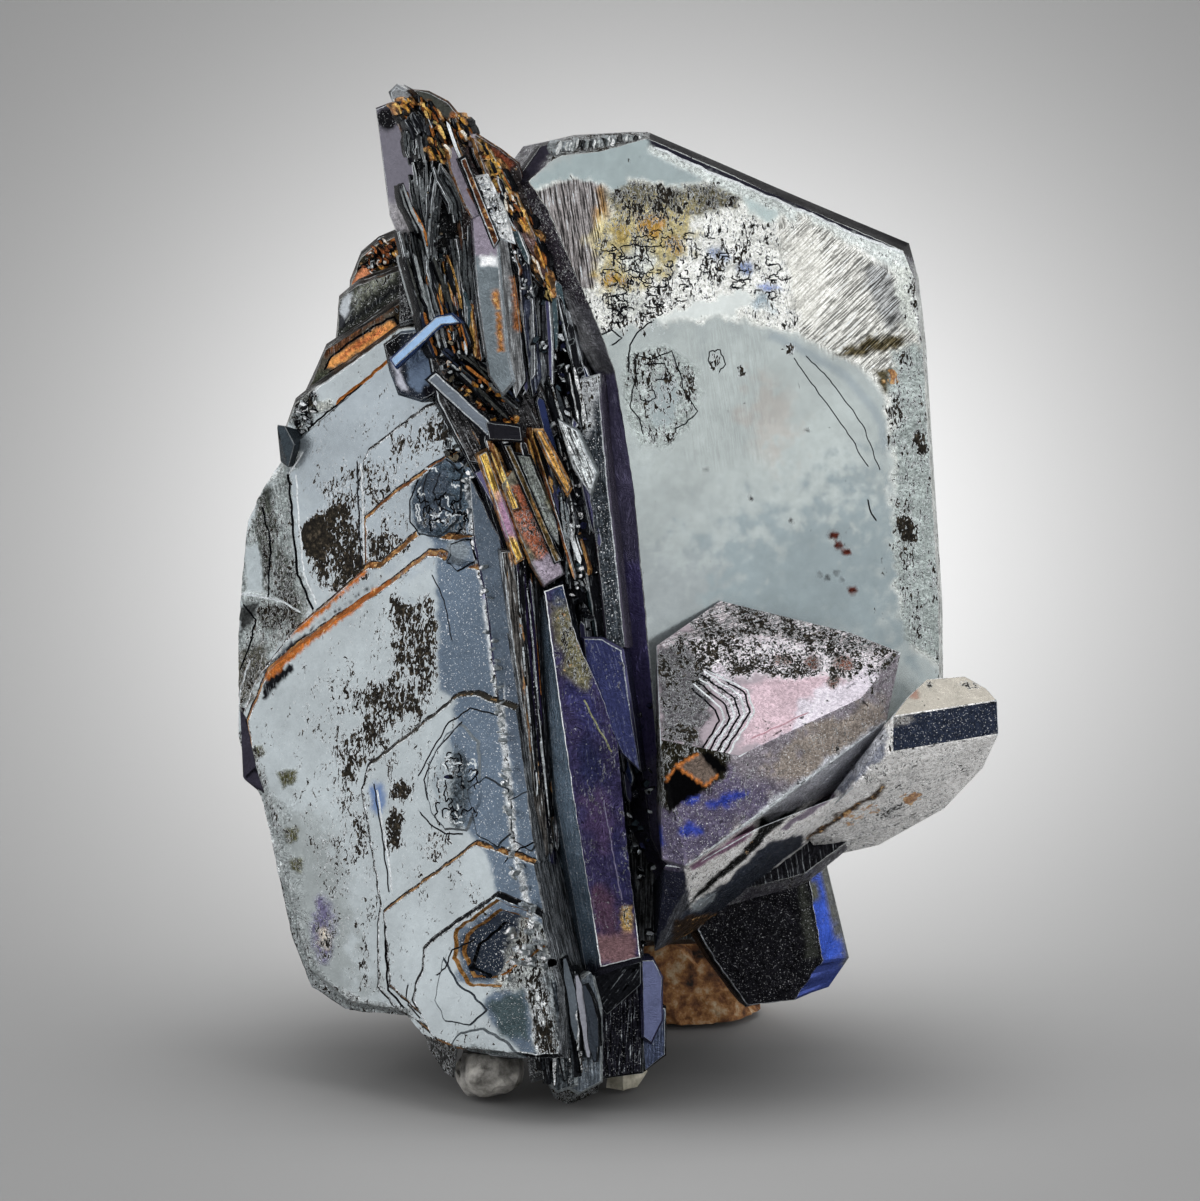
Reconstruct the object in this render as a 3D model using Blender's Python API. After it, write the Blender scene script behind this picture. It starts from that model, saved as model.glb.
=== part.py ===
"""Hematite crystal aggregate, a loose mineral specimen about 60 mm tall.

Tabular hematite crystals have grown together like an open book. The book's two leaves face left-front
and right-front, and the spine with its laths faces the viewer (-Y). All hematite is one intergrown solid.
A crust of limonite at the back, a quartz lump and a quartz chip are separate solids.

Places are in millimetres. An outline gives (x, z), a point as seen from the front, and the crystal's own
face gives the depth. The whole specimen is moved at the end, so that the origin is under the middle of it.
"""

from math import cos, radians, sin

import bmesh
import bpy
from mathutils import Vector, noise
from mathutils.geometry import delaunay_2d_cdt

MM = 0.001
TOUCH_GAP = 0.35
RISER_RUN = 0.18
SAME_PLACE = 1e-5

# The three directions that most crystals share: azimuth (0 faces the viewer, + turns right) and lean back.
LEFT_FACE = ((-4.6, -12.0, 24.2), -28, 9)
RIGHT_FACE = ((1.3, -8.5, 29.4), 20, 8)
SPINE_FACE = ((-5.8, -9.8, 34.5), 5, 9)

# The left book: its lowest terrace and how far each higher terrace stands above it.
BOOK_LEVEL = -1.5
BOOK_THICKNESS = 8.5
BOOK_BEVEL = (0.25, 1.0)
BOOK_OUTLINE = [
    (-19.1, 37.4), (-13.5, 42.6), (-9.8, 43.9), (-8.3, 40.8), (-7.1, 36.3), (-6.8, 32.4), (-6.0, 28.3),
    (-5.2, 23.8), (-4.6, 19.2), (-3.9, 14.5), (-3.1, 10.7), (-2.3, 7.6), (-2.2, 3.6), (-5.2, 3.2),
    (-9.4, 3.1), (-11.0, 3.5), (-12.1, 4.6), (-16.3, 4.4), (-18.3, 5.4), (-19.5, 8.2), (-20.4, 12.0),
    (-21.0, 15.7), (-22.3, 17.5), (-22.8, 19.6), (-22.8, 25.3), (-22.6, 28.5), (-22.2, 32.3),
    (-21.3, 34.3),
    (-20.0, 36.3),
]
BOOK_TERRACES = [
    (0.4, [(-15.2, 37.0), (-11.4, 40.2), (-8.8, 41.1), (-7.4, 37.0), (-6.5, 29.5), (-15.1, 28.0)]),
    (0.7, [(-15.0, 33.4), (-10.1, 37.4), (-8.3, 38.0), (-7.2, 33.0), (-6.5, 29.6), (-15.0, 28.6)]),
    (1.0, [(-19.5, 26.2), (-14.9, 30.6), (-14.1, 30.7), (-11.7, 32.8), (-10.5, 32.8), (-7.2, 32.5),
           (-6.4, 28.5), (-4.3, 14.8), (-2.6, 4.0), (-5.5, 3.5), (-10.9, 3.8), (-12.1, 4.8),
           (-16.3, 4.8), (-18.8, 7.4),
           (-20.2, 12.8), (-21.1, 16.2), (-22.0, 18.5), (-22.3, 21.1), (-21.7, 23.3)]),
    (1.5, [(-20.9, 24.0), (-11.3, 31.8), (-9.8, 31.5), (-6.9, 30.9), (-5.2, 19.6), (-3.6, 11.1),
           (-2.7, 4.3),
           (-5.5, 3.8), (-10.8, 4.0), (-12.2, 5.1), (-16.1, 5.5), (-18.2, 7.2), (-19.8, 12.5),
           (-20.6, 16.5),
           (-21.3, 18.6), (-21.8, 21.0)]),
    (1.9, [(-9.5, 23.9), (-7.4, 23.9), (-5.6, 23.3), (-4.4, 14.6), (-3.0, 4.6), (-5.3, 4.0), (-10.6, 4.2),
           (-13.3, 5.6), (-14.2, 6.9), (-14.1, 11.3), (-15.1, 17.8), (-14.8, 19.2), (-12.4, 21.3)]),
    (2.3, [(-8.4, 15.6), (-7.0, 15.3), (-4.9, 14.6), (-3.3, 4.9), (-5.2, 4.3), (-10.3, 4.4), (-12.2, 5.7),
           (-13.5, 7.0), (-13.7, 10.9)]),
    (2.7, [(-7.2, 12.8), (-5.1, 12.3), (-4.2, 10.9), (-3.6, 5.3), (-5.0, 4.6), (-9.7, 4.6), (-11.0, 5.0),
           (-12.0, 6.6), (-11.5, 8.4), (-11.3, 9.5), (-9.9, 10.6)]),
]
BOOK_PIT = [(-9.5, 9.0), (-9.3, 10.3), (-7.1, 12.2), (-5.5, 11.8), (-5.8, 10.3), (-7.1, 8.0), (-8.7, 7.8)]
BOOK_PIT_DEPTH = 0.9
PIT_START = 0.5

# Plates that step back behind the book's top left: level below the left face, and outline.
LEDGES = [
    (-2.1, [(-18.5, 40.1), (-13.1, 44.3), (-9.4, 45.4), (-7.4, 40.8), (-7.4, 29.2), (-17.2, 28.1),
            (-19.9, 35.5), (-20.1, 37.2), (-19.3, 39.4)]),
    (-3.2, [(-17.5, 42.5), (-13.1, 45.6), (-9.7, 46.7), (-8.2, 41.6), (-8.2, 31.2), (-16.7, 30.3),
            (-18.6, 40.0)]),
    (-4.4, [(-16.8, 43.7), (-16.7, 45.3), (-15.7, 46.2), (-11.5, 48.0), (-8.8, 43.7), (-8.8, 33.2),
            (-16.1, 32.4), (-17.3, 39.4)]),
    (-5.6, [(-16.0, 46.2), (-15.4, 47.7), (-14.5, 48.5), (-13.1, 49.2), (-11.3, 49.0), (-8.8, 45.8),
            (-8.9, 34.1), (-14.9, 33.4), (-16.4, 40.4)]),
]
LEDGE_THICKNESS = 4.0
LEDGE_GROWTH = 0.37
LEDGE_BEVEL = (0.55, 0.8)

# The big right plate: the edge of its mirror face, and its widest outline, which lies lower.
RIGHT_THICKNESS = 5.6
RIGHT_BEVEL_DROP = 1.3
RIGHT_OUTLINE = [
    (-0.2, 42.8), (-1.1, 45.3), (-4.1, 52.4), (-5.2, 54.1), (-4.1, 55.1), (-3.3, 55.5), (-1.1, 55.6),
    (1.7, 56.2), (16.9, 48.8), (17.6, 47.1), (18.1, 42.9), (19.1, 28.1), (19.2, 21.0), (15.0, 15.2),
    (11.0, 12.6), (4.8, 11.6), (2.7, 15.6), (1.8, 26.5), (0.9, 35.9),
]
RIGHT_WIDEST = [
    (-1.3, 42.5), (-2.7, 45.0), (-5.7, 52.6), (-6.1, 53.9), (-4.6, 55.9), (-3.3, 56.1), (-1.6, 56.4),
    (1.7, 56.4), (17.3, 49.0), (17.9, 46.9), (18.4, 42.7), (19.4, 27.8), (19.5, 20.7), (15.2, 14.6),
    (11.1, 11.6), (4.2, 10.4), (1.9, 15.2), (0.5, 26.3), (-0.7, 35.7),
]

# Long thin crystals that face the viewer: name, place of the face, azimuth, lean, thickness, outline.
LATHS = [
    ("spine_core", (-5.9, -9.0, 34.4), 5, 9, 5.5,
     [(-10.5, 41.4), (-8.7, 44.2), (-5.8, 43.6), (-2.7, 42.4), (-1.3, 37.0), (-0.5, 29.0), (-0.4, 18.0),
      (-0.6, 10.0), (-4.0, 10.0), (-5.0, 20.0), (-6.7, 32.6), (-8.1, 36.7)]),
    ("book_strip", (-7.6, -10.25, 26.8), -12, 9, 3.0,
     [(-8.7, 36.6), (-7.0, 33.2), (-6.1, 28.6), (-5.3, 24.0), (-4.6, 19.4), (-4.0, 14.7), (-5.3, 14.8),
      (-6.3, 19.3), (-7.1, 24.5), (-7.7, 29.7), (-8.4, 33.1)]),
    ("leaf_1", (-5.8, -11.3, 27.6), 5, 9, 2.4,
     [(-6.8, 32.7), (-6.3, 32.7), (-5.5, 27.6), (-4.6, 20.7), (-4.1, 15.4), (-4.3, 14.7), (-4.7, 15.4),
      (-5.3, 21.8), (-6.1, 27.1)]),
    ("leaf_2", (-5.8, -11.0, 27.6), 5, 9, 2.4,
     [(-6.1, 32.0), (-5.7, 31.6), (-4.7, 26.4), (-4.0, 20.6), (-3.8, 15.9), (-4.0, 14.7), (-4.3, 18.3),
      (-4.9, 22.9), (-5.4, 27.6)]),
    ("leaf_3", (-5.8, -10.8, 27.5), 5, 9, 2.4,
     [(-5.5, 31.4), (-5.0, 31.0), (-4.3, 27.5), (-3.9, 22.9), (-3.5, 18.2), (-3.6, 15.3), (-3.9, 17.0),
      (-4.2, 22.3), (-4.7, 26.4)]),
    ("yellow_lath", (-5.7, -10.7, 34.6), 5, 9, 2.0,
     [(-8.1, 38.4), (-7.5, 38.7), (-5.5, 32.6), (-5.9, 32.3)]),
    ("brick_lath", (-5.7, -10.5, 34.6), 8, 9, 2.0,
     [(-6.8, 36.7), (-6.2, 37.5), (-5.2, 36.0), (-3.6, 32.3), (-3.3, 31.5), (-4.3, 30.9), (-5.0, 32.0),
      (-6.1, 34.6)]),
    ("black_lath", (-5.8, -10.0, 34.5), 15, 9, 2.0,
     [(-5.8, 37.9), (-5.2, 37.9), (-2.6, 31.5), (-2.7, 30.4), (-3.4, 31.6)]),
    ("thin_yellow_lath", (-5.7, -10.95, 34.7), 5, 9, 2.0,
     [(-6.6, 39.0), (-6.2, 39.0), (-3.3, 32.4), (-3.7, 32.3)]),
    ("orange_lath", (-5.7, -10.8, 34.7), 2, 9, 2.0,
     [(-4.8, 40.0), (-4.3, 39.9), (-2.4, 36.4), (-2.7, 36.0), (-3.9, 38.0)]),
    ("white_lath", (-5.7, -10.55, 34.6), 18, 9, 2.0,
     [(-3.4, 37.1), (-2.7, 36.7), (-1.8, 32.3), (-1.5, 29.9), (-2.2, 31.0), (-3.0, 34.0)]),
    ("slate_lath", (-5.7, -10.2, 34.6), 12, 9, 2.0,
     [(-2.9, 38.0), (-1.8, 37.2), (-0.9, 33.3), (-0.6, 27.5), (-1.1, 26.9), (-1.6, 29.9), (-2.3, 34.5)]),
    ("teal_lath", (-5.8, -9.25, 34.4), -10, 9, 2.5,
     [(-2.7, 42.4), (-1.3, 42.8), (-0.8, 37.2), (-0.2, 32.0), (0.3, 27.3), (-0.6, 27.0), (-1.1, 32.0),
      (-1.8, 37.2)]),
    ("rough_knob", (-5.7, -10.8, 34.7), -6, 12, 2.0,
     [(-3.7, 40.4), (-2.3, 39.8), (-1.1, 37.5), (-1.6, 36.2), (-2.7, 37.6)]),
    ("violet_lath", (-5.8, -10.1, 34.5), -15, 9, 1.5,
     [(-8.6, 37.1), (-8.1, 37.3), (-5.8, 33.4), (-6.1, 32.9)]),
    ("tower_face", (-4.9, -7.8, 34.3), -25, 6, 3.0,
     [(-14.3, 57.4), (-13.6, 57.7), (-12.9, 56.3), (-12.4, 54.3), (-11.4, 54.1), (-10.2, 50.6),
      (-10.2, 46.0),
      (-12.9, 45.0), (-13.0, 50.1), (-13.5, 51.3), (-13.9, 54.5)]),
    ("tower_core", (-5.7, -9.4, 34.4), -5, 9, 4.5,
     [(-13.3, 59.0), (-13.0, 59.3), (-12.2, 58.9), (-10.2, 55.7), (-9.3, 52.6), (-8.7, 49.4), (-8.1, 44.8),
      (-10.5, 42.0), (-10.8, 49.4), (-11.4, 53.4), (-12.5, 56.9)]),
    ("tower_right", (-5.8, -9.6, 34.5), 10, 9, 4.5,
     [(-11.9, 59.4), (-11.1, 59.2), (-10.0, 58.6), (-8.6, 56.9), (-6.9, 55.8), (-5.9, 55.0), (-4.6, 50.0),
      (-4.2, 44.0), (-8.4, 44.0), (-9.0, 50.0), (-9.8, 57.5)]),
    ("lath_a", (-5.7, -10.5, 34.6), 0, 9, 2.0,
     [(-10.0, 56.0), (-9.5, 56.2), (-8.4, 53.8), (-7.9, 52.2), (-8.2, 51.6), (-8.9, 52.8), (-9.7, 54.7)]),
    ("lath_b", (-5.7, -11.2, 34.7), -6, 9, 2.4,
     [(-8.5, 52.0), (-7.9, 52.3), (-7.1, 50.3), (-6.9, 47.5), (-6.5, 44.0), (-6.2, 42.8), (-6.8, 42.1),
      (-7.5, 43.1), (-7.9, 45.8), (-8.3, 49.2)]),
    ("lath_c", (-5.7, -10.6, 34.6), 12, 9, 2.0,
     [(-7.0, 50.9), (-6.5, 50.7), (-6.0, 47.3), (-5.7, 44.8), (-5.5, 42.7), (-6.0, 41.8), (-6.5, 44.5),
      (-6.8, 47.9)]),
    ("lath_d", (-5.7, -10.3, 34.6), 20, 9, 2.0,
     [(-5.9, 50.2), (-5.3, 49.8), (-4.8, 46.1), (-4.5, 42.7), (-5.0, 41.7), (-5.5, 45.6)]),
    ("lath_e", (-5.7, -10.35, 34.6), 14, 9, 2.0,
     [(-8.4, 56.6), (-7.5, 55.9), (-6.0, 53.3), (-5.1, 51.3), (-4.3, 49.5), (-4.0, 48.1), (-4.8, 49.0),
      (-6.1, 51.6), (-7.5, 54.1)]),
    ("lath_f", (-5.7, -10.85, 34.7), 3, 9, 2.0,
     [(-8.3, 54.4), (-7.7, 54.5), (-6.6, 52.3), (-6.2, 50.8), (-6.9, 51.0), (-7.7, 52.8)]),
    ("lath_g", (-5.7, -11.0, 34.7), 8, 9, 1.8, [(-9.2, 55.5), (-8.8, 55.6), (-6.9, 51.0), (-7.3, 50.4)]),
    ("lath_h", (-5.7, -10.7, 34.6), -12, 9, 2.0,
     [(-9.5, 50.9), (-8.9, 50.6), (-8.4, 47.4), (-8.2, 44.5), (-8.9, 43.4), (-9.4, 46.8)]),
    ("knot", (-5.8, -9.6, 34.5), 0, 9, 3.5,
     [(-11.6, 47.2), (-8.7, 47.8), (-4.6, 42.6), (-3.4, 39.7), (-5.8, 37.4), (-8.7, 37.9), (-10.5, 41.4)]),
    ("grey_rod", (-5.6, -12.0, 34.9), 5, 9, 2.6,
     [(-11.0, 43.4), (-10.6, 43.7), (-7.2, 40.3), (-7.6, 39.9)]),
    ("dark_bar", (-5.6, -11.7, 34.8), 5, 9, 2.4, [(-7.7, 40.5), (-5.8, 40.2), (-5.7, 39.5), (-7.5, 39.6)]),
    ("blue_lath", (-6.4, -12.1, 34.9), -15, 9, 2.2,
     [(-13.3, 44.0), (-10.6, 46.6), (-9.7, 46.8), (-9.4, 46.4), (-10.2, 46.2), (-12.9, 43.7)]),
    ("dark_plate", (-6.2, -10.9, 34.7), -20, 9, 4.0,
     [(-13.7, 44.3), (-12.8, 45.0), (-10.5, 45.4), (-9.6, 44.6), (-10.3, 42.1), (-11.6, 41.3),
      (-12.9, 41.6),
      (-13.4, 42.9)]),
    ("blue_prism", (-0.5, -12.2, 24.8), -8, 10, 3.0,
     [(-2.0, 27.7), (-1.0, 27.7), (0.1, 27.1), (0.7, 23.2), (1.2, 20.3), (0.2, 21.3), (-0.7, 23.2),
      (-1.7, 25.3)]),
    ("lower_column", (0.1, -13.9, 4.1), 5, 5, 4.0, [(-1.1, 9.0), (1.3, 9.4), (1.3, 2.2), (-1.1, 1.9)]),
    ("lower_lath_1", (2.0, -14.2, 6.6), 8, 8, 3.0,
     [(1.4, 8.9), (2.0, 8.9), (2.5, 7.9), (2.5, 5.4), (1.9, 4.2), (1.5, 4.5)]),
    ("lower_lath_2", (2.0, -13.2, 3.3), 12, 5, 3.0, [(1.3, 6.0), (2.7, 5.7), (2.7, 3.0), (1.6, 2.2)]),
    ("ridge_1", (-3.1, -16.2, 4.7), -8, 9, 4.0,
     [(-4.8, 8.5), (-3.4, 9.5), (-2.9, 7.9), (-2.6, 2.2), (-3.6, 1.8), (-4.3, 2.5), (-4.8, 5.3)]),
    ("ridge_2", (-3.1, -15.9, 4.7), 10, 9, 4.5,
     [(-3.2, 8.3), (-2.5, 7.9), (-1.6, 8.5), (-1.1, 6.5), (-1.1, 2.2), (-2.3, 1.6), (-3.0, 2.0)]),
]
LATH_BEVEL = (0.16, 0.22)

# Thin parallel plates on the dark side of the tower: where the first and the last start and end, half
# their width, how far they stand out, and the two directions that they take in turn.
TOWER_RIDGES = 7
RIDGE_TOPS = ((-12.6, 57.2), (-9.9, 54.6))
RIDGE_FEET = ((-10.9, 46.4), (-8.6, 44.4))
RIDGE_HALF_WIDTHS = (0.17, 0.25)
RIDGE_LEVELS = (0.1, 0.22, 0.34)
RIDGE_AZIMUTHS = (-14, 12)
RIDGE_THICKNESS = 1.9
RIDGE_BEVEL = (0.1, 0.2)

# The purple prism: its front face and its widest outline, which lies lower.
PURPLE_FACE = ((-1.1, -13.6, 18.6), 12, 12)
PURPLE_THICKNESS = 4.5
PURPLE_DROP = 1.2
PURPLE_OUTLINE = [
    (-4.3, 30.6), (-3.3, 30.9), (-2.5, 27.8), (-1.1, 24.7), (-0.1, 21.9), (0.5, 15.6), (1.2, 9.5),
    (-1.0, 9.1),
    (-2.6, 18.6),
]
PURPLE_WIDEST = [
    (-4.6, 29.8), (-3.3, 31.1), (-2.3, 27.8), (-0.9, 24.6), (0.0, 21.8), (0.7, 15.3), (1.4, 8.8),
    (-1.8, 8.1),
    (-3.7, 18.4),
]

# The foot crystal at the lower right.
FOOT_FACE = ((9.0, -7.0, 9.0), 14, 4)
FOOT_THICKNESS = 4.0
FOOT_DROP = 1.3
FOOT_OUTLINE = [
    (4.8, 9.3), (5.8, 10.7), (8.2, 12.1), (10.7, 12.6), (11.2, 12.9), (12.2, 7.0), (10.5, 4.7), (7.7, 4.6),
    (6.9, 5.8), (5.8, 7.4),
]
FOOT_WIDEST = [
    (4.5, 8.8), (5.6, 10.7), (8.0, 12.2), (10.9, 13.0), (12.4, 12.6), (13.8, 6.7), (12.6, 5.0), (7.6, 4.1),
    (6.7, 5.3), (5.5, 7.0),
]

# Blocky crystals, each the hull of its corners (x, y, z).
BLOCKS = {
    "shelf": [
        (2.2, -9.8, 27.0), (2.4, -15.1, 22.5), (4.7, -15.5, 22.0), (7.0, -15.8, 21.7), (14.2, -12.1, 24.3),
        (16.6, -9.4, 26.5), (13.6, -8.4, 27.5), (6.0, -7.0, 29.1), (8.2, -15.4, 18.0), (3.9, -17.7, 15.6),
        (15.7, -11.5, 22.8), (2.5, -16.2, 15.6), (4.8, -9.0, 12.0), (13.5, -5.5, 16.9), (2.2, -8.0, 17.2),
        (15.4, -3.6, 22.5)],
    "shelf_block": [
        (16.0, -12.8, 23.4), (16.8, -11.4, 24.1), (18.1, -9.6, 24.9), (20.4, -9.2, 25.0),
        (21.6, -10.2, 24.5),
        (22.2, -11.2, 24.0), (22.3, -11.4, 22.0), (16.0, -13.0, 21.3), (21.6, -8.0, 19.2),
        (19.4, -6.0, 16.2),
        (15.6, -4.5, 13.6), (12.2, -4.5, 12.8), (10.9, -9.5, 15.6), (13.6, -12.0, 18.8),
        (18.6, -2.5, 22.4),
        (19.5, -2.0, 18.5)],
    "shelf_lower": [
        (4.1, -16.2, 15.1), (8.2, -15.6, 17.4), (13.0, -13.0, 18.7), (10.7, -11.5, 15.9),
        (4.8, -13.5, 12.2),
        (2.1, -12.5, 9.1), (2.7, -15.5, 15.1), (4.9, -6.5, 9.0), (10.8, -5.5, 13.2), (2.0, -9.5, 12.5)],
    "left_rim_crystal": [
        (-22.7, -2.2, 21.6), (-22.3, -3.0, 18.0), (-22.5, -3.2, 17.4), (-21.3, -4.0, 18.6),
        (-20.1, -4.8, 18.2),
        (-20.1, -5.0, 16.4), (-21.3, -3.6, 16.5), (-20.4, -0.6, 20.5), (-18.0, -1.5, 19.0),
        (-18.1, -0.5, 16.4)],
    "upper_rim_crystal": [
        (-20.4, -0.3, 38.4), (-19.5, -1.0, 38.6), (-18.9, -1.8, 37.9), (-19.7, -1.3, 35.9),
        (-20.2, -0.1, 36.1),
        (-17.5, 2.5, 37.8), (-17.5, 2.5, 35.7)],
    "under_prism": [
        (-1.7, -14.6, 8.3), (1.3, -14.3, 9.0), (1.3, -14.3, 7.6), (-0.7, -14.9, 5.9), (-1.3, -14.7, 6.7),
        (-1.4, -12.0, 8.6), (1.2, -12.0, 8.8), (-0.4, -11.5, 6.0)],
    "spine_tip": [
        (-4.4, -14.9, 2.3), (-1.1, -14.6, 2.4), (-3.8, -14.0, 0.6), (-1.2, -13.1, 0.7), (-3.1, -13.3, 0.0),
        (-2.6, -12.9, 0.0), (-2.9, -12.3, 0.0), (-4.2, -11.0, 2.6), (-1.0, -10.8, 2.6), (-4.6, -15.2, 4.5),
        (-0.9, -15.0, 4.5), (-4.4, -10.5, 5.0), (-0.9, -10.5, 5.0)],
    "rim_spur": [
        (-11.8, -10.8, 4.4), (-11.2, -11.2, 2.7), (-10.3, -11.8, 1.5), (-9.7, -12.3, 1.3),
        (-9.5, -13.0, 4.0),
        (-9.4, -9.8, 4.6), (-9.6, -10.4, 2.2), (-11.2, -9.2, 4.6)],
    "foot_step": [
        (-5.5, -15.0, 4.2), (-4.2, -15.4, 4.4), (-4.1, -14.6, 2.0), (-5.2, -14.0, 1.5), (-5.4, -11.0, 2.4),
        (-4.0, -11.0, 2.4), (-4.1, -11.0, 4.6), (-5.4, -11.0, 4.6)],
}

# Plates that only the back and the sides show: place of the face, azimuth, lean, thickness, outline.
REAR_PLATES = [
    ("rear_plate_middle", (0.0, 6.6, 28.0), 172, 3, 8.2,
     [(-13.0, 9.5), (-4.0, 6.6), (5.5, 7.4), (9.5, 13.0), (10.0, 30.0), (7.5, 42.0), (1.0, 48.5),
      (-6.5, 47.5),
      (-12.5, 40.0), (-14.0, 24.0)]),
    ("rear_plate_left", (-12.0, 7.9, 22.0), 205, -5, 5.0,
     [(-18.5, 12.0), (-11.0, 9.0), (-6.5, 14.0), (-6.0, 27.5), (-12.0, 34.0), (-18.0, 30.0)]),
    ("rear_plate_right", (9.5, 7.6, 33.0), 160, 6, 4.0,
     [(2.5, 27.0), (7.5, 21.0), (14.5, 24.0), (16.5, 33.0), (14.0, 42.0), (6.5, 44.0), (2.5, 37.5)]),
    ("rear_plate_low", (3.0, 8.2, 14.0), 184, 12, 6.0,
     [(-3.5, 8.0), (3.0, 6.8), (9.0, 9.5), (9.5, 17.0), (4.0, 21.5), (-3.0, 19.0)]),
]
REAR_BEVEL = (0.7, 0.9)

# The limonite crust under the rear plates. It stands on its flat broken bottom.
MATRIX_CENTRE = (-0.5, 8.6, 1.8)
MATRIX_RADII = (9.0, 4.6, 5.6)
MATRIX_ROUGHNESS = 0.3

# How fine the lumps of each stone are, and which lumps they are.
MATRIX_GRAIN = (2.1, 4.0)
LUMP_GRAIN = (1.6, 9.0)
STONE_DETAIL = 3

# The dark hollow at the left end of the shelf crystal.
SHELF_HOLLOW = [
    (2.6, -19.0, 21.9), (4.7, -19.0, 22.4), (5.1, -19.0, 20.3), (2.8, -19.0, 18.7), (2.9, -12.6, 20.1),
    (4.6, -12.6, 20.6), (5.0, -12.6, 19.0), (3.1, -12.6, 17.6)]
RECESS_CRYSTAL = [
    (3.6, -14.0, 21.3), (4.8, -14.4, 21.3), (6.1, -15.2, 20.5), (5.7, -14.6, 19.6), (3.8, -13.6, 20.4),
    (4.2, -11.0, 19.4), (5.5, -11.0, 19.8)]

# The quartz lump under the book, and the corners of the chip at the foot of the spine.
LUMP_CENTRE = (-7.6, -10.6, 1.55)
LUMP_RADII = (2.0, 2.6, 1.75)
LUMP_ROUGHNESS = 0.25
CHIP_CORNERS = [
    (-0.7, -9.6, 0.0), (0.3, -10.2, 0.0), (1.1, -9.4, 0.0), (1.7, -9.2, 0.9), (1.3, -9.3, 1.6),
    (0.2, -10.2, 1.7),
    (-0.6, -9.8, 0.9), (0.2, -8.0, 0.0), (1.3, -7.9, 0.3), (0.6, -8.0, 1.6), (-0.5, -8.2, 0.8)]

FINISHES = {
    "hematite_crystals": ((0.34, 0.36, 0.38), 0.28, 0.9),
    "limonite_matrix": ((0.36, 0.2, 0.08), 0.9, 0.0),
    "quartz_lump": ((0.55, 0.54, 0.5), 0.5, 0.0),
    "quartz_chip": ((0.72, 0.69, 0.56), 0.45, 0.0),
}


class Face:
    """A flat crystal face: a point on it, the way it looks, and the two axes that lie in it."""

    def __init__(self, point, azimuth, lean, level=0.0):
        turn = radians(azimuth)
        tip = radians(lean)
        self.normal = Vector((sin(turn) * cos(tip), -cos(turn) * cos(tip), sin(tip)))
        self.across = Vector((cos(turn), sin(turn), 0.0))
        self.up = self.normal.cross(self.across)
        self.point = Vector(point) + self.normal * level

    def flat(self, x, z, depth=0.0):
        """Where a point seen from the front at (x, z), that far below the face, lies in the face's axes."""
        start = self.point - self.normal * depth
        dx = x - start.x
        dz = z - start.z
        dy = -(self.normal.x * dx + self.normal.z * dz) / self.normal.y
        away = Vector((dx, dy, dz))
        return Vector((away.dot(self.across), away.dot(self.up)))

    def place(self, flat, height):
        """The point in space at a place in the face and a height above it."""
        return self.point + self.across * flat.x + self.up * flat.y + self.normal * height


def turned_left(outline):
    """The outline in counterclockwise order."""
    area = sum(a.x * b.y - b.x * a.y for a, b in zip(outline, outline[1:] + outline[:1]))
    return outline if area > 0 else outline[::-1]


def spread(outline, width):
    """The outline with each edge moved outward by width."""
    wider = []
    for before, here, after in zip(outline[-1:] + outline[:-1], outline, outline[1:] + outline[:1]):
        first = (here - before).normalized()
        second = (after - here).normalized()
        out_1 = Vector((first.y, -first.x))
        out_2 = Vector((second.y, -second.x))
        share = max(1.0 + out_1.dot(out_2), 0.35)
        wider.append(here + (out_1 + out_2) * (width / share))
    return wider


def edge_distance(point, outline):
    """Distance to the outline, positive inside it."""
    nearest = 1e9
    inside = False
    for a, b in zip(outline, outline[1:] + outline[:1]):
        along = b - a
        share = max(0.0, min(1.0, (point - a).dot(along) / along.length_squared))
        nearest = min(nearest, (point - a - along * share).length)
        if (a.y > point.y) != (b.y > point.y):
            if point.x < a.x + (point.y - a.y) * along.x / along.y:
                inside = not inside
    return nearest if inside else -nearest


def terrace_height(point, terraces):
    """Height of the highest terrace here, with a short sloping riser round each."""
    height = 0.0
    for rise, outline in terraces:
        share = 1.0 + min(edge_distance(point, outline), 0.0) / RISER_RUN
        height = max(height, rise * max(share, 0.0))
    return height


def face_triangles(outline, terraces):
    """Triangles that fill the outline and follow each terrace's top edge and foot."""
    loops = [outline]
    for _, terrace in terraces:
        loops.append(terrace)
        loops.append(spread(terrace, RISER_RUN))
    points = []
    edges = []
    for loop in loops:
        first = len(points)
        points.extend(loop)
        edges.extend((first + i, first + (i + 1) % len(loop)) for i in range(len(loop)))
    points, _, triangles, _, _, _ = delaunay_2d_cdt(points, edges, [], 0, SAME_PLACE)
    kept = []
    for triangle in triangles:
        middle = sum((points[i] for i in triangle), Vector((0.0, 0.0))) / 3.0
        if edge_distance(middle, outline) > 0.0:
            kept.append(triangle)
    return points, kept


def border(triangles):
    """The points round a patch of triangles, in counterclockwise order."""
    follows = {}
    for a, b, c in triangles:
        for start, end in ((a, b), (b, c), (c, a)):
            follows[start, end] = True
    outer = {start: end for start, end in follows if (end, start) not in follows}
    loop = [next(iter(outer))]
    while outer[loop[-1]] != loop[0]:
        loop.append(outer[loop[-1]])
    return loop


def widest_place(point, outline, widest):
    """Where a point of the face's outline goes on the crystal's widest outline."""
    best = None
    for i, a in enumerate(outline):
        b = outline[(i + 1) % len(outline)]
        along = b - a
        share = max(0.0, min(1.0, (point - a).dot(along) / along.length_squared))
        gap = (point - a - along * share).length
        if best is None or gap < best[0]:
            best = (gap, widest[i].lerp(widest[(i + 1) % len(outline)], share))
    return best[1]


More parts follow.
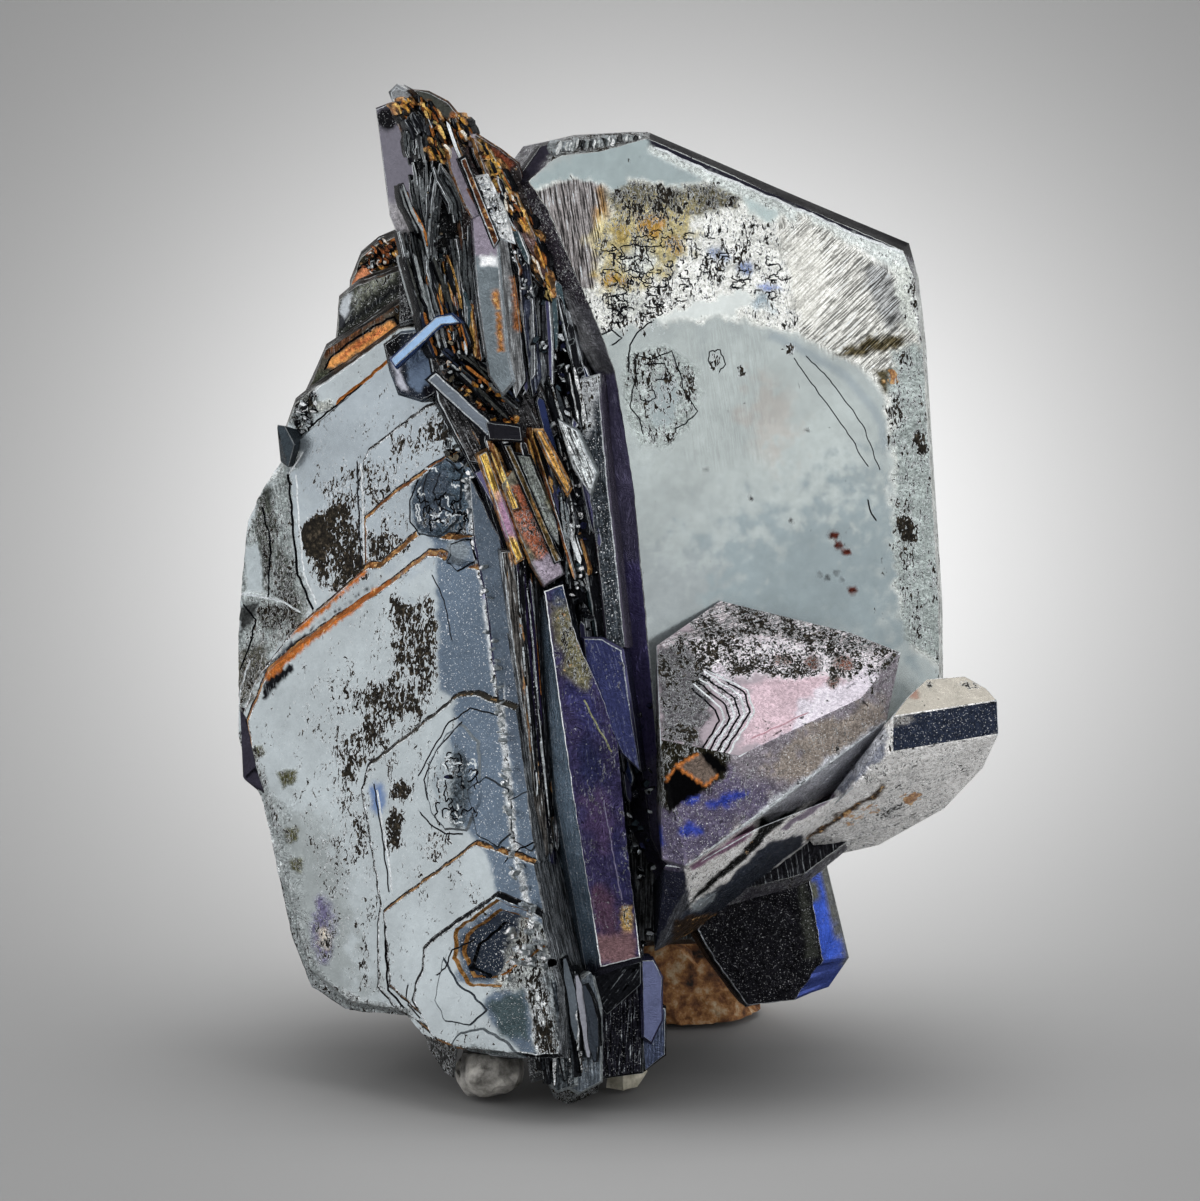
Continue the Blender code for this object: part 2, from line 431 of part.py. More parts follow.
def tabular_crystal(name, face, outline, thickness, drop, widest=None, bevel=0.2, terraces=(), grow=0.0):
    """A plate with a flat or terraced front, sloping rims front and back, and a flat back.

    The outline is the edge of the front face. The widest outline lies lower by drop. grow makes the
    same plate larger all round, for the room that a neighbour leaves round it.
    """
    flat = [face.flat(x, z) for x, z in outline]
    wide = [face.flat(x, z, drop) for x, z in widest] if widest else None
    if turned_left(flat) is not flat:
        flat = flat[::-1]
        wide = wide[::-1] if wide else None
    wide = wide or spread(flat, bevel)
    if grow:
        flat = spread(flat, grow)
        wide = spread(wide, grow)
    steps = [(rise, turned_left([face.flat(x, z, -rise) for x, z in loop])) for rise, loop in terraces]
    points, triangles = face_triangles(flat, steps)
    loop = border(triangles)

    mesh = bmesh.new()
    front = {}
    for index in sorted({i for triangle in triangles for i in triangle}):
        height = terrace_height(points[index], steps) + grow
        front[index] = mesh.verts.new(face.place(points[index], height) * MM)
    for triangle in triangles:
        mesh.faces.new([front[i] for i in triangle])
    rings = [[front[i] for i in loop]]
    rim = [widest_place(points[i], flat, wide) for i in loop]
    for places, height in (
        (rim, -drop),
        (rim, -thickness + drop),
        ([points[i] for i in loop], -thickness - grow),
    ):
        rings.append([mesh.verts.new(face.place(place, height) * MM) for place in places])
    for upper, lower in zip(rings, rings[1:]):
        for i in range(len(loop)):
            j = (i + 1) % len(loop)
            mesh.faces.new((upper[i], lower[i], lower[j], upper[j]))
    mesh.faces.new(rings[-1][::-1])
    bmesh.ops.recalc_face_normals(mesh, faces=mesh.faces)
    bmesh.ops.triangulate(mesh, faces=mesh.faces)
    return finished(name, mesh)


def block_crystal(name, corners, grow=0.0):
    """A crystal that is the hull of its corners, with flat faces between them."""
    centre = sum((Vector(corner) for corner in corners), Vector()) / len(corners)
    mesh = bmesh.new()
    for corner in corners:
        away = Vector(corner) - centre
        mesh.verts.new((centre + away * (1.0 + grow / away.length)) * MM)
    result = bmesh.ops.convex_hull(mesh, input=mesh.verts)
    spare = {item for key in ("geom_interior", "geom_unused") for item in result[key]}
    loose = [item for item in spare if isinstance(item, bmesh.types.BMVert)]
    bmesh.ops.delete(mesh, geom=loose, context="VERTS")
    bmesh.ops.dissolve_limit(mesh, angle_limit=radians(0.5), verts=mesh.verts, edges=mesh.edges)
    bmesh.ops.triangulate(mesh, faces=mesh.faces)
    bmesh.ops.recalc_face_normals(mesh, faces=mesh.faces)
    return finished(name, mesh)


def lumpy_stone(name, centre, radii, roughness, grain, seed):
    """A rounded broken stone with a flat bottom at height 0."""
    mesh = bmesh.new()
    bmesh.ops.create_icosphere(mesh, subdivisions=STONE_DETAIL, radius=1.0)
    for vert in mesh.verts:
        swell = 1.0 + roughness * noise.noise(vert.co * grain + Vector((seed, 0.0, 0.0)))
        shape = Vector((vert.co.x * radii[0], vert.co.y * radii[1], vert.co.z * radii[2]))
        place = Vector(centre) + shape * swell
        place.z = max(place.z, 0.0)
        vert.co = place * MM
    return finished(name, mesh)


def finished(name, mesh):
    """Turns the built shape into an object of that name."""
    data = bpy.data.meshes.new(name)
    mesh.to_mesh(data)
    mesh.free()
    thing = bpy.data.objects.new(name, data)
    bpy.context.scene.collection.objects.link(thing)
    return thing


def combine(base, others, operation):
    """Applies a union or a cut with each of the others in turn, and removes them."""
    for other in others:
        step = base.modifiers.new(other.name, "BOOLEAN")
        step.operation = operation
        step.object = other
        step.solver = "EXACT"
        bpy.context.view_layer.update()
        result = base.evaluated_get(bpy.context.evaluated_depsgraph_get())
        new_data = bpy.data.meshes.new_from_object(result)
        base.modifiers.remove(step)
        base.data = new_data
        bpy.data.objects.remove(other)
    return base


def fill_sealed_gaps(thing):
    """Keeps only the outer skin, which fills the small gaps shut in between crystals."""
    mesh = bmesh.new()
    mesh.from_mesh(thing.data)
    unseen = set(mesh.verts)
    skins = []
    while unseen:
        skin = {unseen.pop()}
        fresh = list(skin)
        while fresh:
            vert = fresh.pop()
            for edge in vert.link_edges:
                other = edge.other_vert(vert)
                if other not in skin:
                    skin.add(other)
                    fresh.append(other)
        unseen -= skin
        skins.append(skin)
    outer = max(skins, key=len)
    inner = [vert for skin in skins if skin is not outer for vert in skin]
    bmesh.ops.delete(mesh, geom=inner, context="VERTS")
    mesh.to_mesh(thing.data)
    mesh.free()
    return thing


def left_book(grow=0.0):
    """The thick left crystal with its growth terraces."""
    point, azimuth, lean = LEFT_FACE
    face = Face(point, azimuth, lean, BOOK_LEVEL)
    width, drop = BOOK_BEVEL
    return tabular_crystal("left_book", face, BOOK_OUTLINE, BOOK_THICKNESS, drop, bevel=width,
                           terraces=BOOK_TERRACES, grow=grow)


def left_ledges():
    """The plates that step back behind the book's top left, each a little thicker than the one before."""
    point, azimuth, lean = LEFT_FACE
    width, drop = LEDGE_BEVEL
    made = []
    for number, (level, outline) in enumerate(LEDGES, 1):
        face = Face(point, azimuth, lean, level)
        thickness = LEDGE_THICKNESS + LEDGE_GROWTH * number
        made.append(tabular_crystal(f"ledge_{number}", face, outline, thickness, drop, bevel=width))
    return made


def right_plate(grow=0.0):
    """The big plate with the mirror face."""
    return tabular_crystal("right_plate", Face(*RIGHT_FACE), RIGHT_OUTLINE, RIGHT_THICKNESS,
                           RIGHT_BEVEL_DROP, widest=RIGHT_WIDEST, grow=grow)


def purple_prism(grow=0.0):
    """The prism that stands at the front of the spine."""
    return tabular_crystal("purple_prism", Face(*PURPLE_FACE), PURPLE_OUTLINE, PURPLE_THICKNESS,
                           PURPLE_DROP, widest=PURPLE_WIDEST, grow=grow)


def foot_crystal(grow=0.0):
    """The dark plate at the lower right."""
    return tabular_crystal("foot_crystal", Face(*FOOT_FACE), FOOT_OUTLINE, FOOT_THICKNESS,
                           FOOT_DROP, widest=FOOT_WIDEST, grow=grow)


def laths():
    """The long thin crystals of the spine and the tower."""
    width, drop = LATH_BEVEL
    return [
        tabular_crystal(name, Face(point, azimuth, lean), outline, thickness, drop, bevel=width)
        for name, point, azimuth, lean, thickness, outline in LATHS
    ]


def tower_ridges():
    """The thin parallel plates on the dark side of the tower."""
    point, _, lean = SPINE_FACE
    width, drop = RIDGE_BEVEL
    made = []
    for number in range(TOWER_RIDGES):
        share = number / (TOWER_RIDGES - 1)
        top = Vector(RIDGE_TOPS[0]).lerp(Vector(RIDGE_TOPS[1]), share)
        foot = Vector(RIDGE_FEET[0]).lerp(Vector(RIDGE_FEET[1]), share)
        half = RIDGE_HALF_WIDTHS[number % 2]
        outline = [(top.x - half, top.y), (top.x + half, top.y + half), (foot.x + half, foot.y),
                   (foot.x - half, foot.y - half)]
        face = Face(point, RIDGE_AZIMUTHS[number % 2], lean, RIDGE_LEVELS[number % 3])
        name = f"tower_ridge_{number}"
        made.append(tabular_crystal(name, face, outline, RIDGE_THICKNESS, drop, bevel=width))
    return made


def rear_plates(grow=0.0):
    """The plates at the back."""
    width, drop = REAR_BEVEL
    return [
        tabular_crystal(name, Face(point, azimuth, lean), outline, thickness, drop, bevel=width, grow=grow)
        for name, point, azimuth, lean, thickness, outline in REAR_PLATES
    ]


def book_pit():
    """The six-sided pit low on the book, as a cutter that starts above the highest terrace."""
    point, azimuth, lean = LEFT_FACE
    face = Face(point, azimuth, lean, BOOK_LEVEL + BOOK_TERRACES[-1][0] + PIT_START)
    return tabular_crystal("book_pit", face, BOOK_PIT, BOOK_PIT_DEPTH + PIT_START, 0.1, bevel=0.01)


def hematite():
    """All the hematite as one intergrown solid."""
    blocks = [block_crystal(name, corners) for name, corners in BLOCKS.items()]
    whole = combine(left_book(), [book_pit()], "DIFFERENCE")
    others = [right_plate()] + rear_plates() + left_ledges() + laths() + tower_ridges()
    others += [purple_prism(), foot_crystal()] + blocks
    combine(whole, others, "UNION")
    combine(whole, [block_crystal("shelf_hollow", SHELF_HOLLOW)], "DIFFERENCE")
    combine(whole, [block_crystal("recess_crystal", RECESS_CRYSTAL)], "UNION")
    whole.name = "hematite_crystals"
    return fill_sealed_gaps(whole)


def wide_blocks(*names):
    """Those blocky crystals, larger by the room that a neighbour leaves round them."""
    return [block_crystal(name, BLOCKS[name], 2.0 * TOUCH_GAP) for name in names]


def limonite():
    """The crust at the back, with room left for the crystals that stand in it."""
    stone = lumpy_stone("limonite_matrix", MATRIX_CENTRE, MATRIX_RADII, MATRIX_ROUGHNESS, *MATRIX_GRAIN)
    neighbours = [right_plate(TOUCH_GAP), foot_crystal(TOUCH_GAP)] + rear_plates(TOUCH_GAP)
    return combine(stone, neighbours + wide_blocks("shelf_lower", "shelf_block"), "DIFFERENCE")


def quartz():
    """The rounded lump under the book."""
    stone = lumpy_stone("quartz_lump", LUMP_CENTRE, LUMP_RADII, LUMP_ROUGHNESS, *LUMP_GRAIN)
    neighbours = [left_book(TOUCH_GAP)] + wide_blocks("rim_spur", "foot_step")
    return combine(stone, neighbours, "DIFFERENCE")


def finish(thing, color, roughness, metallic):
    """Gives the object its own material."""
    material = bpy.data.materials.new(thing.name)
    material.use_nodes = True
    shader = material.node_tree.nodes["Principled BSDF"]
    shader.inputs["Base Color"].default_value = (*color, 1.0)
    shader.inputs["Roughness"].default_value = roughness
    shader.inputs["Metallic"].default_value = metallic
    thing.data.materials.clear()
    thing.data.materials.append(material)


def stand_on_origin(things):
    """Moves every mesh so that the origin is under the middle of the specimen's box."""
    places = [vert.co for thing in things for vert in thing.data.vertices]
    low = Vector([min(place[axis] for place in places) for axis in range(3)])
    high = Vector([max(place[axis] for place in places) for axis in range(3)])
    shift = Vector((-(low.x + high.x) / 2.0, -(low.y + high.y) / 2.0, -low.z))
    for thing in things:
        for vert in thing.data.vertices:
            vert.co += shift
    print("moved by", [round(value / MM, 4) for value in shift])
    print("size", [round(value / MM, 2) for value in high - low])


def main():
    for old in list(bpy.data.objects):
        bpy.data.objects.remove(old)
    things = [
        hematite(),
        limonite(),
        quartz(),
        block_crystal("quartz_chip", CHIP_CORNERS),
    ]
    stand_on_origin(things)
    for thing in things:
        finish(thing, *FINISHES[thing.name])


main()
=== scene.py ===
"""Looks of the hematite crystal aggregate.

Each crystal is a fine closed mesh on the same faces and outlines as the solids. Growth steps, islands and
cracks are cut into its mesh. Looks kept at the corners of its triangles say what each place is like, and one
node material turns them into metal, tarnish, dark pitted patches, iron stain, and painted glints and highlights.

Lengths are in millimetres in the specimen's own frame until a piece is made. A place on a visible face may
be given as a pixel of the photograph: the line of sight through it is followed to that face.
"""

from math import asin, atan2, cos, degrees, pi, radians, sin

import bmesh
import bpy
import numpy as np
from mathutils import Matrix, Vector, noise
from mathutils.geometry import delaunay_2d_cdt


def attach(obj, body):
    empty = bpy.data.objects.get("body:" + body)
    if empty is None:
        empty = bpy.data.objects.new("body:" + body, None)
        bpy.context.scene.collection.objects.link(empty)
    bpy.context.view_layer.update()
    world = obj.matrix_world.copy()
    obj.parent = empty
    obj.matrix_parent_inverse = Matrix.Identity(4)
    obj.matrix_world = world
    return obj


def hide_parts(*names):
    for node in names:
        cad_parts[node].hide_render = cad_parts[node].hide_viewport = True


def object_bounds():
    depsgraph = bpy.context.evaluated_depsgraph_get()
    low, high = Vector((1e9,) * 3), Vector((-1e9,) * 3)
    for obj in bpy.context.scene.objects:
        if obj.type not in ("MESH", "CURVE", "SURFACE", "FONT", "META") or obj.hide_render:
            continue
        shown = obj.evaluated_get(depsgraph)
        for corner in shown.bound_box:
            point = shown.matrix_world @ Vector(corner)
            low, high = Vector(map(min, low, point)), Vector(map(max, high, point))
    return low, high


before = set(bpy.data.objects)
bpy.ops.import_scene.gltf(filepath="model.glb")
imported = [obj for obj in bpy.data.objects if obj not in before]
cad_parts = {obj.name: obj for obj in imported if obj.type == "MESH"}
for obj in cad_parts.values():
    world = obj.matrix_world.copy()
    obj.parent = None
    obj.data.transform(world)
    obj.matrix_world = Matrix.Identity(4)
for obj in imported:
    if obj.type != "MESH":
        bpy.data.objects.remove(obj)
CAD_LOW, CAD_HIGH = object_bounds()

MM = 0.001
# How far the solids were moved to stand on their origin.
MOVED = np.array((0.25, 2.0991, 0.0))

# The photograph: what it looks at, from how far and how high, and how large a pixel is there.
VIEW_CENTRE = np.array((-1.1, 0.0, 27.6))
VIEW_HEIGHT = radians(12)
VIEW_DISTANCE = 450.0
PIXEL = 0.06
PHOTO_WIDTH = 1200
PHOTO_MIDDLE = (600.0, 600.5)
VIEW_RIGHT = np.array((1.0, 0.0, 0.0))
VIEW_AHEAD = np.array((0.0, cos(VIEW_HEIGHT), -sin(VIEW_HEIGHT)))
VIEW_UP = np.array((0.0, sin(VIEW_HEIGHT), cos(VIEW_HEIGHT)))
EYE = VIEW_CENTRE - VIEW_AHEAD * VIEW_DISTANCE

SAME_PLACE = 1e-5
TINY = 1e-9
CHAMFER = 0.05
REACH = 3.0
# Points handled at once where each is compared with a whole line.
BATCH = 2000
# A crystal's edge is drawn sharp where its faces turn by more than this.
SHARP = radians(24)
# Faces of a hull that differ by less than this are one face.
FLAT = radians(1.5)
# A side of a block takes a facet's look where it faces at most this far from the facet's direction.
FACET_MATCH = cos(radians(14))
# How near a block's edge its faces lose their lumps.
CALM_EDGE = 0.25
SCREEN_GAMMA = 2.2
# A look is red, green, blue and then these.
CHANNELS = {"painted_glints": 3, "mottle": 4, "stain": 5, "rough": 6, "striae": 7}
LOOK_SIZE = 8


def sight(px, py):
    """Direction of the line of sight through a pixel."""
    middle_x, middle_y = PHOTO_MIDDLE
    sideways = VIEW_RIGHT * (px - middle_x) * PIXEL + VIEW_UP * (middle_y - py) * PIXEL
    return VIEW_AHEAD * VIEW_DISTANCE + sideways


def pixels_of(places):
    """The photograph's pixel at which each place is seen."""
    away = places - EYE
    scale = VIEW_DISTANCE / PIXEL / (away @ VIEW_AHEAD)
    middle_x, middle_y = PHOTO_MIDDLE
    return np.stack((middle_x + away @ VIEW_RIGHT * scale, middle_y - away @ VIEW_UP * scale), axis=-1)


class Face:
    """A flat crystal face: a point on it, the way it looks, and the two axes that lie in it."""

    def __init__(self, point, azimuth, lean, level=0.0):
        self.azimuth = azimuth
        self.lean = lean
        turn = radians(azimuth)
        tip = radians(lean)
        self.normal = np.array((sin(turn) * cos(tip), -cos(turn) * cos(tip), sin(tip)))
        self.across = np.array((cos(turn), sin(turn), 0.0))
        self.up = np.cross(self.normal, self.across)
        self.point = np.array(point, float) + self.normal * level

    def flatten(self, place):
        away = place - self.point
        return np.array((away @ self.across, away @ self.up))

    def at(self, x, z, height=0.0):
        """Where a point seen from the front at (x, z) lies in the face's axes, at a height above it."""
        start = self.point + self.normal * height
        y = start[1] - (self.normal[0] * (x - start[0]) + self.normal[2] * (z - start[2])) / self.normal[1]
        return self.flatten(np.array((x, y, z)))

    def seen(self, px, py, height=0.0):
        """Where the line of sight through a pixel meets the face, at a height above it."""
        line = sight(px, py)
        start = self.point + self.normal * height
        reach = (start - EYE) @ self.normal / (line @ self.normal)
        return self.flatten(EYE + line * reach)

    def place(self, flat, height=0.0):
        """The places in space of flat points, at heights above the face."""
        flat = np.asarray(flat)
        height = np.broadcast_to(height, len(flat))
        return self.point + np.outer(flat[:, 0], self.across) + np.outer(flat[:, 1], self.up) \
            + np.outer(height, self.normal)


def turned_left(loop):
    """The loop in counterclockwise order."""
    loop = np.asarray(loop, float)
    after = np.roll(loop, -1, 0)
    area = (loop[:, 0] * after[:, 1] - after[:, 0] * loop[:, 1]).sum()
    return loop if area > 0 else loop[::-1]


def close_to(points, line, margin):
    """Which points lie in the box round a line, widened by the margin."""
    return ((points > line.min(0) - margin) & (points < line.max(0) + margin)).all(1)


def beside(line, width):
    """The way from each point of a line to the edge of a stripe of that width."""
    side = np.gradient(line, axis=0)
    side = np.stack((-side[:, 1], side[:, 0]), axis=-1)
    return side * (width * 0.5 / np.maximum(np.linalg.norm(side, axis=1, keepdims=True), TINY))


def toward(angle):
    """The flat direction at an angle in radians."""
    return np.array((cos(angle), sin(angle)))


def mean_width(loop):
    """The mean width of a long thin loop."""
    after = np.roll(loop, -1, 0)
    area = abs((loop[:, 0] * after[:, 1] - after[:, 0] * loop[:, 1]).sum()) * 0.5
    return 2.0 * area / np.linalg.norm(after - loop, axis=1).sum()


def outward(loop):
    """The mean outward direction at each point of a counterclockwise loop, longer at sharp corners."""
    sides = []
    for edge in (loop - np.roll(loop, 1, 0), np.roll(loop, -1, 0) - loop):
        edge = edge / np.maximum(np.linalg.norm(edge, axis=1, keepdims=True), TINY)
        sides.append(np.stack((edge[:, 1], -edge[:, 0]), axis=-1))
    share = np.maximum(1.0 + (sides[0] * sides[1]).sum(1), 0.5)
    return (sides[0] + sides[1]) / share[:, None]


def wander(line, step, amount, seed, closed=True):
    """The line with a point every step, each moved a little to the side."""
    line = np.asarray(line, float)
    starts = line if closed else line[:-1]
    ends = np.roll(line, -1, 0) if closed else line[1:]
    places = []
    for a, b in zip(starts, ends):
        count = max(1, round(float(np.linalg.norm(b - a)) / step))
        side = np.array((a[1] - b[1], b[0] - a[0])) / max(np.linalg.norm(b - a), TINY)
        for number in range(count):
            place = a + (b - a) * number / count
            drift = noise.noise(Vector((*place * 1.7, seed))) if number else 0.0
            places.append(place + side * drift * amount)
    if not closed:
        places.append(line[-1])
    return np.array(places)


def line_distance(points, line, closed):
    """Distance from each point to a line of segments."""
    a = line if closed else line[:-1]
    b = np.roll(line, -1, 0) if closed else line[1:]
    along = b - a
    length = np.maximum((along ** 2).sum(1), 1e-12)
    found = np.empty(len(points))
    for start in range(0, len(points), BATCH):
        part = points[start:start + BATCH]
        away = part[:, None, :] - a[None]
        share = np.clip((away * along).sum(-1) / length, 0.0, 1.0)
        gap = away - share[..., None] * along
        found[start:start + BATCH] = np.sqrt((gap ** 2).sum(-1).min(1))
    return found


def edge_distance(points, loop, reach=REACH):
    """Signed distance from each point to a loop: positive inside, and at most reach outside."""
    loop = np.asarray(loop, float)
    distance = np.full(len(points), -reach)
    near = close_to(points, loop, reach)
    if not near.any():
        return distance
    inner = points[near]
    after = np.roll(loop, -1, 0)
    inside = np.zeros(len(inner), bool)
    for a, b in zip(loop, after):
        if a[1] != b[1]:
            crosses = (a[1] > inner[:, 1]) != (b[1] > inner[:, 1])
            left = inner[:, 0] < a[0] + (inner[:, 1] - a[1]) * (b[0] - a[0]) / (b[1] - a[1])
            inside ^= crosses & left
    gap = line_distance(inner, loop, True)
    distance[near] = np.where(inside, gap, -np.minimum(gap, reach))
    return distance


def ripple(places, grain, seed, octaves=3):
    """Smooth noise between about -1 and 1 at places, with lumps about one over grain wide."""
    shift = Vector((seed * 7.3, seed * 1.9, seed * 3.1))
    return np.array([noise.fractal(Vector(place) * grain + shift, 0.8, 2.1, octaves) for place in places])


def flat_ripple(flat, grain, seed, octaves=3):
    """The same noise at flat points."""
    return ripple(np.column_stack((flat, np.zeros(len(flat)))), grain, seed, octaves)


def smooth_step(value):
    value = np.clip(value, 0.0, 1.0)
    return value * value * (3.0 - 2.0 * value)


def tone(red, green, blue):
    """A colour as a screen shows it, from 0 to 255, in the numbers that materials use."""
    return tuple((part / 255.0) ** SCREEN_GAMMA for part in (red, green, blue))


def look(color, mottle=0.0, stain=0.0, rough=0.0, striae=0.0, painted_glints=0.0):
    """A surface's colour and how much dark pitting, iron stain, roughness, striation and painted glint it has."""
    return np.array((*tone(*color), painted_glints, mottle, stain, rough, striae))


def painted(places, base, patches=()):
    """The look of each place: the base, with soft-edged patches of the photograph's frame laid on it.

    A patch is (what, value, feather in pixels, outline). What is "tone", a channel, or "look" for all.
    """
    looks = np.array(np.broadcast_to(base, (len(places), LOOK_SIZE)))
    if not len(patches) or not len(places):
        return looks
    pixels = pixels_of(places)
    wobble = ripple(places, 1.1, 3.0, 4)
    for what, value, feather, outline in patches:
        distance = edge_distance(pixels + wobble[:, None] * feather * 0.8, outline, 2.0 * feather)
        share = smooth_step(distance / feather + 0.5)[:, None]
        if what == "tone":
            looks[:, :3] += (np.array(tone(*value)) - looks[:, :3]) * share
        elif what == "look":
            looks += (value - looks) * share
        else:
            channel = CHANNELS[what]
            looks[:, channel] += (value - looks[:, channel]) * share[:, 0]
    return looks


def oval(x, y, across, along, lean=0.0, sides=14):
    """The outline of an oval patch in pixels, leaning right by lean degrees."""
    turn = radians(lean)
    points = []
    for number in range(sides):
        angle = 2.0 * pi * number / sides
        u = across * cos(angle)
        v = along * sin(angle)
        points.append((x + u * cos(turn) - v * sin(turn), y + u * sin(turn) + v * cos(turn)))
    return points


CREST = 0.07
ISLAND_RISE = 0.3
FOOT = 0.09
# Along a tall step: a dark line of painted shade at its foot and a painted highlight along its crest.
FOOT_SHADE = look((44, 44, 46), rough=0.5, mottle=0.3)
CREST_HIGHLIGHT = look((214, 220, 224), rough=0.9, mottle=0.4)


class Solid:
    """Corners, triangles, and for each triangle's corners the look and the place along the grain."""

    def __init__(self, places, triangles, looks, grain):
        self.places = np.asarray(places, float)
        self.triangles = np.asarray(triangles, int)
        self.looks = np.asarray(looks, float)
        self.grain = np.asarray(grain, float)


def joined(solids):
    """Several solids as one."""
    starts = np.cumsum([0] + [len(solid.places) for solid in solids])
    return Solid(
        np.concatenate([solid.places for solid in solids]),
        np.concatenate([solid.triangles + start for solid, start in zip(solids, starts)]),
        np.concatenate([solid.looks for solid in solids]),
        np.concatenate([solid.grain for solid in solids]))


def scattered(loop, step, lines, seed):
    """Points about a step apart inside the loop, a little off their rows, clear of the lines."""
    low = loop.min(0)
    high = loop.max(0)
    rows = np.arange(low[1], high[1], step * 0.87)
    columns = np.arange(low[0], high[0], step)
    grid = np.array([(x + step * 0.5 * (row % 2), y) for row, y in enumerate(rows) for x in columns])
    if not len(grid):
        return np.zeros((0, 2))
    grid += np.random.default_rng(seed).uniform(-0.2, 0.2, grid.shape) * step
    grid = grid[edge_distance(grid, loop) > step * 0.45]
    for line, closed in lines:
        near = close_to(grid, line, step)
        kept = np.ones(len(grid), bool)
        if near.any():
            kept[near] = line_distance(grid[near], line, closed) > step * 0.4
        grid = grid[kept]
    return grid


def filled(loop, lines, step, seed):
    """Flat points and triangles that fill a counterclockwise loop and follow lines inside it."""
    points = [tuple(point) for point in loop]
    edges = [(i, (i + 1) % len(loop)) for i in range(len(loop))]
    for line, closed in lines:
        first = len(points)
        count = len(line)
        points.extend(tuple(point) for point in line)
        edges.extend((first + i, first + (i + 1) % count) for i in range(count if closed else count - 1))
    points.extend(tuple(point) for point in scattered(loop, step, lines, seed))
    result = delaunay_2d_cdt([Vector(point) for point in points], edges, [], 0, SAME_PLACE)
    flat = np.array([tuple(point) for point in result[0]])
    triangles = np.array([tuple(triangle) for triangle in result[2]])
    a, b, c = (flat[triangles[:, corner]] for corner in range(3))
    area = (b[:, 0] - a[:, 0]) * (c[:, 1] - a[:, 1]) - (b[:, 1] - a[:, 1]) * (c[:, 0] - a[:, 0])
    inside = edge_distance((a + b + c) / 3.0, loop) > 0.0
    return flat, triangles[inside & (area > TINY)]


def border(triangles):
    """The points round a patch of triangles, in counterclockwise order."""
    sides = {(a, b) for t in triangles.tolist() for a, b in ((t[0], t[1]), (t[1], t[2]), (t[2], t[0]))}
    follows = {a: b for a, b in sides if (b, a) not in sides}
    loop = [min(follows)]
    while follows[loop[-1]] != loop[0]:
        loop.append(follows[loop[-1]])
        if len(loop) > len(follows):
            raise ValueError("the border of a face crosses itself")
    return np.array(loop)


class Relief:
    """What stands out of a crystal's face: terraces, islands on them, and cracks cut into it.

    A terrace or an island is (rise, width of its riser, look of the riser, outline). A crack is (depth,
    width, look, line). Outlines and lines are pixels of the photograph.
    """

    def __init__(self, face, terraces=(), islands=(), cracks=(), coarse=0.1):
        self.face = face
        self.coarse = coarse
        self.terraces = []
        self.islands = []
        self.cracks = []
        for number, (rise, run, riser, outline) in enumerate(terraces):
            loop = turned_left([face.seen(px, py, rise) for px, py in outline])
            self.terraces.append((rise, run, riser, wander(loop, 0.3, 0.1, number)))
        for number, (rise, run, riser, outline) in enumerate(islands):
            height = self.ground(np.mean(outline, axis=0))
            loop = turned_left([face.seen(px, py, height) for px, py in outline])
            self.islands.append((rise, run, riser, wander(loop, 0.2, 0.12, number + 20.0)))
        for number, (depth, width, crack_look, line) in enumerate(cracks):
            flat = [face.seen(px, py, self.ground((px, py))) for px, py in line]
            self.cracks.append((depth, width, crack_look, wander(flat, 0.25, 0.1, number + 50.0, False)))

    def ground(self, pixel):
        """Height of the terrace that is seen at a pixel."""
        height = 0.0
        for _ in range(3):
            height = float(self.terrace_heights(self.face.seen(*pixel, height)[None])[0])
        return height

    def terrace_heights(self, points):
        heights = np.zeros(len(points))
        for rise, run, _, loop in self.terraces:
            share = np.clip(1.0 + edge_distance(points, loop, run * 1.01) / run, 0.0, 1.0)
            heights += np.maximum(rise - heights, 0.0) * share
        return heights

    def heights(self, points, looks):
        """Height of each point, with the lumps that rough places have."""
        heights = self.terrace_heights(points)
        for rise, run, _, loop in self.islands:
            heights += rise * np.clip(1.0 + edge_distance(points, loop, run * 1.01) / run, 0.0, 1.0)
        for depth, width, _, line in self.cracks:
            near = close_to(points, line, width)
            gap = line_distance(points[near], line, False)
            heights[near] -= depth * np.clip(1.0 - gap / (width * 0.5), 0.0, 1.0)
        rough = looks[:, CHANNELS["rough"]]
        bumpy = rough > 0.02
        heights[bumpy] += flat_ripple(points[bumpy], 1.6, 8.0, 4) * rough[bumpy] * self.coarse
        return heights

    def lines(self):
        """The lines that the mesh follows."""
        found = []
        for _, run, _, loop in self.terraces + self.islands:
            found += [(loop + outward(loop) * width, True) for width in (-CREST, 0.0, run, run + FOOT)]
        for _, width, _, line in self.cracks:
            side = beside(line, width)
            found += [(line, False), (line + side, False), (line - side, False)]
        return found

    def paint_edges(self, middles, looks):
        """Gives the triangles of risers and cracks their own look."""
        covered = np.zeros(len(middles), bool)
        for rise, run, riser, loop in (self.terraces + self.islands)[::-1]:
            distance = edge_distance(middles, loop, run + FOOT + 0.01)
            # A tall riser gets painted shade along its foot and a painted highlight along its crest.
            bands = [(-run - FOOT, -run, FOOT_SHADE), (-run, 0.0, riser), (0.0, CREST, CREST_HIGHLIGHT)]
            for low, high, edge_look in bands if rise > ISLAND_RISE else bands[1:2]:
                looks[(distance > low) & (distance < high) & ~covered] = edge_look
            covered |= distance > -run - FOOT
        for _, width, crack_look, line in self.cracks:
            near = close_to(middles, line, width)
            inside = np.zeros(len(middles), bool)
            inside[near] = line_distance(middles[near], line, False) < width * 0.5
            looks[inside] = crack_look
        return looks


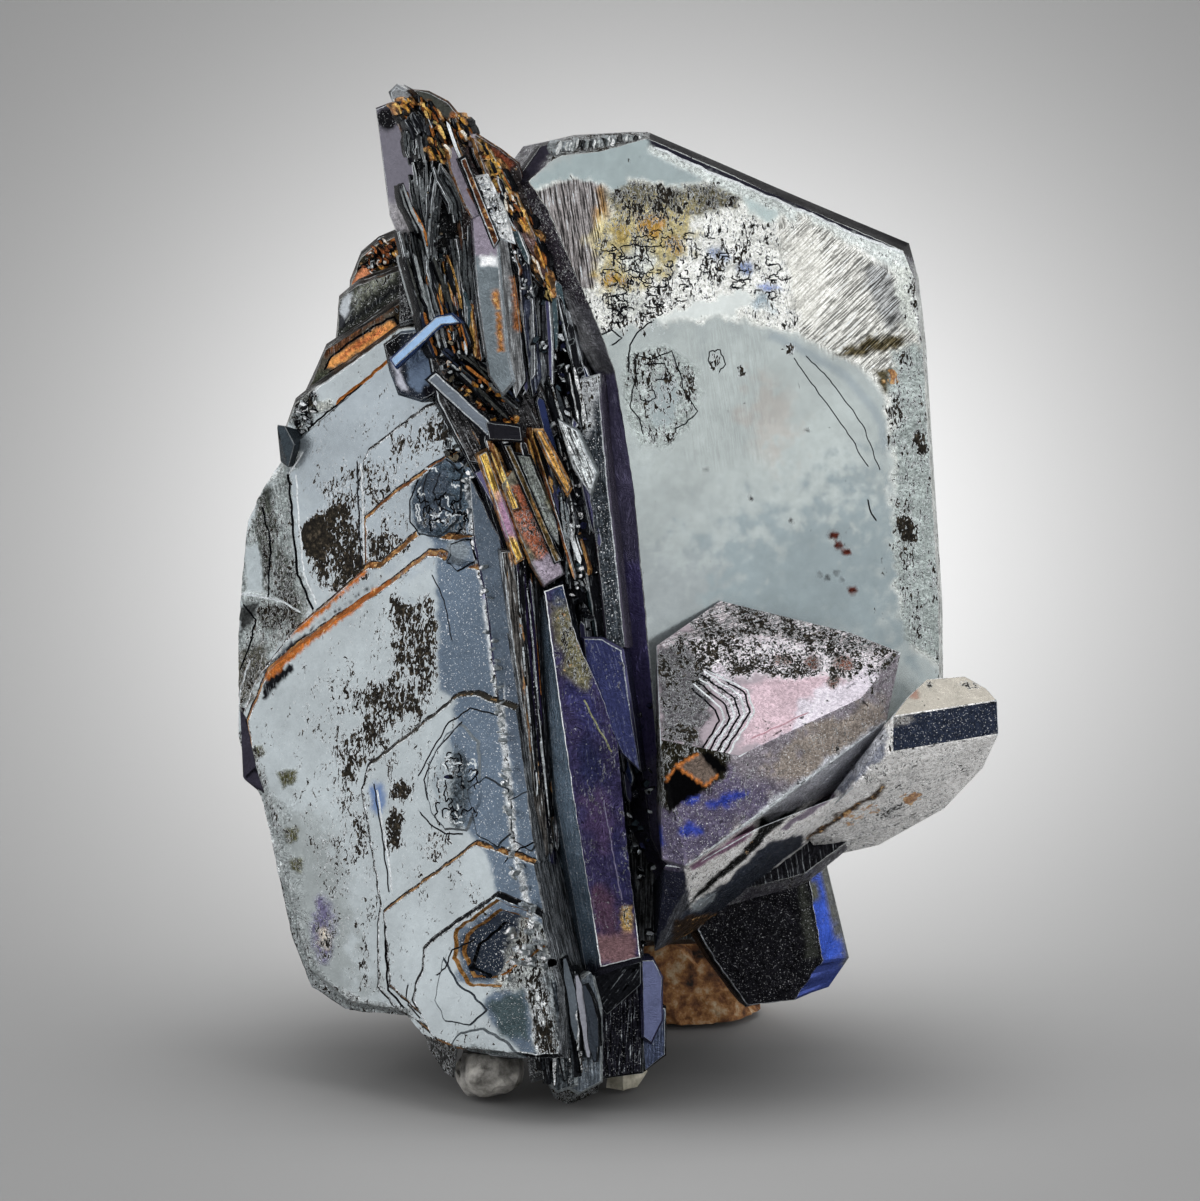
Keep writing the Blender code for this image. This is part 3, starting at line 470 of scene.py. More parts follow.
def widest_places(points, outline, widest):
    """Where points of the face's outline go on the widest outline."""
    along = np.roll(outline, -1, 0) - outline
    away = points[:, None, :] - outline[None]
    share = np.clip((away * along).sum(-1) / (along ** 2).sum(1), 0.0, 1.0)
    gap = ((away - share[..., None] * along) ** 2).sum(-1)
    best = gap.argmin(1)
    share = share[np.arange(len(points)), best][:, None]
    return widest[best] * (1.0 - share) + np.roll(widest, -1, 0)[best] * share


def long_axis(points):
    """Unit direction in which a flat outline is longest, pointing up."""
    _, _, axes = np.linalg.svd(points - points.mean(0))
    return axes[0] if axes[0][1] > 0 else -axes[0]


def grain_axes(along):
    """Two axes as columns: along the grain and across it."""
    return np.array(((along[0], -along[1]), (along[1], along[0])))


def face_grain(flat, triangles, middles, axes, turns):
    """The place along the grain of each corner of a face's triangles, turned inside some outlines."""
    grain = (flat @ axes)[triangles]
    for angle, outline in turns:
        inside = edge_distance(middles, outline) > 0.0
        grain[inside] = (flat @ grain_axes(toward(radians(angle))))[triangles][inside]
    return grain


def rim_rings(edge_flat, out, rims, top, drop, thickness, glint):
    """Flat points and heights of the rings round a plate's rim, from the front down, and how many slope."""
    rings = [(edge_flat + out * CHAMFER * 0.8, top - CHAMFER)]
    slope_rings = max(1, round(drop / 0.3))
    for number in range(1, slope_rings + 1):
        share = number / slope_rings
        rings.append((edge_flat * (1 - share) + rims * share, (top - CHAMFER) * (1 - share) - drop * share))
    if glint is not None:
        rings.append((rims, -drop - CHAMFER))
    side = thickness - 2.0 * drop
    side_rings = max(1, round(side / 0.35))
    for number in range(1, side_rings + 1):
        rings.append((rims, -drop - side * number / side_rings))
    return rings, slope_rings


def rim_bands(edge_flat, starts, ring_heights):
    """Triangles between each ring and the next, and their places along the rim and down it."""
    after = np.roll(np.arange(len(edge_flat)), -1)
    steps = np.linalg.norm(np.roll(edge_flat, -1, 0) - edge_flat, axis=1)
    arc = np.concatenate(([0.0], np.cumsum(steps)))
    triangles = []
    grain = []
    for upper, lower, high, low in zip(starts, starts[1:], ring_heights, ring_heights[1:]):
        a = np.stack((arc[:-1], high), axis=-1)
        b = np.stack((arc[:-1], low), axis=-1)
        c = np.stack((arc[1:], low[after]), axis=-1)
        d = np.stack((arc[1:], high[after]), axis=-1)
        triangles += [np.stack((upper, lower, lower[after]), axis=-1),
                      np.stack((upper, lower[after], upper[after]), axis=-1)]
        grain += [np.stack((a, b, c), axis=1), np.stack((a, c, d), axis=1)]
    return np.concatenate(triangles), np.concatenate(grain)


def both_outlines(face, outline, widest, drop, bevel):
    """The outline of a plate's face and its widest outline, both flat and counterclockwise."""
    raw = np.array([face.at(x, z) for x, z in outline])
    clockwise = not np.allclose(turned_left(raw), raw)
    raw = raw[::-1] if clockwise else raw
    if not widest:
        return raw, raw + outward(raw) * bevel
    wide = np.array([face.at(x, z, -drop) for x, z in widest])
    return raw, wide[::-1] if clockwise else wide


def plate(face, outline, thickness, drop, front, widest=None, bevel=0.2, patches=(), rim=None,
          rim_patches=(), back=None, relief=None, step=0.3, layers=0.03, glint=None, grain=None, turns=(),
          late=(), seed=1):
    """A plate with a detailed front, sloping layered rims and a rough back.

    The outline is the edge of the front face and the widest outline lies lower by drop. Both are (x, z) as
    seen from the front. front, rim and back are looks, and glint is the look of a painted highlight along the
    narrow edge of the face and along the widest outline.
    The late patches also cover risers and cracks. The grain runs along the face's longest axis, or at an
    angle in degrees, and turns are (angle, outline) where it runs another way.
    """
    rim = front if rim is None else rim
    back = rim if back is None else back
    relief = relief or Relief(face)
    raw, wide = both_outlines(face, outline, widest, drop, bevel)
    border_line = wander(raw, step, min(0.05, mean_width(raw) * 0.1), seed)
    flat, triangles = filled(border_line, relief.lines(), step, seed)
    looks = painted(face.place(flat, relief.terrace_heights(flat)), front, patches)
    heights = relief.heights(flat, looks)
    places = face.place(flat, heights)
    face_looks = relief.paint_edges(flat[triangles].mean(1), looks[triangles])
    if late:
        shape = face_looks.shape
        face_looks = painted(places[triangles].reshape(-1, 3), face_looks.reshape(-1, LOOK_SIZE), late)
        face_looks = face_looks.reshape(shape)
    axes = grain_axes(long_axis(raw) if grain is None else toward(radians(grain)))
    middles = pixels_of(places[triangles].mean(1))
    front_grain = face_grain(flat, triangles, middles, axes, turns)

    edge = border(triangles)
    edge_flat = flat[edge]
    out = outward(edge_flat)
    top = heights[edge]
    rings, slope_rings = rim_rings(edge_flat, out, widest_places(edge_flat, raw, wide), top, drop, thickness, glint)
    ring_places = []
    ring_heights = [top]
    for ring_flat, height in rings:
        height = np.broadcast_to(height, len(ring_flat))
        cell = np.column_stack((ring_flat * 0.12, height * 3.1 + seed))
        ring_flat = ring_flat + out * (ripple(cell, 1.0, seed, 2) * layers)[:, None]
        ring_places.append(face.place(ring_flat, height))
        ring_heights.append(height)
    back_flat, back_triangles = filled(edge_flat, [], max(step * 2.0, 0.5), seed + 1)
    back_triangles = back_triangles[:, ::-1]
    bumps = flat_ripple(back_flat, 0.5, seed) * 0.12
    ring_heights.append(bumps[:len(edge)] - thickness)

    count = len(edge)
    first = len(places)
    all_places = np.concatenate([places] + ring_places + [face.place(back_flat, bumps - thickness)])
    starts = [edge] + [np.arange(count) + first + count * number for number in range(len(rings) + 1)]
    rim_triangles, rim_grain = rim_bands(edge_flat, starts, ring_heights)
    rim_looks = painted(all_places, rim, rim_patches)[rim_triangles]
    if glint is not None:
        rim_looks[:2 * count] = glint
        lower = 2 * count * (slope_rings + 1)
        rim_looks[lower:lower + 2 * count] = glint
    back_looks = np.tile(back, (len(back_triangles), 3, 1))
    return Solid(
        all_places,
        np.concatenate((triangles, rim_triangles, back_triangles + first + count * len(rings))),
        np.concatenate((face_looks, rim_looks, back_looks)),
        np.concatenate((front_grain, rim_grain, (back_flat @ axes)[back_triangles])))


def hull(corners, chamfer):
    """The flat polygons of the hull of some corners, with narrow faces along its edges."""
    mesh = bmesh.new()
    for corner in corners:
        mesh.verts.new(corner)
    result = bmesh.ops.convex_hull(mesh, input=mesh.verts)
    spare = {item for key in ("geom_interior", "geom_unused") for item in result[key]}
    loose = [item for item in spare if isinstance(item, bmesh.types.BMVert)]
    bmesh.ops.delete(mesh, geom=loose, context="VERTS")
    bmesh.ops.dissolve_limit(mesh, angle_limit=FLAT, verts=mesh.verts, edges=mesh.edges)
    bmesh.ops.bevel(mesh, geom=mesh.edges, offset=chamfer, segments=1, profile=0.5, affect="EDGES")
    bmesh.ops.recalc_face_normals(mesh, faces=mesh.faces)
    polygons = [(np.array(face.normal), [tuple(vert.co) for vert in face.verts]) for face in mesh.faces]
    mesh.free()
    return polygons


def divided(loop, step):
    """The loop in space with a point every step, the same on an edge whichever way it is followed."""
    places = []
    for a, b in zip(loop, loop[1:] + loop[:1]):
        first, last = sorted((a, b))
        count = max(1, round(float(np.linalg.norm(np.subtract(last, first))) / step))
        shares = [number / count for number in range(count)] if first == a \
            else [(count - number) / count for number in range(count)]
        for share in shares:
            places.append(tuple(f + (l - f) * share for f, l in zip(first, last)))
    return places


def nearest_facet(normal, facets):
    """The facet whose direction is nearest to a normal, if one is near enough."""
    own = None
    for facet in facets:
        aim = Face((0, 0, 0), facet[0], facet[1]).normal
        if aim @ normal > FACET_MATCH and (own is None or aim @ normal > own[0]):
            own = (aim @ normal, facet)
    return own and own[1]


def block(corners, base, facets=(), everywhere=(), edge_look=None, step=0.3, chamfer=0.05, rough=0.03,
          seed=1):
    """A crystal that is the hull of its corners.

    A facet is (azimuth, lean, look, patches, terraces, cracks) for the side that looks nearest that way. The
    patches of everywhere are for the other sides.
    """
    pieces = []
    for number, (normal, loop) in enumerate(hull(corners, chamfer)):
        azimuth = degrees(atan2(normal[0], -normal[1]))
        lean = degrees(asin(max(-1.0, min(1.0, normal[2]))))
        face = Face(loop[0], azimuth, lean)
        edges = np.array(divided(loop, step))
        flat_loop = np.array([face.flatten(place) for place in edges])
        after = np.roll(flat_loop, -1, 0)
        area = abs((flat_loop[:, 0] * after[:, 1] - flat_loop[:, 1] * after[:, 0]).sum()) / 2.0
        own = nearest_facet(normal, facets)
        narrow = area < chamfer * 1.6 * np.linalg.norm(flat_loop.max(0) - flat_loop.min(0))
        main, patches, terraces, cracks = own[2:] if own else (base, everywhere, (), ())
        # Narrow faces along the hull's edges take the edge look; on the shelf that is a painted highlight.
        if narrow and edge_look is not None:
            main, patches, terraces, cracks = edge_look, (), (), ()
        relief = Relief(face, terraces, (), cracks, coarse=rough * 3.0)
        flat, triangles = filled(flat_loop, relief.lines(), step, seed + number)
        looks = painted(face.place(flat), main, patches)
        heights = relief.heights(flat, looks)
        heights += flat_ripple(flat, 0.7, seed + number) * rough
        heights *= np.clip(edge_distance(flat, flat_loop) / CALM_EDGE, 0.0, 1.0)
        places = face.place(flat, heights)
        places[:len(edges)] = edges
        face_looks = relief.paint_edges(flat[triangles].mean(1), looks[triangles])
        axes = grain_axes(long_axis(flat_loop))
        pieces.append(Solid(places, triangles, face_looks, (flat @ axes)[triangles]))
    whole = joined(pieces)
    places, index = np.unique(whole.places.round(6), axis=0, return_inverse=True)
    return Solid(places, index.reshape(-1)[whole.triangles], whole.looks, whole.grain)


def stone(node, base, step, bumps, grain, seed):
    """A stone's own solid with a fine lumpy surface."""
    mesh = bmesh.new()
    mesh.from_mesh(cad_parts[node].data)
    bmesh.ops.remove_doubles(mesh, verts=mesh.verts, dist=1e-7)
    for _ in range(4):
        long_edges = [edge for edge in mesh.edges if edge.calc_length() > step * MM * 1.4]
        if not long_edges:
            break
        bmesh.ops.subdivide_edges(mesh, edges=long_edges, cuts=1)
        bmesh.ops.triangulate(mesh, faces=mesh.faces)
    mesh.normal_update()
    places = np.array([vert.co / MM for vert in mesh.verts]) - MOVED
    normals = np.array([vert.normal for vert in mesh.verts])
    triangles = np.array([[vert.index for vert in face.verts] for face in mesh.faces])
    mesh.free()
    fold = 1.0 - np.abs(ripple(places, grain, seed, 4)) * 2.0
    places = places + normals * (fold * bumps)[:, None]
    looks = np.tile(base, (len(triangles), 3, 1))
    return Solid(places, triangles, looks, places[triangles][..., :2])


def placed(name, data):
    """A new object in the scene."""
    thing = bpy.data.objects.new(name, data)
    bpy.context.scene.collection.objects.link(thing)
    return thing


def piece(name, solids, material, node):
    """Makes one named object of the solids, which stands for a solid of the frame."""
    whole = joined(solids)
    used, index = np.unique(whole.triangles, return_inverse=True)
    triangles = index.reshape(-1, 3)
    places = np.clip((whole.places[used] + MOVED) * MM, CAD_LOW, CAD_HIGH)
    mesh = bpy.data.meshes.new(name)
    mesh.vertices.add(len(places))
    mesh.vertices.foreach_set("co", places.astype(np.float32).ravel())
    mesh.loops.add(triangles.size)
    mesh.loops.foreach_set("vertex_index", triangles.astype(np.int32).ravel())
    mesh.polygons.add(len(triangles))
    mesh.polygons.foreach_set("loop_start", np.arange(0, triangles.size, 3, dtype=np.int32))
    mesh.update(calc_edges=True)
    looks = whole.looks.reshape(-1, LOOK_SIZE)
    for attribute, columns in (("tone", looks[:, :4]), ("marks", looks[:, 4:])):
        layer = mesh.attributes.new(attribute, "FLOAT_COLOR", "CORNER")
        layer.data.foreach_set("color", columns.astype(np.float32).ravel())
    layer = mesh.attributes.new("grain", "FLOAT_VECTOR", "CORNER")
    grain = np.column_stack((whole.grain.reshape(-1, 2), np.zeros(triangles.size)))
    layer.data.foreach_set("vector", grain.astype(np.float32).ravel())
    mesh.shade_smooth()
    mesh.set_sharp_from_angle(angle=SHARP)
    mesh.materials.append(material)
    thing = placed(name, mesh)
    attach(thing, "root")
    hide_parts(node)


def strip(line, width):
    """The outline of a stripe of that width along a line, in pixels."""
    line = np.array(line, float)
    side = beside(line, width)
    return np.concatenate((line + side, (line - side)[::-1]))


def looped(x, y, across, along, seed, turn=1.0):
    """A wavering line round a place in pixels, all the way round or for a part of the turn."""
    points = []
    for number in range(15):
        angle = 2.0 * pi * turn * number / 14 + seed
        swell = 1.0 + 0.6 * noise.noise(Vector((cos(angle) * 2.1, sin(angle) * 2.1, seed)))
        points.append((x + across * swell * cos(angle), y + along * swell * sin(angle)))
    return points


PALE = look((180, 189, 193), mottle=0.21, rough=0.05)
GREY = look((138, 145, 148), mottle=0.25, rough=0.45)
SLATE = look((98, 112, 128), rough=0.14, painted_glints=0.8)
BLACK = look((28, 29, 32), rough=0.35, striae=0.3)
COAL = look((34, 34, 38), rough=0.2)
ORANGE = look((140, 84, 42), stain=0.6, rough=0.5, mottle=0.4)
BROWN = look((86, 66, 48), stain=0.6, rough=0.5)
WHITE = look((222, 227, 230), rough=0.3)
LAYERS = look((110, 114, 118), rough=0.35, striae=0.9)
VIOLET = look((70, 70, 98), rough=0.08, striae=0.2)

# The three directions that most crystals share: a point on the face, azimuth and lean back.
LEFT_FACE = ((-4.6, -12.0, 24.2), -28, 9)
RIGHT_FACE = ((1.3, -8.5, 29.4), 20, 8)
SPINE_FACE = ((-5.8, -9.8, 34.5), 5, 9)
RIDGE_FACE = ((-3.1, -16.3, 4.7), -8, 9)

BOOK_LEVEL = -1.5
BOOK_THICKNESS = 8.5
BOOK_OUTLINE = [
    (-19.1, 37.4), (-13.5, 42.6), (-9.8, 43.9), (-8.3, 40.8), (-7.1, 36.3), (-6.8, 32.4), (-6.0, 28.3),
    (-5.2, 23.8), (-4.6, 19.2), (-3.9, 14.5), (-3.1, 10.7), (-2.3, 7.6), (-2.2, 3.6), (-5.2, 3.2),
    (-9.4, 3.1), (-11.0, 3.5), (-12.1, 4.6), (-16.3, 4.4), (-18.3, 5.4), (-19.5, 8.2), (-20.4, 12.0),
    (-21.0, 15.7), (-22.3, 17.5), (-22.8, 19.6), (-22.8, 25.3), (-22.6, 28.5), (-22.2, 32.3),
    (-21.3, 34.3), (-20.0, 36.3),
]
# Relief of the book, as Relief takes it.
BOOK_TERRACES = [
    (0.4, 0.14, look((104, 100, 92), rough=0.3, stain=0.25),
     [(363, 462), (368, 451), (425, 408), (440, 404), (470, 395), (500, 470), (515, 600), (366, 600)]),
    (0.7, 0.24, look((140, 88, 50), stain=0.5, rough=0.5),
     [(366, 519), (400, 490), (447, 458), (478, 452), (505, 540), (515, 600), (366, 600)]),
    (1.0, 0.36, look((110, 78, 50), stain=0.56, rough=0.5),
     [(291, 634), (368, 568), (380, 568), (420, 535), (428, 533), (440, 538), (502, 548), (516, 620),
      (553, 862), (590, 1080), (525, 1078), (430, 1038), (345, 1004), (300, 955), (277, 860), (262, 800),
      (248, 760), (242, 715), (256, 680)]),
    (1.5, 0.36, ORANGE,
     [(268, 672), (300, 645), (390, 585), (427, 556), (437, 556), (452, 564), (470, 568), (512, 580),
      (541, 780), (566, 930), (588, 1080), (525, 1074), (440, 1038), (413, 1012), (348, 1000), (310, 968),
      (282, 870), (268, 802), (256, 765), (248, 722)]),
    (1.9, 0.2, look((84, 80, 72), rough=0.4, stain=0.36),
     [(457, 697), (475, 695), (493, 702), (533, 715), (553, 870), (580, 1075), (530, 1070), (440, 1033),
      (394, 1006), (378, 986), (378, 925), (381, 905), (372, 850), (362, 790), (368, 767), (409, 736)]),
    (2.3, 0.2, BROWN,
     [(475, 845), (500, 852), (552, 870), (576, 1060), (535, 1062), (445, 1028), (412, 1005), (390, 985),
      (384, 913), (400, 900), (430, 878)]),
    (2.7, 0.22, BLACK,
     [(496, 897), (532, 911), (560, 930), (572, 1052), (540, 1055), (455, 1046), (432, 1036), (413, 1000),
      (416, 985), (423, 970), (424, 950), (434, 940), (450, 929)]),
]
DULL = look((60, 66, 72), rough=0.6)
GOLD_EDGE = look((168, 118, 60), stain=0.55, rough=0.2)
BOOK_ISLANDS = [
    (-0.3, 0.12, GOLD_EDGE,
     [(454, 958), (457, 930), (497, 901), (530, 914), (524, 945), (500, 985), (470, 984)]),
    (-0.3, 0.12, GOLD_EDGE,
     [(462, 955), (465, 936), (498, 911), (524, 920), (518, 942), (494, 976), (472, 976)]),
    (-0.25, 0.1, BLACK, [(468, 968), (474, 946), (500, 924), (514, 930), (506, 950), (486, 976)]),
    (0.12, 0.1, DULL,
     [(414, 500), (425, 476), (446, 460), (462, 474), (458, 520), (440, 536), (420, 532)]),
    (0.08, 0.08, look((70, 78, 84), rough=0.6),
     [(430, 512), (438, 494), (456, 496), (458, 520), (444, 532)]),
    (0.1, 0.1, BLACK, [(452, 545), (470, 540), (476, 560), (462, 570), (452, 562)]),
    (0.14, 0.14, look((120, 128, 134), rough=0.3),
     [(428, 790), (432, 762), (448, 735), (462, 726), (478, 742), (480, 800), (466, 829), (446, 828),
      (433, 812)]),
    (0.1, 0.1, DULL, [(470, 790), (486, 778), (508, 790), (512, 830), (498, 846), (478, 834)]),
    (0.1, 0.1, DULL, [(512, 800), (530, 792), (540, 815), (532, 850), (515, 840)]),
    (0.12, 0.14, look((90, 96, 100), rough=0.4),
     [(452, 1046), (462, 1034), (484, 1030), (508, 1044), (520, 1060), (500, 1062), (470, 1052)]),
    (0.1, 0.1, DULL,
     [(436, 1000), (444, 960), (458, 985), (474, 996), (486, 1010), (470, 1024), (446, 1020)]),
]
THIN_LINE = look((48, 50, 54), rough=0.3)
# White cracks are painted highlights beside the dark lines.
BOOK_CRACKS = [
    (0.12, 0.16, BLACK, [(288, 475), (293, 530), (298, 575), (313, 609)]),
    (0.05, 0.12, WHITE, [(289, 474), (296, 464), (303, 452)]),
    (0.04, 0.1, THIN_LINE, [(357, 462), (359, 520), (361, 566)]),
    (0.02, 0.1, WHITE, [(361, 464), (363, 520), (364, 560)]),
    (0.03, 0.12, WHITE, [(377, 790), (387, 850), (392, 890)]),
    (0.04, 0.1, THIN_LINE, [(418, 776), (446, 726), (470, 708), (500, 716)]),
    (0.04, 0.1, THIN_LINE, [(428, 800), (424, 780), (436, 752), (462, 722)]),
    (0.03, 0.1, WHITE, [(296, 476), (300, 530), (304, 575), (316, 604)]),
    (0.04, 0.1, THIN_LINE, [(430, 470), (424, 492), (428, 512), (440, 520)]),
    (0.04, 0.1, THIN_LINE, [(440, 474), (434, 492), (440, 506), (452, 512)]),
    (0.04, 0.1, THIN_LINE, [(444, 412), (452, 430), (450, 450), (458, 462)]),
    (0.06, 0.1, THIN_LINE, [(374, 784), (384, 850), (389, 892)]),
    (0.08, 0.14, BLACK, [(385, 925), (386, 960), (388, 990), (404, 1008)]),
    (0.04, 0.1, THIN_LINE, [(408, 985), (408, 1005), (420, 1018)]),
    (0.04, 0.08, THIN_LINE, [(452, 640), (444, 600), (432, 575)]),
    (0.06, 0.12, BLACK, [(263, 508), (270, 540), (268, 598)]),
    (0.06, 0.12, WHITE, [(240, 594), (258, 596), (284, 602), (300, 612)]),
    (0.06, 0.12, WHITE, [(250, 660), (240, 690), (238, 712)]),
    (0.06, 0.12, BLACK, [(243, 604), (256, 620), (248, 650), (240, 670)]),
    (0.05, 0.1, BLACK, [(418, 480), (410, 500), (410, 522), (420, 535)]),
    (0.06, 0.1, BLACK, [(420, 812), (430, 824), (446, 834), (462, 834)]),
    (0.05, 0.1, BLACK, [(505, 862), (520, 848), (536, 842), (544, 836)]),
    (0.05, 0.1, THIN_LINE, [(437, 975), (446, 968), (452, 950), (470, 940)]),
    (0.05, 0.12, GOLD_EDGE, [(500, 975), (520, 962), (545, 946)]),
]
# Short arcs that cover two rough islands: zone and count.
ARC_ZONES = [
    ([(414, 500), (424, 478), (446, 462), (464, 474), (468, 524), (440, 534), (420, 530)], 26),
    ([(436, 772), (462, 744), (476, 770), (474, 812), (462, 828), (444, 824)], 20),
]


def arc_lines():
    """Dark arcs, and white arcs of painted highlight, that curl through the rough islands."""
    chance = np.random.default_rng(18)
    rows = []
    for zone, count in ARC_ZONES:
        zone = np.array(zone, float)
        for number in range(count):
            middle = zone.min(0) + chance.uniform(0.1, 0.9, 2) * (zone.max(0) - zone.min(0))
            if edge_distance(middle[None], zone, 1.0)[0] < 0.0:
                continue
            line = looped(*middle, chance.uniform(4.0, 9.0), chance.uniform(6.0, 12.0), chance.uniform(0.0, 6.0),
                          chance.uniform(0.25, 0.45))
            rows.append((0.05, 0.1, WHITE if number % 3 == 0 else BLACK, line))
    return rows


# Palettes of small crystals. Each entry: front, rim, glint.
# Their near-white fronts are painted glints.
CHIP_LOOKS = {
    "white": [(look((236, 240, 244), rough=0.5), GREY, None),
              (look((160, 166, 172), rough=0.6), BLACK, None),
              (look((250, 252, 255), rough=0.3), GREY, None),
              (look((60, 64, 70), rough=0.5), BLACK, None),
              (look((205, 210, 214), rough=0.8, mottle=0.4), BLACK, None), (BLACK, BLACK, None),
              (look((250, 252, 255), rough=0.6), BLACK, None)],
    "dark": [(look((40, 42, 44), rough=0.6, painted_glints=0.8), BLACK, None), (BLACK, GREY, None),
             (look((92, 94, 92), rough=0.8), BLACK, None), (look((26, 26, 28), rough=0.5), BLACK, None),
             (look((120, 112, 96), rough=0.8, stain=0.3), BLACK, None),
             (look((180, 186, 188), rough=0.6), BLACK, None)],
    "gold": [(look((186, 128, 54), stain=0.3, rough=0.6), BROWN, None),
             (look((150, 88, 44), rough=0.7), BLACK, None),
             (look((210, 160, 84), rough=0.6), BROWN, None), (look((44, 36, 32), rough=0.6), BLACK, None),
             (look((112, 66, 42), rough=0.8, stain=0.4), BLACK, None),
             (look((214, 208, 200), rough=0.8), BROWN, None)],
    "seam": [(look((236, 240, 244), rough=0.5), GREY, None),
             (look((204, 210, 214), rough=0.6), GREY, None),
             (look((250, 252, 255), rough=0.3), GREY, None),
             (look((150, 158, 166), rough=0.6), GREY, None)],
    "spark": [(look((30, 32, 36), rough=0.6, painted_glints=1.0), BLACK, None),
              (look((52, 62, 68), rough=0.5), BLACK, None),
              (look((190, 196, 200), rough=0.6), BLACK, None),
              (look((34, 36, 56), rough=0.4), BLACK, None), (BLACK, GREY, None)],
}
LEFT_STRIP = [
    (236, 640), (240, 540), (262, 490), (283, 457), (302, 452), (291, 475), (298, 560), (313, 612),
    (291, 634), (256, 680), (234, 700),
]
SHADED = look((84, 88, 82), rough=1.0, striae=0.3, mottle=0.42)
LEFT_STRIP_PATCHES = [
    ("look", look((150, 158, 158), rough=0.7, striae=0.3, mottle=0.34), 8, LEFT_STRIP),
    ("look", SHADED, 6, [(256, 500), (270, 486), (276, 520), (272, 560), (262, 590), (254, 560)]),
    ("look", SHADED, 6, [(276, 540), (288, 560), (300, 600), (300, 628), (284, 620), (276, 580)]),
    ("look", SHADED, 5, oval(272, 618, 14, 11)),
    ("look", look((62, 64, 56), rough=1.0, mottle=0.5), 4, oval(273, 612, 8, 6)),
    ("look", look((176, 186, 190), rough=0.1), 4,
     [(244, 545), (257, 540), (262, 560), (262, 590), (246, 596)]),
    ("look", look((206, 212, 212), rough=0.6), 3, strip([(266, 480), (284, 466), (300, 452)], 5)),
    ("look", look((196, 204, 206), rough=0.5), 3, strip([(243, 594), (262, 593), (280, 602)], 4)),
    ("look", look((58, 60, 60), rough=0.6), 4, [(238, 606), (262, 600), (252, 624), (240, 640)]),
    ("look", look((92, 92, 84), rough=0.9, mottle=0.4, stain=0.2), 7,
     [(232, 650), (262, 640), (270, 668), (250, 700), (232, 720)]),
    ("look", look((56, 60, 68), rough=0.4), 3,
     [(264, 670), (292, 640), (296, 646), (286, 664), (266, 684)]),
]
DARK_BAND = [
    (436, 562), (432, 540), (412, 520), (414, 490), (438, 460), (478, 452), (505, 540), (545, 850),
    (600, 1010), (590, 1100), (530, 1090), (520, 1050), (488, 1020), (486, 1000), (500, 985), (460, 984),
    (455, 930), (498, 900), (492, 868), (484, 850), (468, 832), (452, 790), (452, 730), (456, 700),
    (440, 690), (437, 600),
]
BRIGHT_SEAM = [
    (468, 480), (474, 520), (480, 560), (488, 600), (494, 660), (500, 700), (508, 780), (515, 850),
    (526, 900), (545, 960),
]
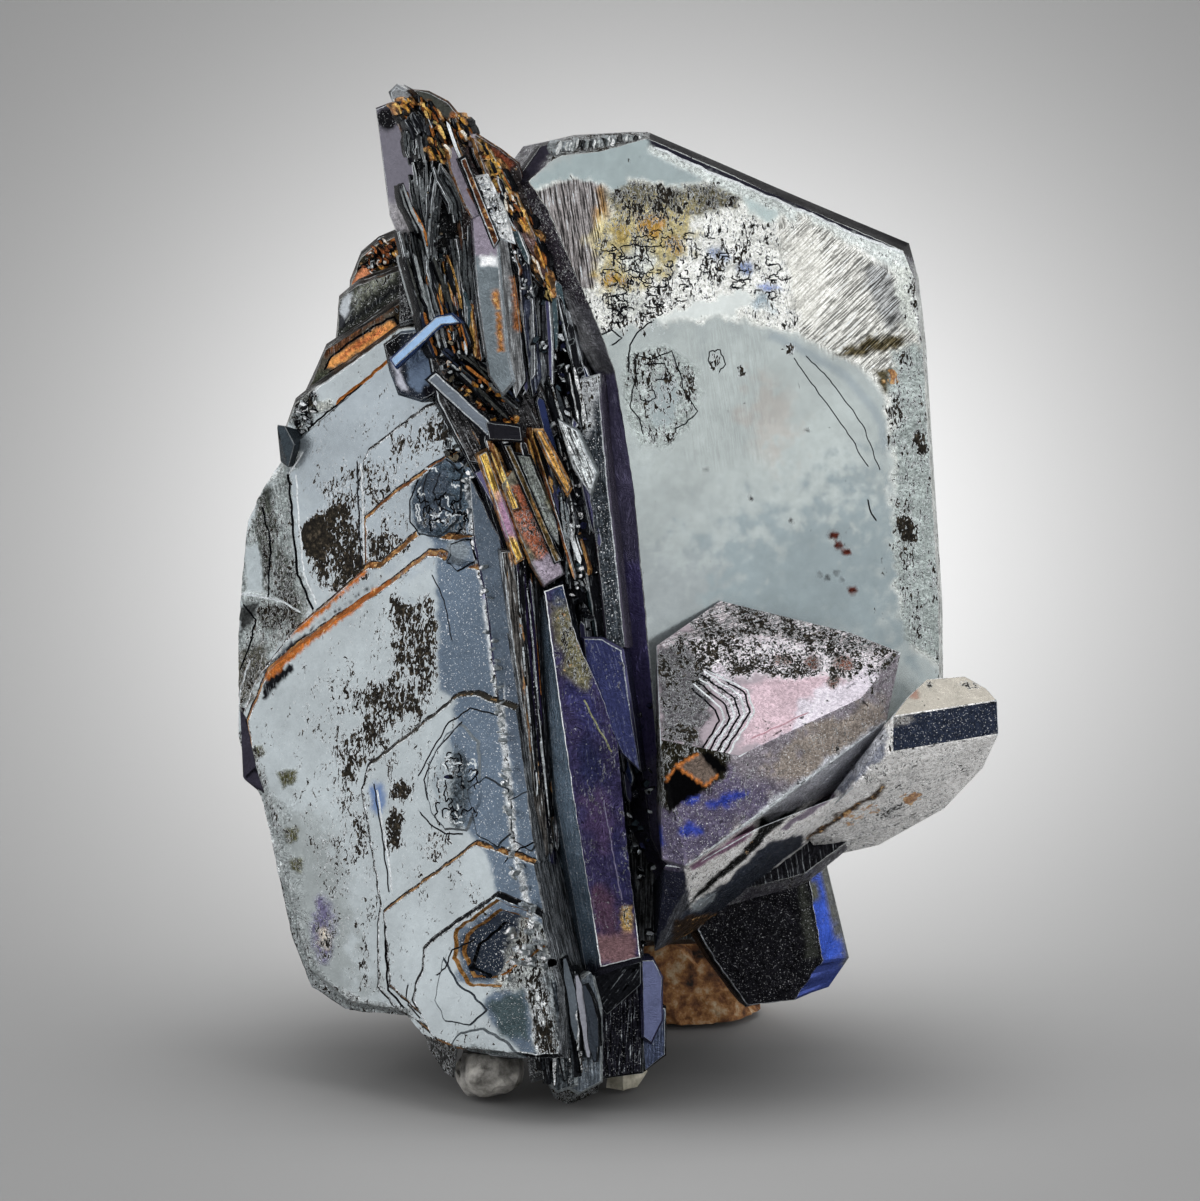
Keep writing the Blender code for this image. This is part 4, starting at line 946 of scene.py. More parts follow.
BOOK_PATCHES = [
    ("tone", (168, 178, 185), 60, [(240, 380), (480, 330), (470, 560), (320, 600)]),
    ("tone", (150, 157, 158), 40, [(230, 780), (330, 820), (370, 1010), (300, 1000), (250, 880)]),
    *LEFT_STRIP_PATCHES,
    ("mottle", 0.3, 20, [(316, 470), (362, 450), (366, 580), (330, 605), (306, 560)]),
    ("mottle", 0.66, 9,
     [(318, 515), (345, 500), (362, 540), (366, 575), (340, 598), (322, 590), (306, 560)]),
    ("mottle", 1.0, 5, oval(314, 538, 13, 20)),
    ("mottle", 0.52, 8, [(322, 490), (345, 462), (358, 470), (352, 500), (330, 510)]),
    ("mottle", 0.34, 12, [(366, 470), (425, 410), (452, 410), (448, 455), (368, 516)]),
    ("mottle", 0.54, 9, oval(382, 482, 12, 28, 12)),
    ("mottle", 0.52, 9, oval(412, 440, 26, 9, -18)),
    ("mottle", 0.56, 9, oval(440, 424, 12, 20)),
    ("mottle", 0.56, 7, [(368, 530), (412, 538), (410, 552), (368, 562)]),
    ("mottle", 0.42, 8, oval(388, 520, 18, 10, -30)),
    ("mottle", 0.3, 26, [(300, 700), (400, 600), (444, 600), (440, 690), (360, 760), (330, 770)]),
    ("mottle", 0.62, 10, [(396, 602), (436, 598), (443, 640), (440, 690), (392, 700)]),
    ("mottle", 0.6, 12, [(346, 690), (430, 678), (420, 712), (362, 726)]),
    ("mottle", 0.6, 12, [(352, 722), (402, 714), (396, 748), (352, 766)]),
    ("mottle", 0.52, 12, [(328, 748), (372, 742), (362, 785), (330, 790)]),
    ("mottle", 0.58, 10, [(330, 795), (362, 790), (370, 880), (335, 884)]),
    ("mottle", 0.3, 24, [(300, 800), (340, 790), (375, 890), (370, 990), (320, 970)]),
    ("mottle", 0.25, 20, [(386, 740), (450, 700), (450, 830), (400, 890), (380, 860)]),
    ("mottle", 0.62, 6, oval(393, 765, 6, 18, 14)),
    ("mottle", 0.62, 6, oval(400, 792, 12, 10)),
    ("mottle", 0.66, 6, oval(392, 832, 9, 26, 8)),
    ("mottle", 0.5, 7, oval(438, 846, 14, 20, 30)),
    ("tone", (104, 128, 170), 7, oval(377, 797, 6, 17)),
    ("look", look((112, 108, 138), rough=0.7, mottle=0.45), 10, oval(322, 930, 10, 34)),
    ("tone", (206, 196, 180), 6, oval(324, 938, 6, 10)),
    ("look", look((206, 212, 214), rough=0.9, mottle=0.35), 5,
     strip([(268, 800), (274, 836), (280, 860)], 10)),
    ("look", look((176, 180, 180), rough=0.9, mottle=0.5), 6,
     strip([(306, 968), (330, 994), (370, 1010), (412, 1016)], 14)),
    ("rough", 0.45, 14, [(262, 800), (290, 800), (312, 985), (345, 1012), (300, 1000), (272, 880)]),
    ("mottle", 0.4, 8, oval(470, 890, 8, 20, -20)),
    ("look", SLATE, 5, DARK_BAND),
    ("look", look((72, 86, 98), rough=0.6, painted_glints=0.3), 6,
     [(412, 505), (420, 478), (444, 460), (470, 470), (470, 520), (452, 545), (418, 530)]),
    ("mottle", 0.5, 6, oval(432, 520, 16, 10)),
    ("mottle", 0.5, 5, oval(470, 530, 22, 7)),
    ("look", look((132, 142, 150), rough=0.4), 5, oval(458, 552, 12, 12)),
    ("tone", (86, 97, 111), 10, [(492, 590), (514, 600), (536, 760), (520, 800), (505, 720)]),
    ("look", look((82, 92, 100), rough=0.9, mottle=0.3), 8, oval(460, 790, 12, 42)),
    ("tone", (150, 160, 166), 6, [(432, 780), (450, 736), (456, 760), (448, 815), (438, 812)]),
    ("tone", (70, 80, 92), 7, [(413, 505), (424, 478), (446, 464), (452, 500), (436, 534), (418, 528)]),
    ("mottle", 0.45, 8, oval(470, 520, 28, 16)),
    ("tone", (44, 50, 60), 5, [(458, 952), (462, 934), (498, 908), (526, 918), (500, 980), (470, 980)]),
    ("look", look((196, 202, 200), rough=0.85, mottle=0.45), 6,
     [(505, 940), (520, 918), (548, 926), (552, 975), (520, 992), (494, 990), (500, 965)]),
    ("look", look((226, 231, 234), rough=0.7, mottle=0.36, painted_glints=1.0), 3, strip(BRIGHT_SEAM, 6)),
    ("tone", (226, 231, 234), 3, strip(BRIGHT_SEAM[1:6], 9)),
    ("mottle", 0.5, 3, strip(BRIGHT_SEAM[1:6], 9)),
    ("look", look((104, 92, 170), rough=0.6), 2, oval(480, 562, 3, 12, -8)),
    ("look", look((104, 92, 170), rough=0.6), 2, oval(485, 590, 2.5, 9, -8)),
    ("look", look((150, 158, 162), rough=0.9, mottle=0.4, striae=0.8), 6,
     [(530, 985), (556, 960), (580, 985), (600, 1000), (602, 1100), (545, 1090), (534, 1040)]),
    ("look", look((226, 231, 233), rough=1.0, mottle=0.58, striae=0.8), 4,
     strip([(534, 985), (542, 1030), (552, 1085)], 18)),
    ("look", look((54, 60, 66), rough=0.8, striae=0.8), 3,
     strip([(554, 980), (562, 1030), (570, 1085)], 7)),
    ("look", look((70, 84, 88), rough=0.3, painted_glints=0.6), 6,
     [(490, 1005), (524, 990), (530, 1040), (500, 1036)]),
    ("look", look((96, 104, 106), rough=0.7, mottle=0.4), 7,
     [(425, 1046), (452, 1046), (500, 1050), (540, 1060), (545, 1100), (420, 1100)]),
]


# Small crystals on the book: zone, count, half-lengths, levels, palette.
BOOK_CHIPS = [
    (strip([(464, 450), (474, 520), (481, 570)], 12), 80, (1.2, 3.2), (-0.1, 0.12), "seam"),
    (strip([(481, 570), (490, 650), (499, 720), (506, 800), (512, 860)], 7), 110, (0.9, 2.2), (-0.1, 0.1),
     "seam"),
    (strip([(512, 860), (524, 905), (541, 960)], 13), 40, (1.4, 3.6), (-0.1, 0.15), "seam"),
    ([(440, 402), (470, 398), (478, 440), (470, 474), (446, 462), (440, 430)], 60, (1.8, 5.0), (0.0, 0.3),
     "dark"),
    ([(505, 925), (540, 925), (552, 968), (534, 985), (500, 985)], 40, (1.6, 4.5), (0.0, 0.3), "seam"),
    ([(440, 778), (468, 772), (476, 800), (466, 828), (446, 826)], 20, (1.2, 4.0), (-0.1, 0.08), "spark"),
]


# The book's left and lower border is pale, also where its terraces end.
OLIVE = look((88, 88, 62), rough=0.8, mottle=0.4, striae=0.3)
RUSTY = look((186, 108, 50), stain=0.32, rough=0.5)
BOOK_LATE = [
    ("look", look((150, 157, 158), rough=0.7, mottle=0.36), 5,
     strip([(236, 742), (254, 780), (268, 830), (280, 880), (290, 930), (310, 978), (345, 1010),
            (412, 1022)], 24)),
    ("look", look((214, 220, 222), rough=0.9, mottle=0.3), 4,
     strip([(262, 812), (272, 850), (280, 880)], 7)),
    ("look", RUSTY, 1,
     [(292, 635), (301, 625), (331, 600), (364, 570), (367, 572), (334, 602), (305, 629)]),
    ("look", RUSTY, 1,
     [(264, 677), (284, 655), (310, 636), (350, 606), (390, 580), (391, 583), (352, 612), (312, 642),
      (290, 661), (270, 680)]),
    ("look", BLACK, 1, strip([(286, 650), (308, 632), (346, 604), (372, 586)], 1.5)),
    ("look", BLACK, 1, [(263, 684), (290, 664), (296, 668), (268, 696), (262, 700)]),
    ("look", OLIVE, 2, [(249, 748), (262, 744), (266, 756), (254, 762)]),
    ("look", OLIVE, 2, [(277, 772), (299, 770), (296, 782), (283, 788)]),
    ("look", OLIVE, 2, [(284, 830), (299, 828), (297, 840), (288, 845)]),
    ("look", OLIVE, 2, [(290, 860), (302, 857), (300, 872), (293, 870)]),
]


def left_book():
    """The thick left crystal with its growth terraces."""
    point, azimuth, lean = LEFT_FACE
    face = Face(point, azimuth, lean, BOOK_LEVEL)
    relief = Relief(face, BOOK_TERRACES, BOOK_ISLANDS, BOOK_CRACKS + arc_lines(), coarse=0.14)
    made = [plate(face, BOOK_OUTLINE, BOOK_THICKNESS, 1.0, PALE, bevel=0.25, patches=BOOK_PATCHES,
                  rim=LAYERS, back=GREY, relief=relief, step=0.2, layers=0.12, seed=2, late=BOOK_LATE,
                  rim_patches=[("look", look((60, 56, 48), rough=0.8, stain=0.25), 8, oval(262, 700, 16, 60)),
                               ("rough", 0.8, 20, oval(300, 900, 60, 120))])]
    for number, (*row, palette) in enumerate(BOOK_CHIPS):
        made += chips(face, *row, CHIP_LOOKS[palette], number, relief.ground)
    return made


# Plates that step back behind the book's top left: level, outline, front, patches, cracks.
LEDGE_LINE = look((120, 124, 122), rough=0.5)
LEDGES = [
    (-2.1,
     [(-18.5, 40.1), (-13.1, 44.3), (-9.4, 45.4), (-7.4, 40.8), (-7.4, 29.2), (-17.2, 28.1),
      (-19.9, 35.5), (-20.1, 37.2), (-19.3, 39.4)], PALE,
     [("look", look((206, 210, 204), rough=0.9, mottle=0.3), 4,
       [(314, 402), (332, 400), (336, 410), (318, 414)]),
      ("look", look((120, 128, 128), rough=0.9, mottle=0.5), 5, oval(304, 408, 12, 22, 30))],
     [(0.06, 0.2, look((170, 104, 48), rough=0.4), [(338, 402), (352, 390), (368, 378), (389, 360)]),
      (0.05, 0.12, BLACK, [(300, 436), (330, 410), (362, 385)]),
      (0.03, 0.1, WHITE, [(313, 392), (345, 369), (388, 337)]),
      (0.05, 0.12, BLACK, [(296, 428), (304, 408), (312, 392)])]),
    (-3.2,
     [(-17.5, 42.5), (-13.1, 45.6), (-9.7, 46.7), (-8.2, 41.6), (-8.2, 31.2), (-16.7, 30.3),
      (-18.6, 40.0)], look((82, 78, 70), rough=0.7, mottle=0.25, stain=0.2),
     [("look", look((70, 74, 62), rough=0.9), 5, [(308, 392), (316, 372), (330, 370), (326, 386)]),
      ("look", look((96, 64, 44), stain=0.36, rough=0.6, striae=0.7), 4,
       strip([(324, 354), (345, 338), (378, 312), (430, 270)], 13)),
      ("look", look((44, 38, 28), rough=1.0, stain=0.26), 5,
       [(400, 296), (430, 276), (440, 330), (404, 336), (392, 318)]),
      ("look", look((216, 148, 82), rough=0.4, stain=0.2), 2,
       [(327, 366), (334, 357), (348, 346), (377, 327), (393, 320), (397, 327), (379, 340), (352, 357),
        (331, 369)]),
      ("look", look((196, 110, 66), rough=0.8), 3, strip([(340, 358), (362, 341), (386, 327)], 4))],
     [(0.06, 0.14, BLACK, [(325, 369), (331, 357), (346, 345), (376, 325), (394, 317), (400, 327)]),
      (0.06, 0.14, BLACK, [(330, 372), (353, 359), (380, 342), (400, 328)]),
      (0.03, 0.1, LEDGE_LINE, [(326, 344), (350, 326), (380, 300), (424, 264)])]),
    (-4.4,
     [(-16.8, 43.7), (-16.7, 45.3), (-15.7, 46.2), (-11.5, 48.0), (-8.8, 43.7), (-8.8, 33.2),
      (-16.1, 32.4), (-17.3, 39.4)], look((52, 54, 50), rough=0.8, painted_glints=0.7),
     [("look", look((138, 142, 128), rough=0.9, mottle=0.5), 6,
       strip([(352, 303), (372, 288), (392, 272), (412, 262)], 9)),
      ("look", BLACK, 3, strip([(342, 328), (364, 312), (392, 292), (424, 268)], 5)),
      ("look", look((178, 184, 190), rough=0.15), 2,
       [(339, 312), (341, 300), (352, 292), (352, 300), (344, 318)]),
      ("look", look((52, 54, 58), rough=0.2), 2,
       [(339, 330), (339, 314), (344, 318), (350, 304), (352, 312), (344, 326)])],
     [(0.03, 0.1, LEDGE_LINE, [(352, 293), (358, 300), (346, 322)])]),
    (-5.6,
     [(-16.0, 46.2), (-15.4, 47.7), (-14.5, 48.5), (-13.1, 49.2), (-11.3, 49.0), (-8.8, 45.8),
      (-8.9, 34.1), (-14.9, 33.4), (-16.4, 40.4)], look((46, 44, 36), rough=0.9, stain=0.3, painted_glints=0.4),
     [("look", look((170, 104, 50), stain=0.3, rough=0.8), 3,
       [(392, 238), (412, 240), (422, 246), (424, 254), (406, 250), (392, 248)]),
      ("look", look((150, 86, 50), stain=0.3, rough=0.8), 2,
       strip([(356, 260), (362, 252), (378, 250), (392, 256)], 4)),
      ("look", look((62, 82, 100), rough=0.15), 2,
       [(392, 254), (402, 247), (411, 251), (409, 259), (396, 259)]),
      ("look", look((206, 132, 92), rough=0.4), 2,
       [(351, 282), (358, 272), (372, 261), (378, 263), (376, 268), (360, 281), (354, 286)])],
     [(0.05, 0.12, BLACK, [(350, 280), (358, 270), (372, 259), (379, 261)]),
      (0.04, 0.1, look((150, 96, 50), rough=0.5), [(357, 256), (364, 246), (379, 235), (390, 231)])]),
]
LEDGE_TIP = [(293, 430), (300, 402), (312, 389), (318, 396), (308, 428), (299, 440)]
# Small crystals on the ledges: which ledge, then as on the book.
LEDGE_CHIPS = [
    (0, LEDGE_TIP, 44, (1.2, 4.2), (-0.3, 0.12), "white"),
    (0, LEDGE_TIP, 40, (1.4, 4.6), (-0.3, 0.12), "dark"),
    (3, [(362, 262), (374, 244), (392, 236), (424, 246), (424, 258), (392, 262), (366, 276)], 60,
     (1.4, 4.4), (-0.05, 0.2), "gold"),
    (3, [(360, 262), (380, 242), (424, 246), (440, 262), (400, 276), (372, 280)], 40, (1.2, 3.6),
     (0.0, 0.22), "dark"),
    (1, [(398, 296), (430, 276), (440, 330), (404, 336), (394, 318)], 50, (1.2, 4.0), (-0.05, 0.2),
     "dark"),
]
LEDGE_THICKNESS = 4.0
LEDGE_GROWTH = 0.37


def ledges():
    """The plates that step back behind the book's top left."""
    point, azimuth, lean = LEFT_FACE
    made = []
    for number, (level, outline, front, patches, cracks) in enumerate(LEDGES, 1):
        face = Face(point, azimuth, lean, level)
        made.append(plate(face, outline, LEDGE_THICKNESS + LEDGE_GROWTH * number, 0.8, front, bevel=0.55,
                          patches=patches, rim=look((60, 58, 56), rough=0.4, striae=0.9, stain=0.24), back=GREY,
                          relief=Relief(face, (), (), cracks, coarse=0.16), step=0.2, layers=0.08,
                          glint=look((150, 152, 148), rough=0.5), seed=number + 10))
    for number, (ledge, *row, palette) in enumerate(LEDGE_CHIPS):
        made += chips(Face(point, azimuth, lean, LEDGES[ledge][0]), *row, CHIP_LOOKS[palette], number + 10)
    return made


RIGHT_THICKNESS = 5.6
RIGHT_DROP = 1.3
RIGHT_OUTLINE = [
    (-0.2, 42.8), (-1.1, 45.3), (-4.1, 52.4), (-5.2, 54.1), (-4.1, 55.1), (-3.3, 55.5), (-1.1, 55.6),
    (1.7, 56.2), (16.9, 48.8), (17.6, 47.1), (18.1, 42.9), (19.1, 28.1), (19.2, 21.0), (15.0, 15.2),
    (11.0, 12.6), (4.8, 11.6), (2.7, 15.6), (1.8, 26.5), (0.9, 35.9),
]
RIGHT_WIDEST = [
    (-1.3, 42.5), (-2.7, 45.0), (-5.7, 52.6), (-6.1, 53.9), (-4.6, 55.9), (-3.3, 56.1), (-1.6, 56.4),
    (1.7, 56.4), (17.3, 49.0), (17.9, 46.9), (18.4, 42.7), (19.4, 27.8), (19.5, 20.7), (15.2, 14.6),
    (11.1, 11.6), (4.2, 10.4), (1.9, 15.2), (0.5, 26.3), (-0.7, 35.7),
]
ROUGH_ZONE = [
    (535, 187), (550, 185), (575, 178), (600, 182), (612, 190), (635, 180), (655, 186), (700, 184),
    (730, 178), (745, 190), (760, 214), (800, 205), (830, 225), (915, 285), (925, 350), (932, 470),
    (940, 600), (944, 670), (915, 650), (897, 600), (893, 520), (890, 450), (884, 395), (860, 365),
    (800, 335), (730, 318), (650, 322), (600, 335), (560, 240),
]
STRIATED_PATCH = [
    (535, 192), (550, 186), (575, 179), (600, 183), (607, 192), (602, 240), (594, 290), (578, 288),
]
DIAGONAL_ZONE = [
    (778, 232), (800, 215), (830, 232), (914, 290), (920, 350), (886, 388), (860, 365), (800, 335),
]
OLIVE_ZONE = [
    (606, 190), (635, 182), (655, 188), (700, 186), (735, 182), (742, 200), (720, 212), (680, 218),
    (612, 222),
]
RIGHT_PATCHES = [
    ("tone", (164, 178, 180), 10,
     [(520, 180), (650, 120), (740, 180), (655, 190), (635, 184), (612, 194), (575, 184), (535, 192)]),
    ("tone", (182, 191, 190), 60, [(620, 340), (800, 320), (880, 420), (850, 500), (640, 480)]),
    ("tone", (148, 161, 165), 70, [(700, 560), (900, 470), (900, 660), (690, 640)]),
    ("tone", (156, 164, 166), 40, [(640, 560), (720, 560), (700, 640), (640, 640)]),
    ("look", look((248, 250, 244), rough=0.55, mottle=0.34), 9, ROUGH_ZONE),
    ("look", look((128, 124, 124), rough=0.3, striae=1.0), 3, STRIATED_PATCH),
    ("tone", (150, 118, 78), 8, oval(600, 210, 6, 24, 6)),
    ("look", look((116, 112, 92), rough=0.9, mottle=0.5), 7, OLIVE_ZONE),
    ("tone", (190, 178, 132), 16,
     [(604, 205), (690, 200), (694, 240), (664, 280), (600, 296), (598, 240)]),
    ("tone", (170, 132, 62), 9, oval(652, 224, 17, 12)),
    ("tone", (178, 144, 62), 8, oval(614, 280, 17, 6)),
    ("tone", (160, 140, 84), 8, oval(620, 232, 10, 10)),
    ("tone", (160, 130, 70), 8, oval(676, 246, 8, 8)),
    ("stain", 0.46, 9, oval(652, 224, 14, 10)),
    ("stain", 0.44, 7, oval(612, 280, 16, 5)),
    ("tone", (226, 230, 222), 8, oval(640, 262, 18, 12)),
    ("tone", (222, 226, 220), 8, oval(626, 306, 22, 16)),
    ("mottle", 0.42, 12, [(600, 240), (660, 240), (665, 330), (605, 335)]),
    ("mottle", 0.42, 14, [(690, 250), (760, 250), (740, 285), (680, 285)]),
    ("tone", (140, 154, 184), 8, oval(718, 254, 9, 5)),
    ("tone", (128, 146, 190), 8, oval(746, 268, 9, 5)),
    ("tone", (126, 144, 196), 8, oval(768, 286, 10, 5)),
    ("tone", (170, 186, 196), 10, oval(762, 302, 12, 8)),
    ("look", look((192, 208, 208), rough=0.04), 9,
     [(738, 188), (760, 182), (800, 205), (775, 222), (748, 212)]),
    ("look", look((224, 231, 229), rough=0.04), 6,
     [(652, 322), (690, 304), (744, 288), (754, 300), (735, 316), (700, 317)]),
    ("look", look((216, 224, 222), rough=0.55, mottle=0.2), 5,
     strip([(650, 146), (720, 180), (800, 215), (905, 262)], 13)),
    ("look", look((206, 206, 200), rough=0.35, striae=0.8, mottle=0.1), 12, DIAGONAL_ZONE),
    ("tone", (232, 232, 224), 12, [(790, 240), (815, 225), (835, 270), (830, 320), (800, 325)]),
    ("striae", 0.35, 12, [(780, 240), (810, 225), (826, 270), (820, 320), (790, 325)]),
    ("look", look((150, 152, 152), rough=0.3, striae=0.9), 10,
     [(862, 262), (884, 262), (912, 318), (890, 334), (866, 290)]),
    ("look", look((92, 84, 62), rough=0.6, striae=0.9), 5,
     [(832, 356), (868, 338), (904, 336), (906, 344), (870, 354)]),
    ("look", look((84, 78, 60), rough=0.6), 4,
     [(874, 370), (892, 366), (900, 372), (890, 396), (884, 394)]),
    ("look", look((216, 222, 216), rough=0.6, mottle=0.28), 8,
     [(890, 262), (916, 262), (924, 330), (906, 330)]),
    ("tone", (160, 171, 175), 6, strip([(768, 334), (806, 352), (846, 376), (876, 412), (888, 450)], 9)),
    ("striae", 0.07, 20, [(690, 330), (765, 325), (770, 460), (690, 470)]),
    ("tone", (182, 182, 178), 30, oval(770, 420, 22, 40)),
    ("look", look((206, 210, 208), rough=0.8, mottle=0.5), 7,
     [(912, 262), (926, 262), (936, 330), (944, 400), (944, 520), (930, 520), (922, 400)]),
    ("look", look((34, 34, 38), rough=0.6, striae=0.4), 10,
     [(640, 800), (960, 790), (960, 960), (640, 960)]),
    ("look", look((42, 42, 52), rough=0.2), 2,
     [(640, 120), (800, 180), (912, 228), (918, 254), (910, 254), (878, 243), (849, 232), (808, 213),
      (720, 176), (650, 146)]),
    ("look", look((168, 178, 176), rough=0.55, mottle=0.36), 8,
     [(892, 350), (925, 340), (946, 670), (905, 640), (893, 560)]),
    ("stain", 0.62, 6, oval(890, 378, 10, 12)),
    ("mottle", 0.75, 6, oval(920, 440, 5, 12)),
    ("mottle", 0.75, 6, oval(907, 530, 8, 12)),
    ("tone", (158, 172, 176), 8, oval(658, 402, 20, 34, 8)),
    ("look", look((176, 186, 184), rough=0.6, mottle=0.35), 8,
     [(622, 380), (630, 352), (668, 346), (700, 370), (694, 412), (668, 446), (640, 446), (628, 420)]),
    ("tone", (160, 172, 174), 6, oval(664, 402, 16, 28, 8)),
    ("rough", 0.05, 6, oval(664, 402, 15, 27, 8)),
    ("mottle", 0.45, 6,
     strip([(630, 380), (640, 360), (665, 356), (690, 375), (686, 410), (664, 438), (640, 430)], 9)),
    ("mottle", 0.5, 6, oval(716, 362, 8, 12)),
    ("mottle", 0.6, 4, oval(742, 372, 5, 6)),
    ("mottle", 0.5, 6, oval(790, 350, 8, 6)),
] + [
    ("look", look((86, 44, 36), stain=0.2, rough=0.5), 2, oval(x, y, 5, 4)) for x, y in
    ((834, 535), (846, 552), (852, 590), (838, 545))
] + [
    ("look", look((52, 48, 50), rough=0.6), 2, oval(x, y, 2, 2)) for x, y in
    ((820, 574), (828, 578), (836, 572), (842, 580), (750, 498), (790, 520), (705, 470), (806, 430))
]
CONTOURS = 70
CONTOUR_ZONE = [(602, 236), (690, 226), (780, 240), (790, 300), (700, 296), (636, 334), (606, 336)]


def contour_lines():
    """Small closed lines like those of a map, crowded at the left of their zone."""
    chance = np.random.default_rng(8)
    zone = np.array(CONTOUR_ZONE, float)
    rows = []
    while len(rows) < CONTOURS:
        share = chance.uniform(0.0, 1.0, 2) ** (1.7, 1.0)
        middle = zone.min(0) + share * (zone.max(0) - zone.min(0))
        if edge_distance(middle[None], zone, 1.0)[0] > 3.0:
            size = chance.uniform(2.5, 8.0)
            height = size * chance.uniform(0.4, 0.9)
            rows.append((*middle, size, height, chance.uniform(0.0, 6.0), chance.uniform(0.3, 0.8)))
    return rows


RIGHT_CRACKS = [
    (0.05, 0.08, THIN_LINE, looped(*row)) for row in [
        (634, 258, 15, 14, 1.0, 0.9), (644, 266, 9, 7, 2.0, 0.8), (617, 303, 10, 8, 3.0, 1.0),
        (618, 318, 6, 5, 5.0, 0.9), (660, 398, 27, 41, 2.2, 0.8), (655, 372, 14, 9, 4.0, 0.6),
        (648, 395, 8, 6, 5.0, 0.7), (716, 362, 8, 12, 3.0, 0.7)] + contour_lines()
] + [
    (0.06, 0.1, BLACK, [(868, 500), (870, 510), (876, 520)]),
    (0.05, 0.1, THIN_LINE, [(652, 322), (640, 330), (630, 345), (628, 372)]),
    (0.04, 0.1, THIN_LINE, [(600, 335), (612, 330), (622, 338), (612, 345)]),
    (0.03, 0.14, WHITE, [(656, 148), (720, 176), (808, 213), (849, 232), (878, 243), (906, 254)]),
    (0.02, 0.07, THIN_LINE, [(794, 358), (812, 384), (846, 430), (868, 466)]),
    (0.02, 0.07, THIN_LINE, [(806, 356), (830, 380), (862, 424), (880, 470)]),
]
RIGHT_RIM_PATCHES = [
    ("look", look((64, 60, 68), rough=0.9, painted_glints=1.0, mottle=0.3), 6,
     [(500, 176), (530, 178), (580, 240), (612, 345), (590, 360), (560, 300), (530, 240)]),
    ("look", look((92, 92, 98), rough=0.3), 5, [(572, 300), (602, 312), (624, 372), (596, 378)]),
    ("look", look((170, 171, 176), rough=0.4, striae=0.4), 6,
     [(548, 300), (568, 290), (602, 370), (590, 376)]),
    ("look", look((104, 100, 128), rough=0.3, striae=0.1), 8,
     [(594, 374), (640, 372), (700, 870), (640, 900)]),
    ("tone", (98, 92, 140), 20, [(615, 560), (670, 560), (680, 760), (630, 760)]),
    ("look", look((40, 39, 44), rough=0.1), 4,
     [(648, 126), (912, 238), (922, 262), (700, 170), (648, 142)]),
    ("look", look((52, 50, 60), rough=0.1), 4, [(505, 180), (545, 140), (556, 146), (524, 186)]),
    ("look", look((132, 134, 134), rough=0.9, mottle=0.55, striae=0.5), 3,
     [(546, 168), (552, 140), (592, 128), (650, 128), (650, 150), (600, 156), (560, 160)]),
    ("look", look((168, 172, 168), rough=0.5, striae=0.6, mottle=0.3), 8,
     [(915, 262), (960, 300), (960, 720), (930, 700)]),
]


def right_plate():
    """The big plate with the mirror face."""
    face = Face(*RIGHT_FACE)
    relief = Relief(face, (), (), RIGHT_CRACKS, coarse=0.12)
    return plate(face, RIGHT_OUTLINE, RIGHT_THICKNESS, RIGHT_DROP,
                 look((172, 181, 181), rough=0.02, mottle=0.06), widest=RIGHT_WIDEST, patches=RIGHT_PATCHES,
                 rim=look((84, 82, 90), rough=0.4, mottle=0.35),
                 rim_patches=RIGHT_RIM_PATCHES, back=GREY, relief=relief, step=0.2, layers=0.05,
                 glint=look((190, 194, 192), rough=0.3, mottle=0.25), grain=96, turns=[(38, DIAGONAL_ZONE)], seed=3)


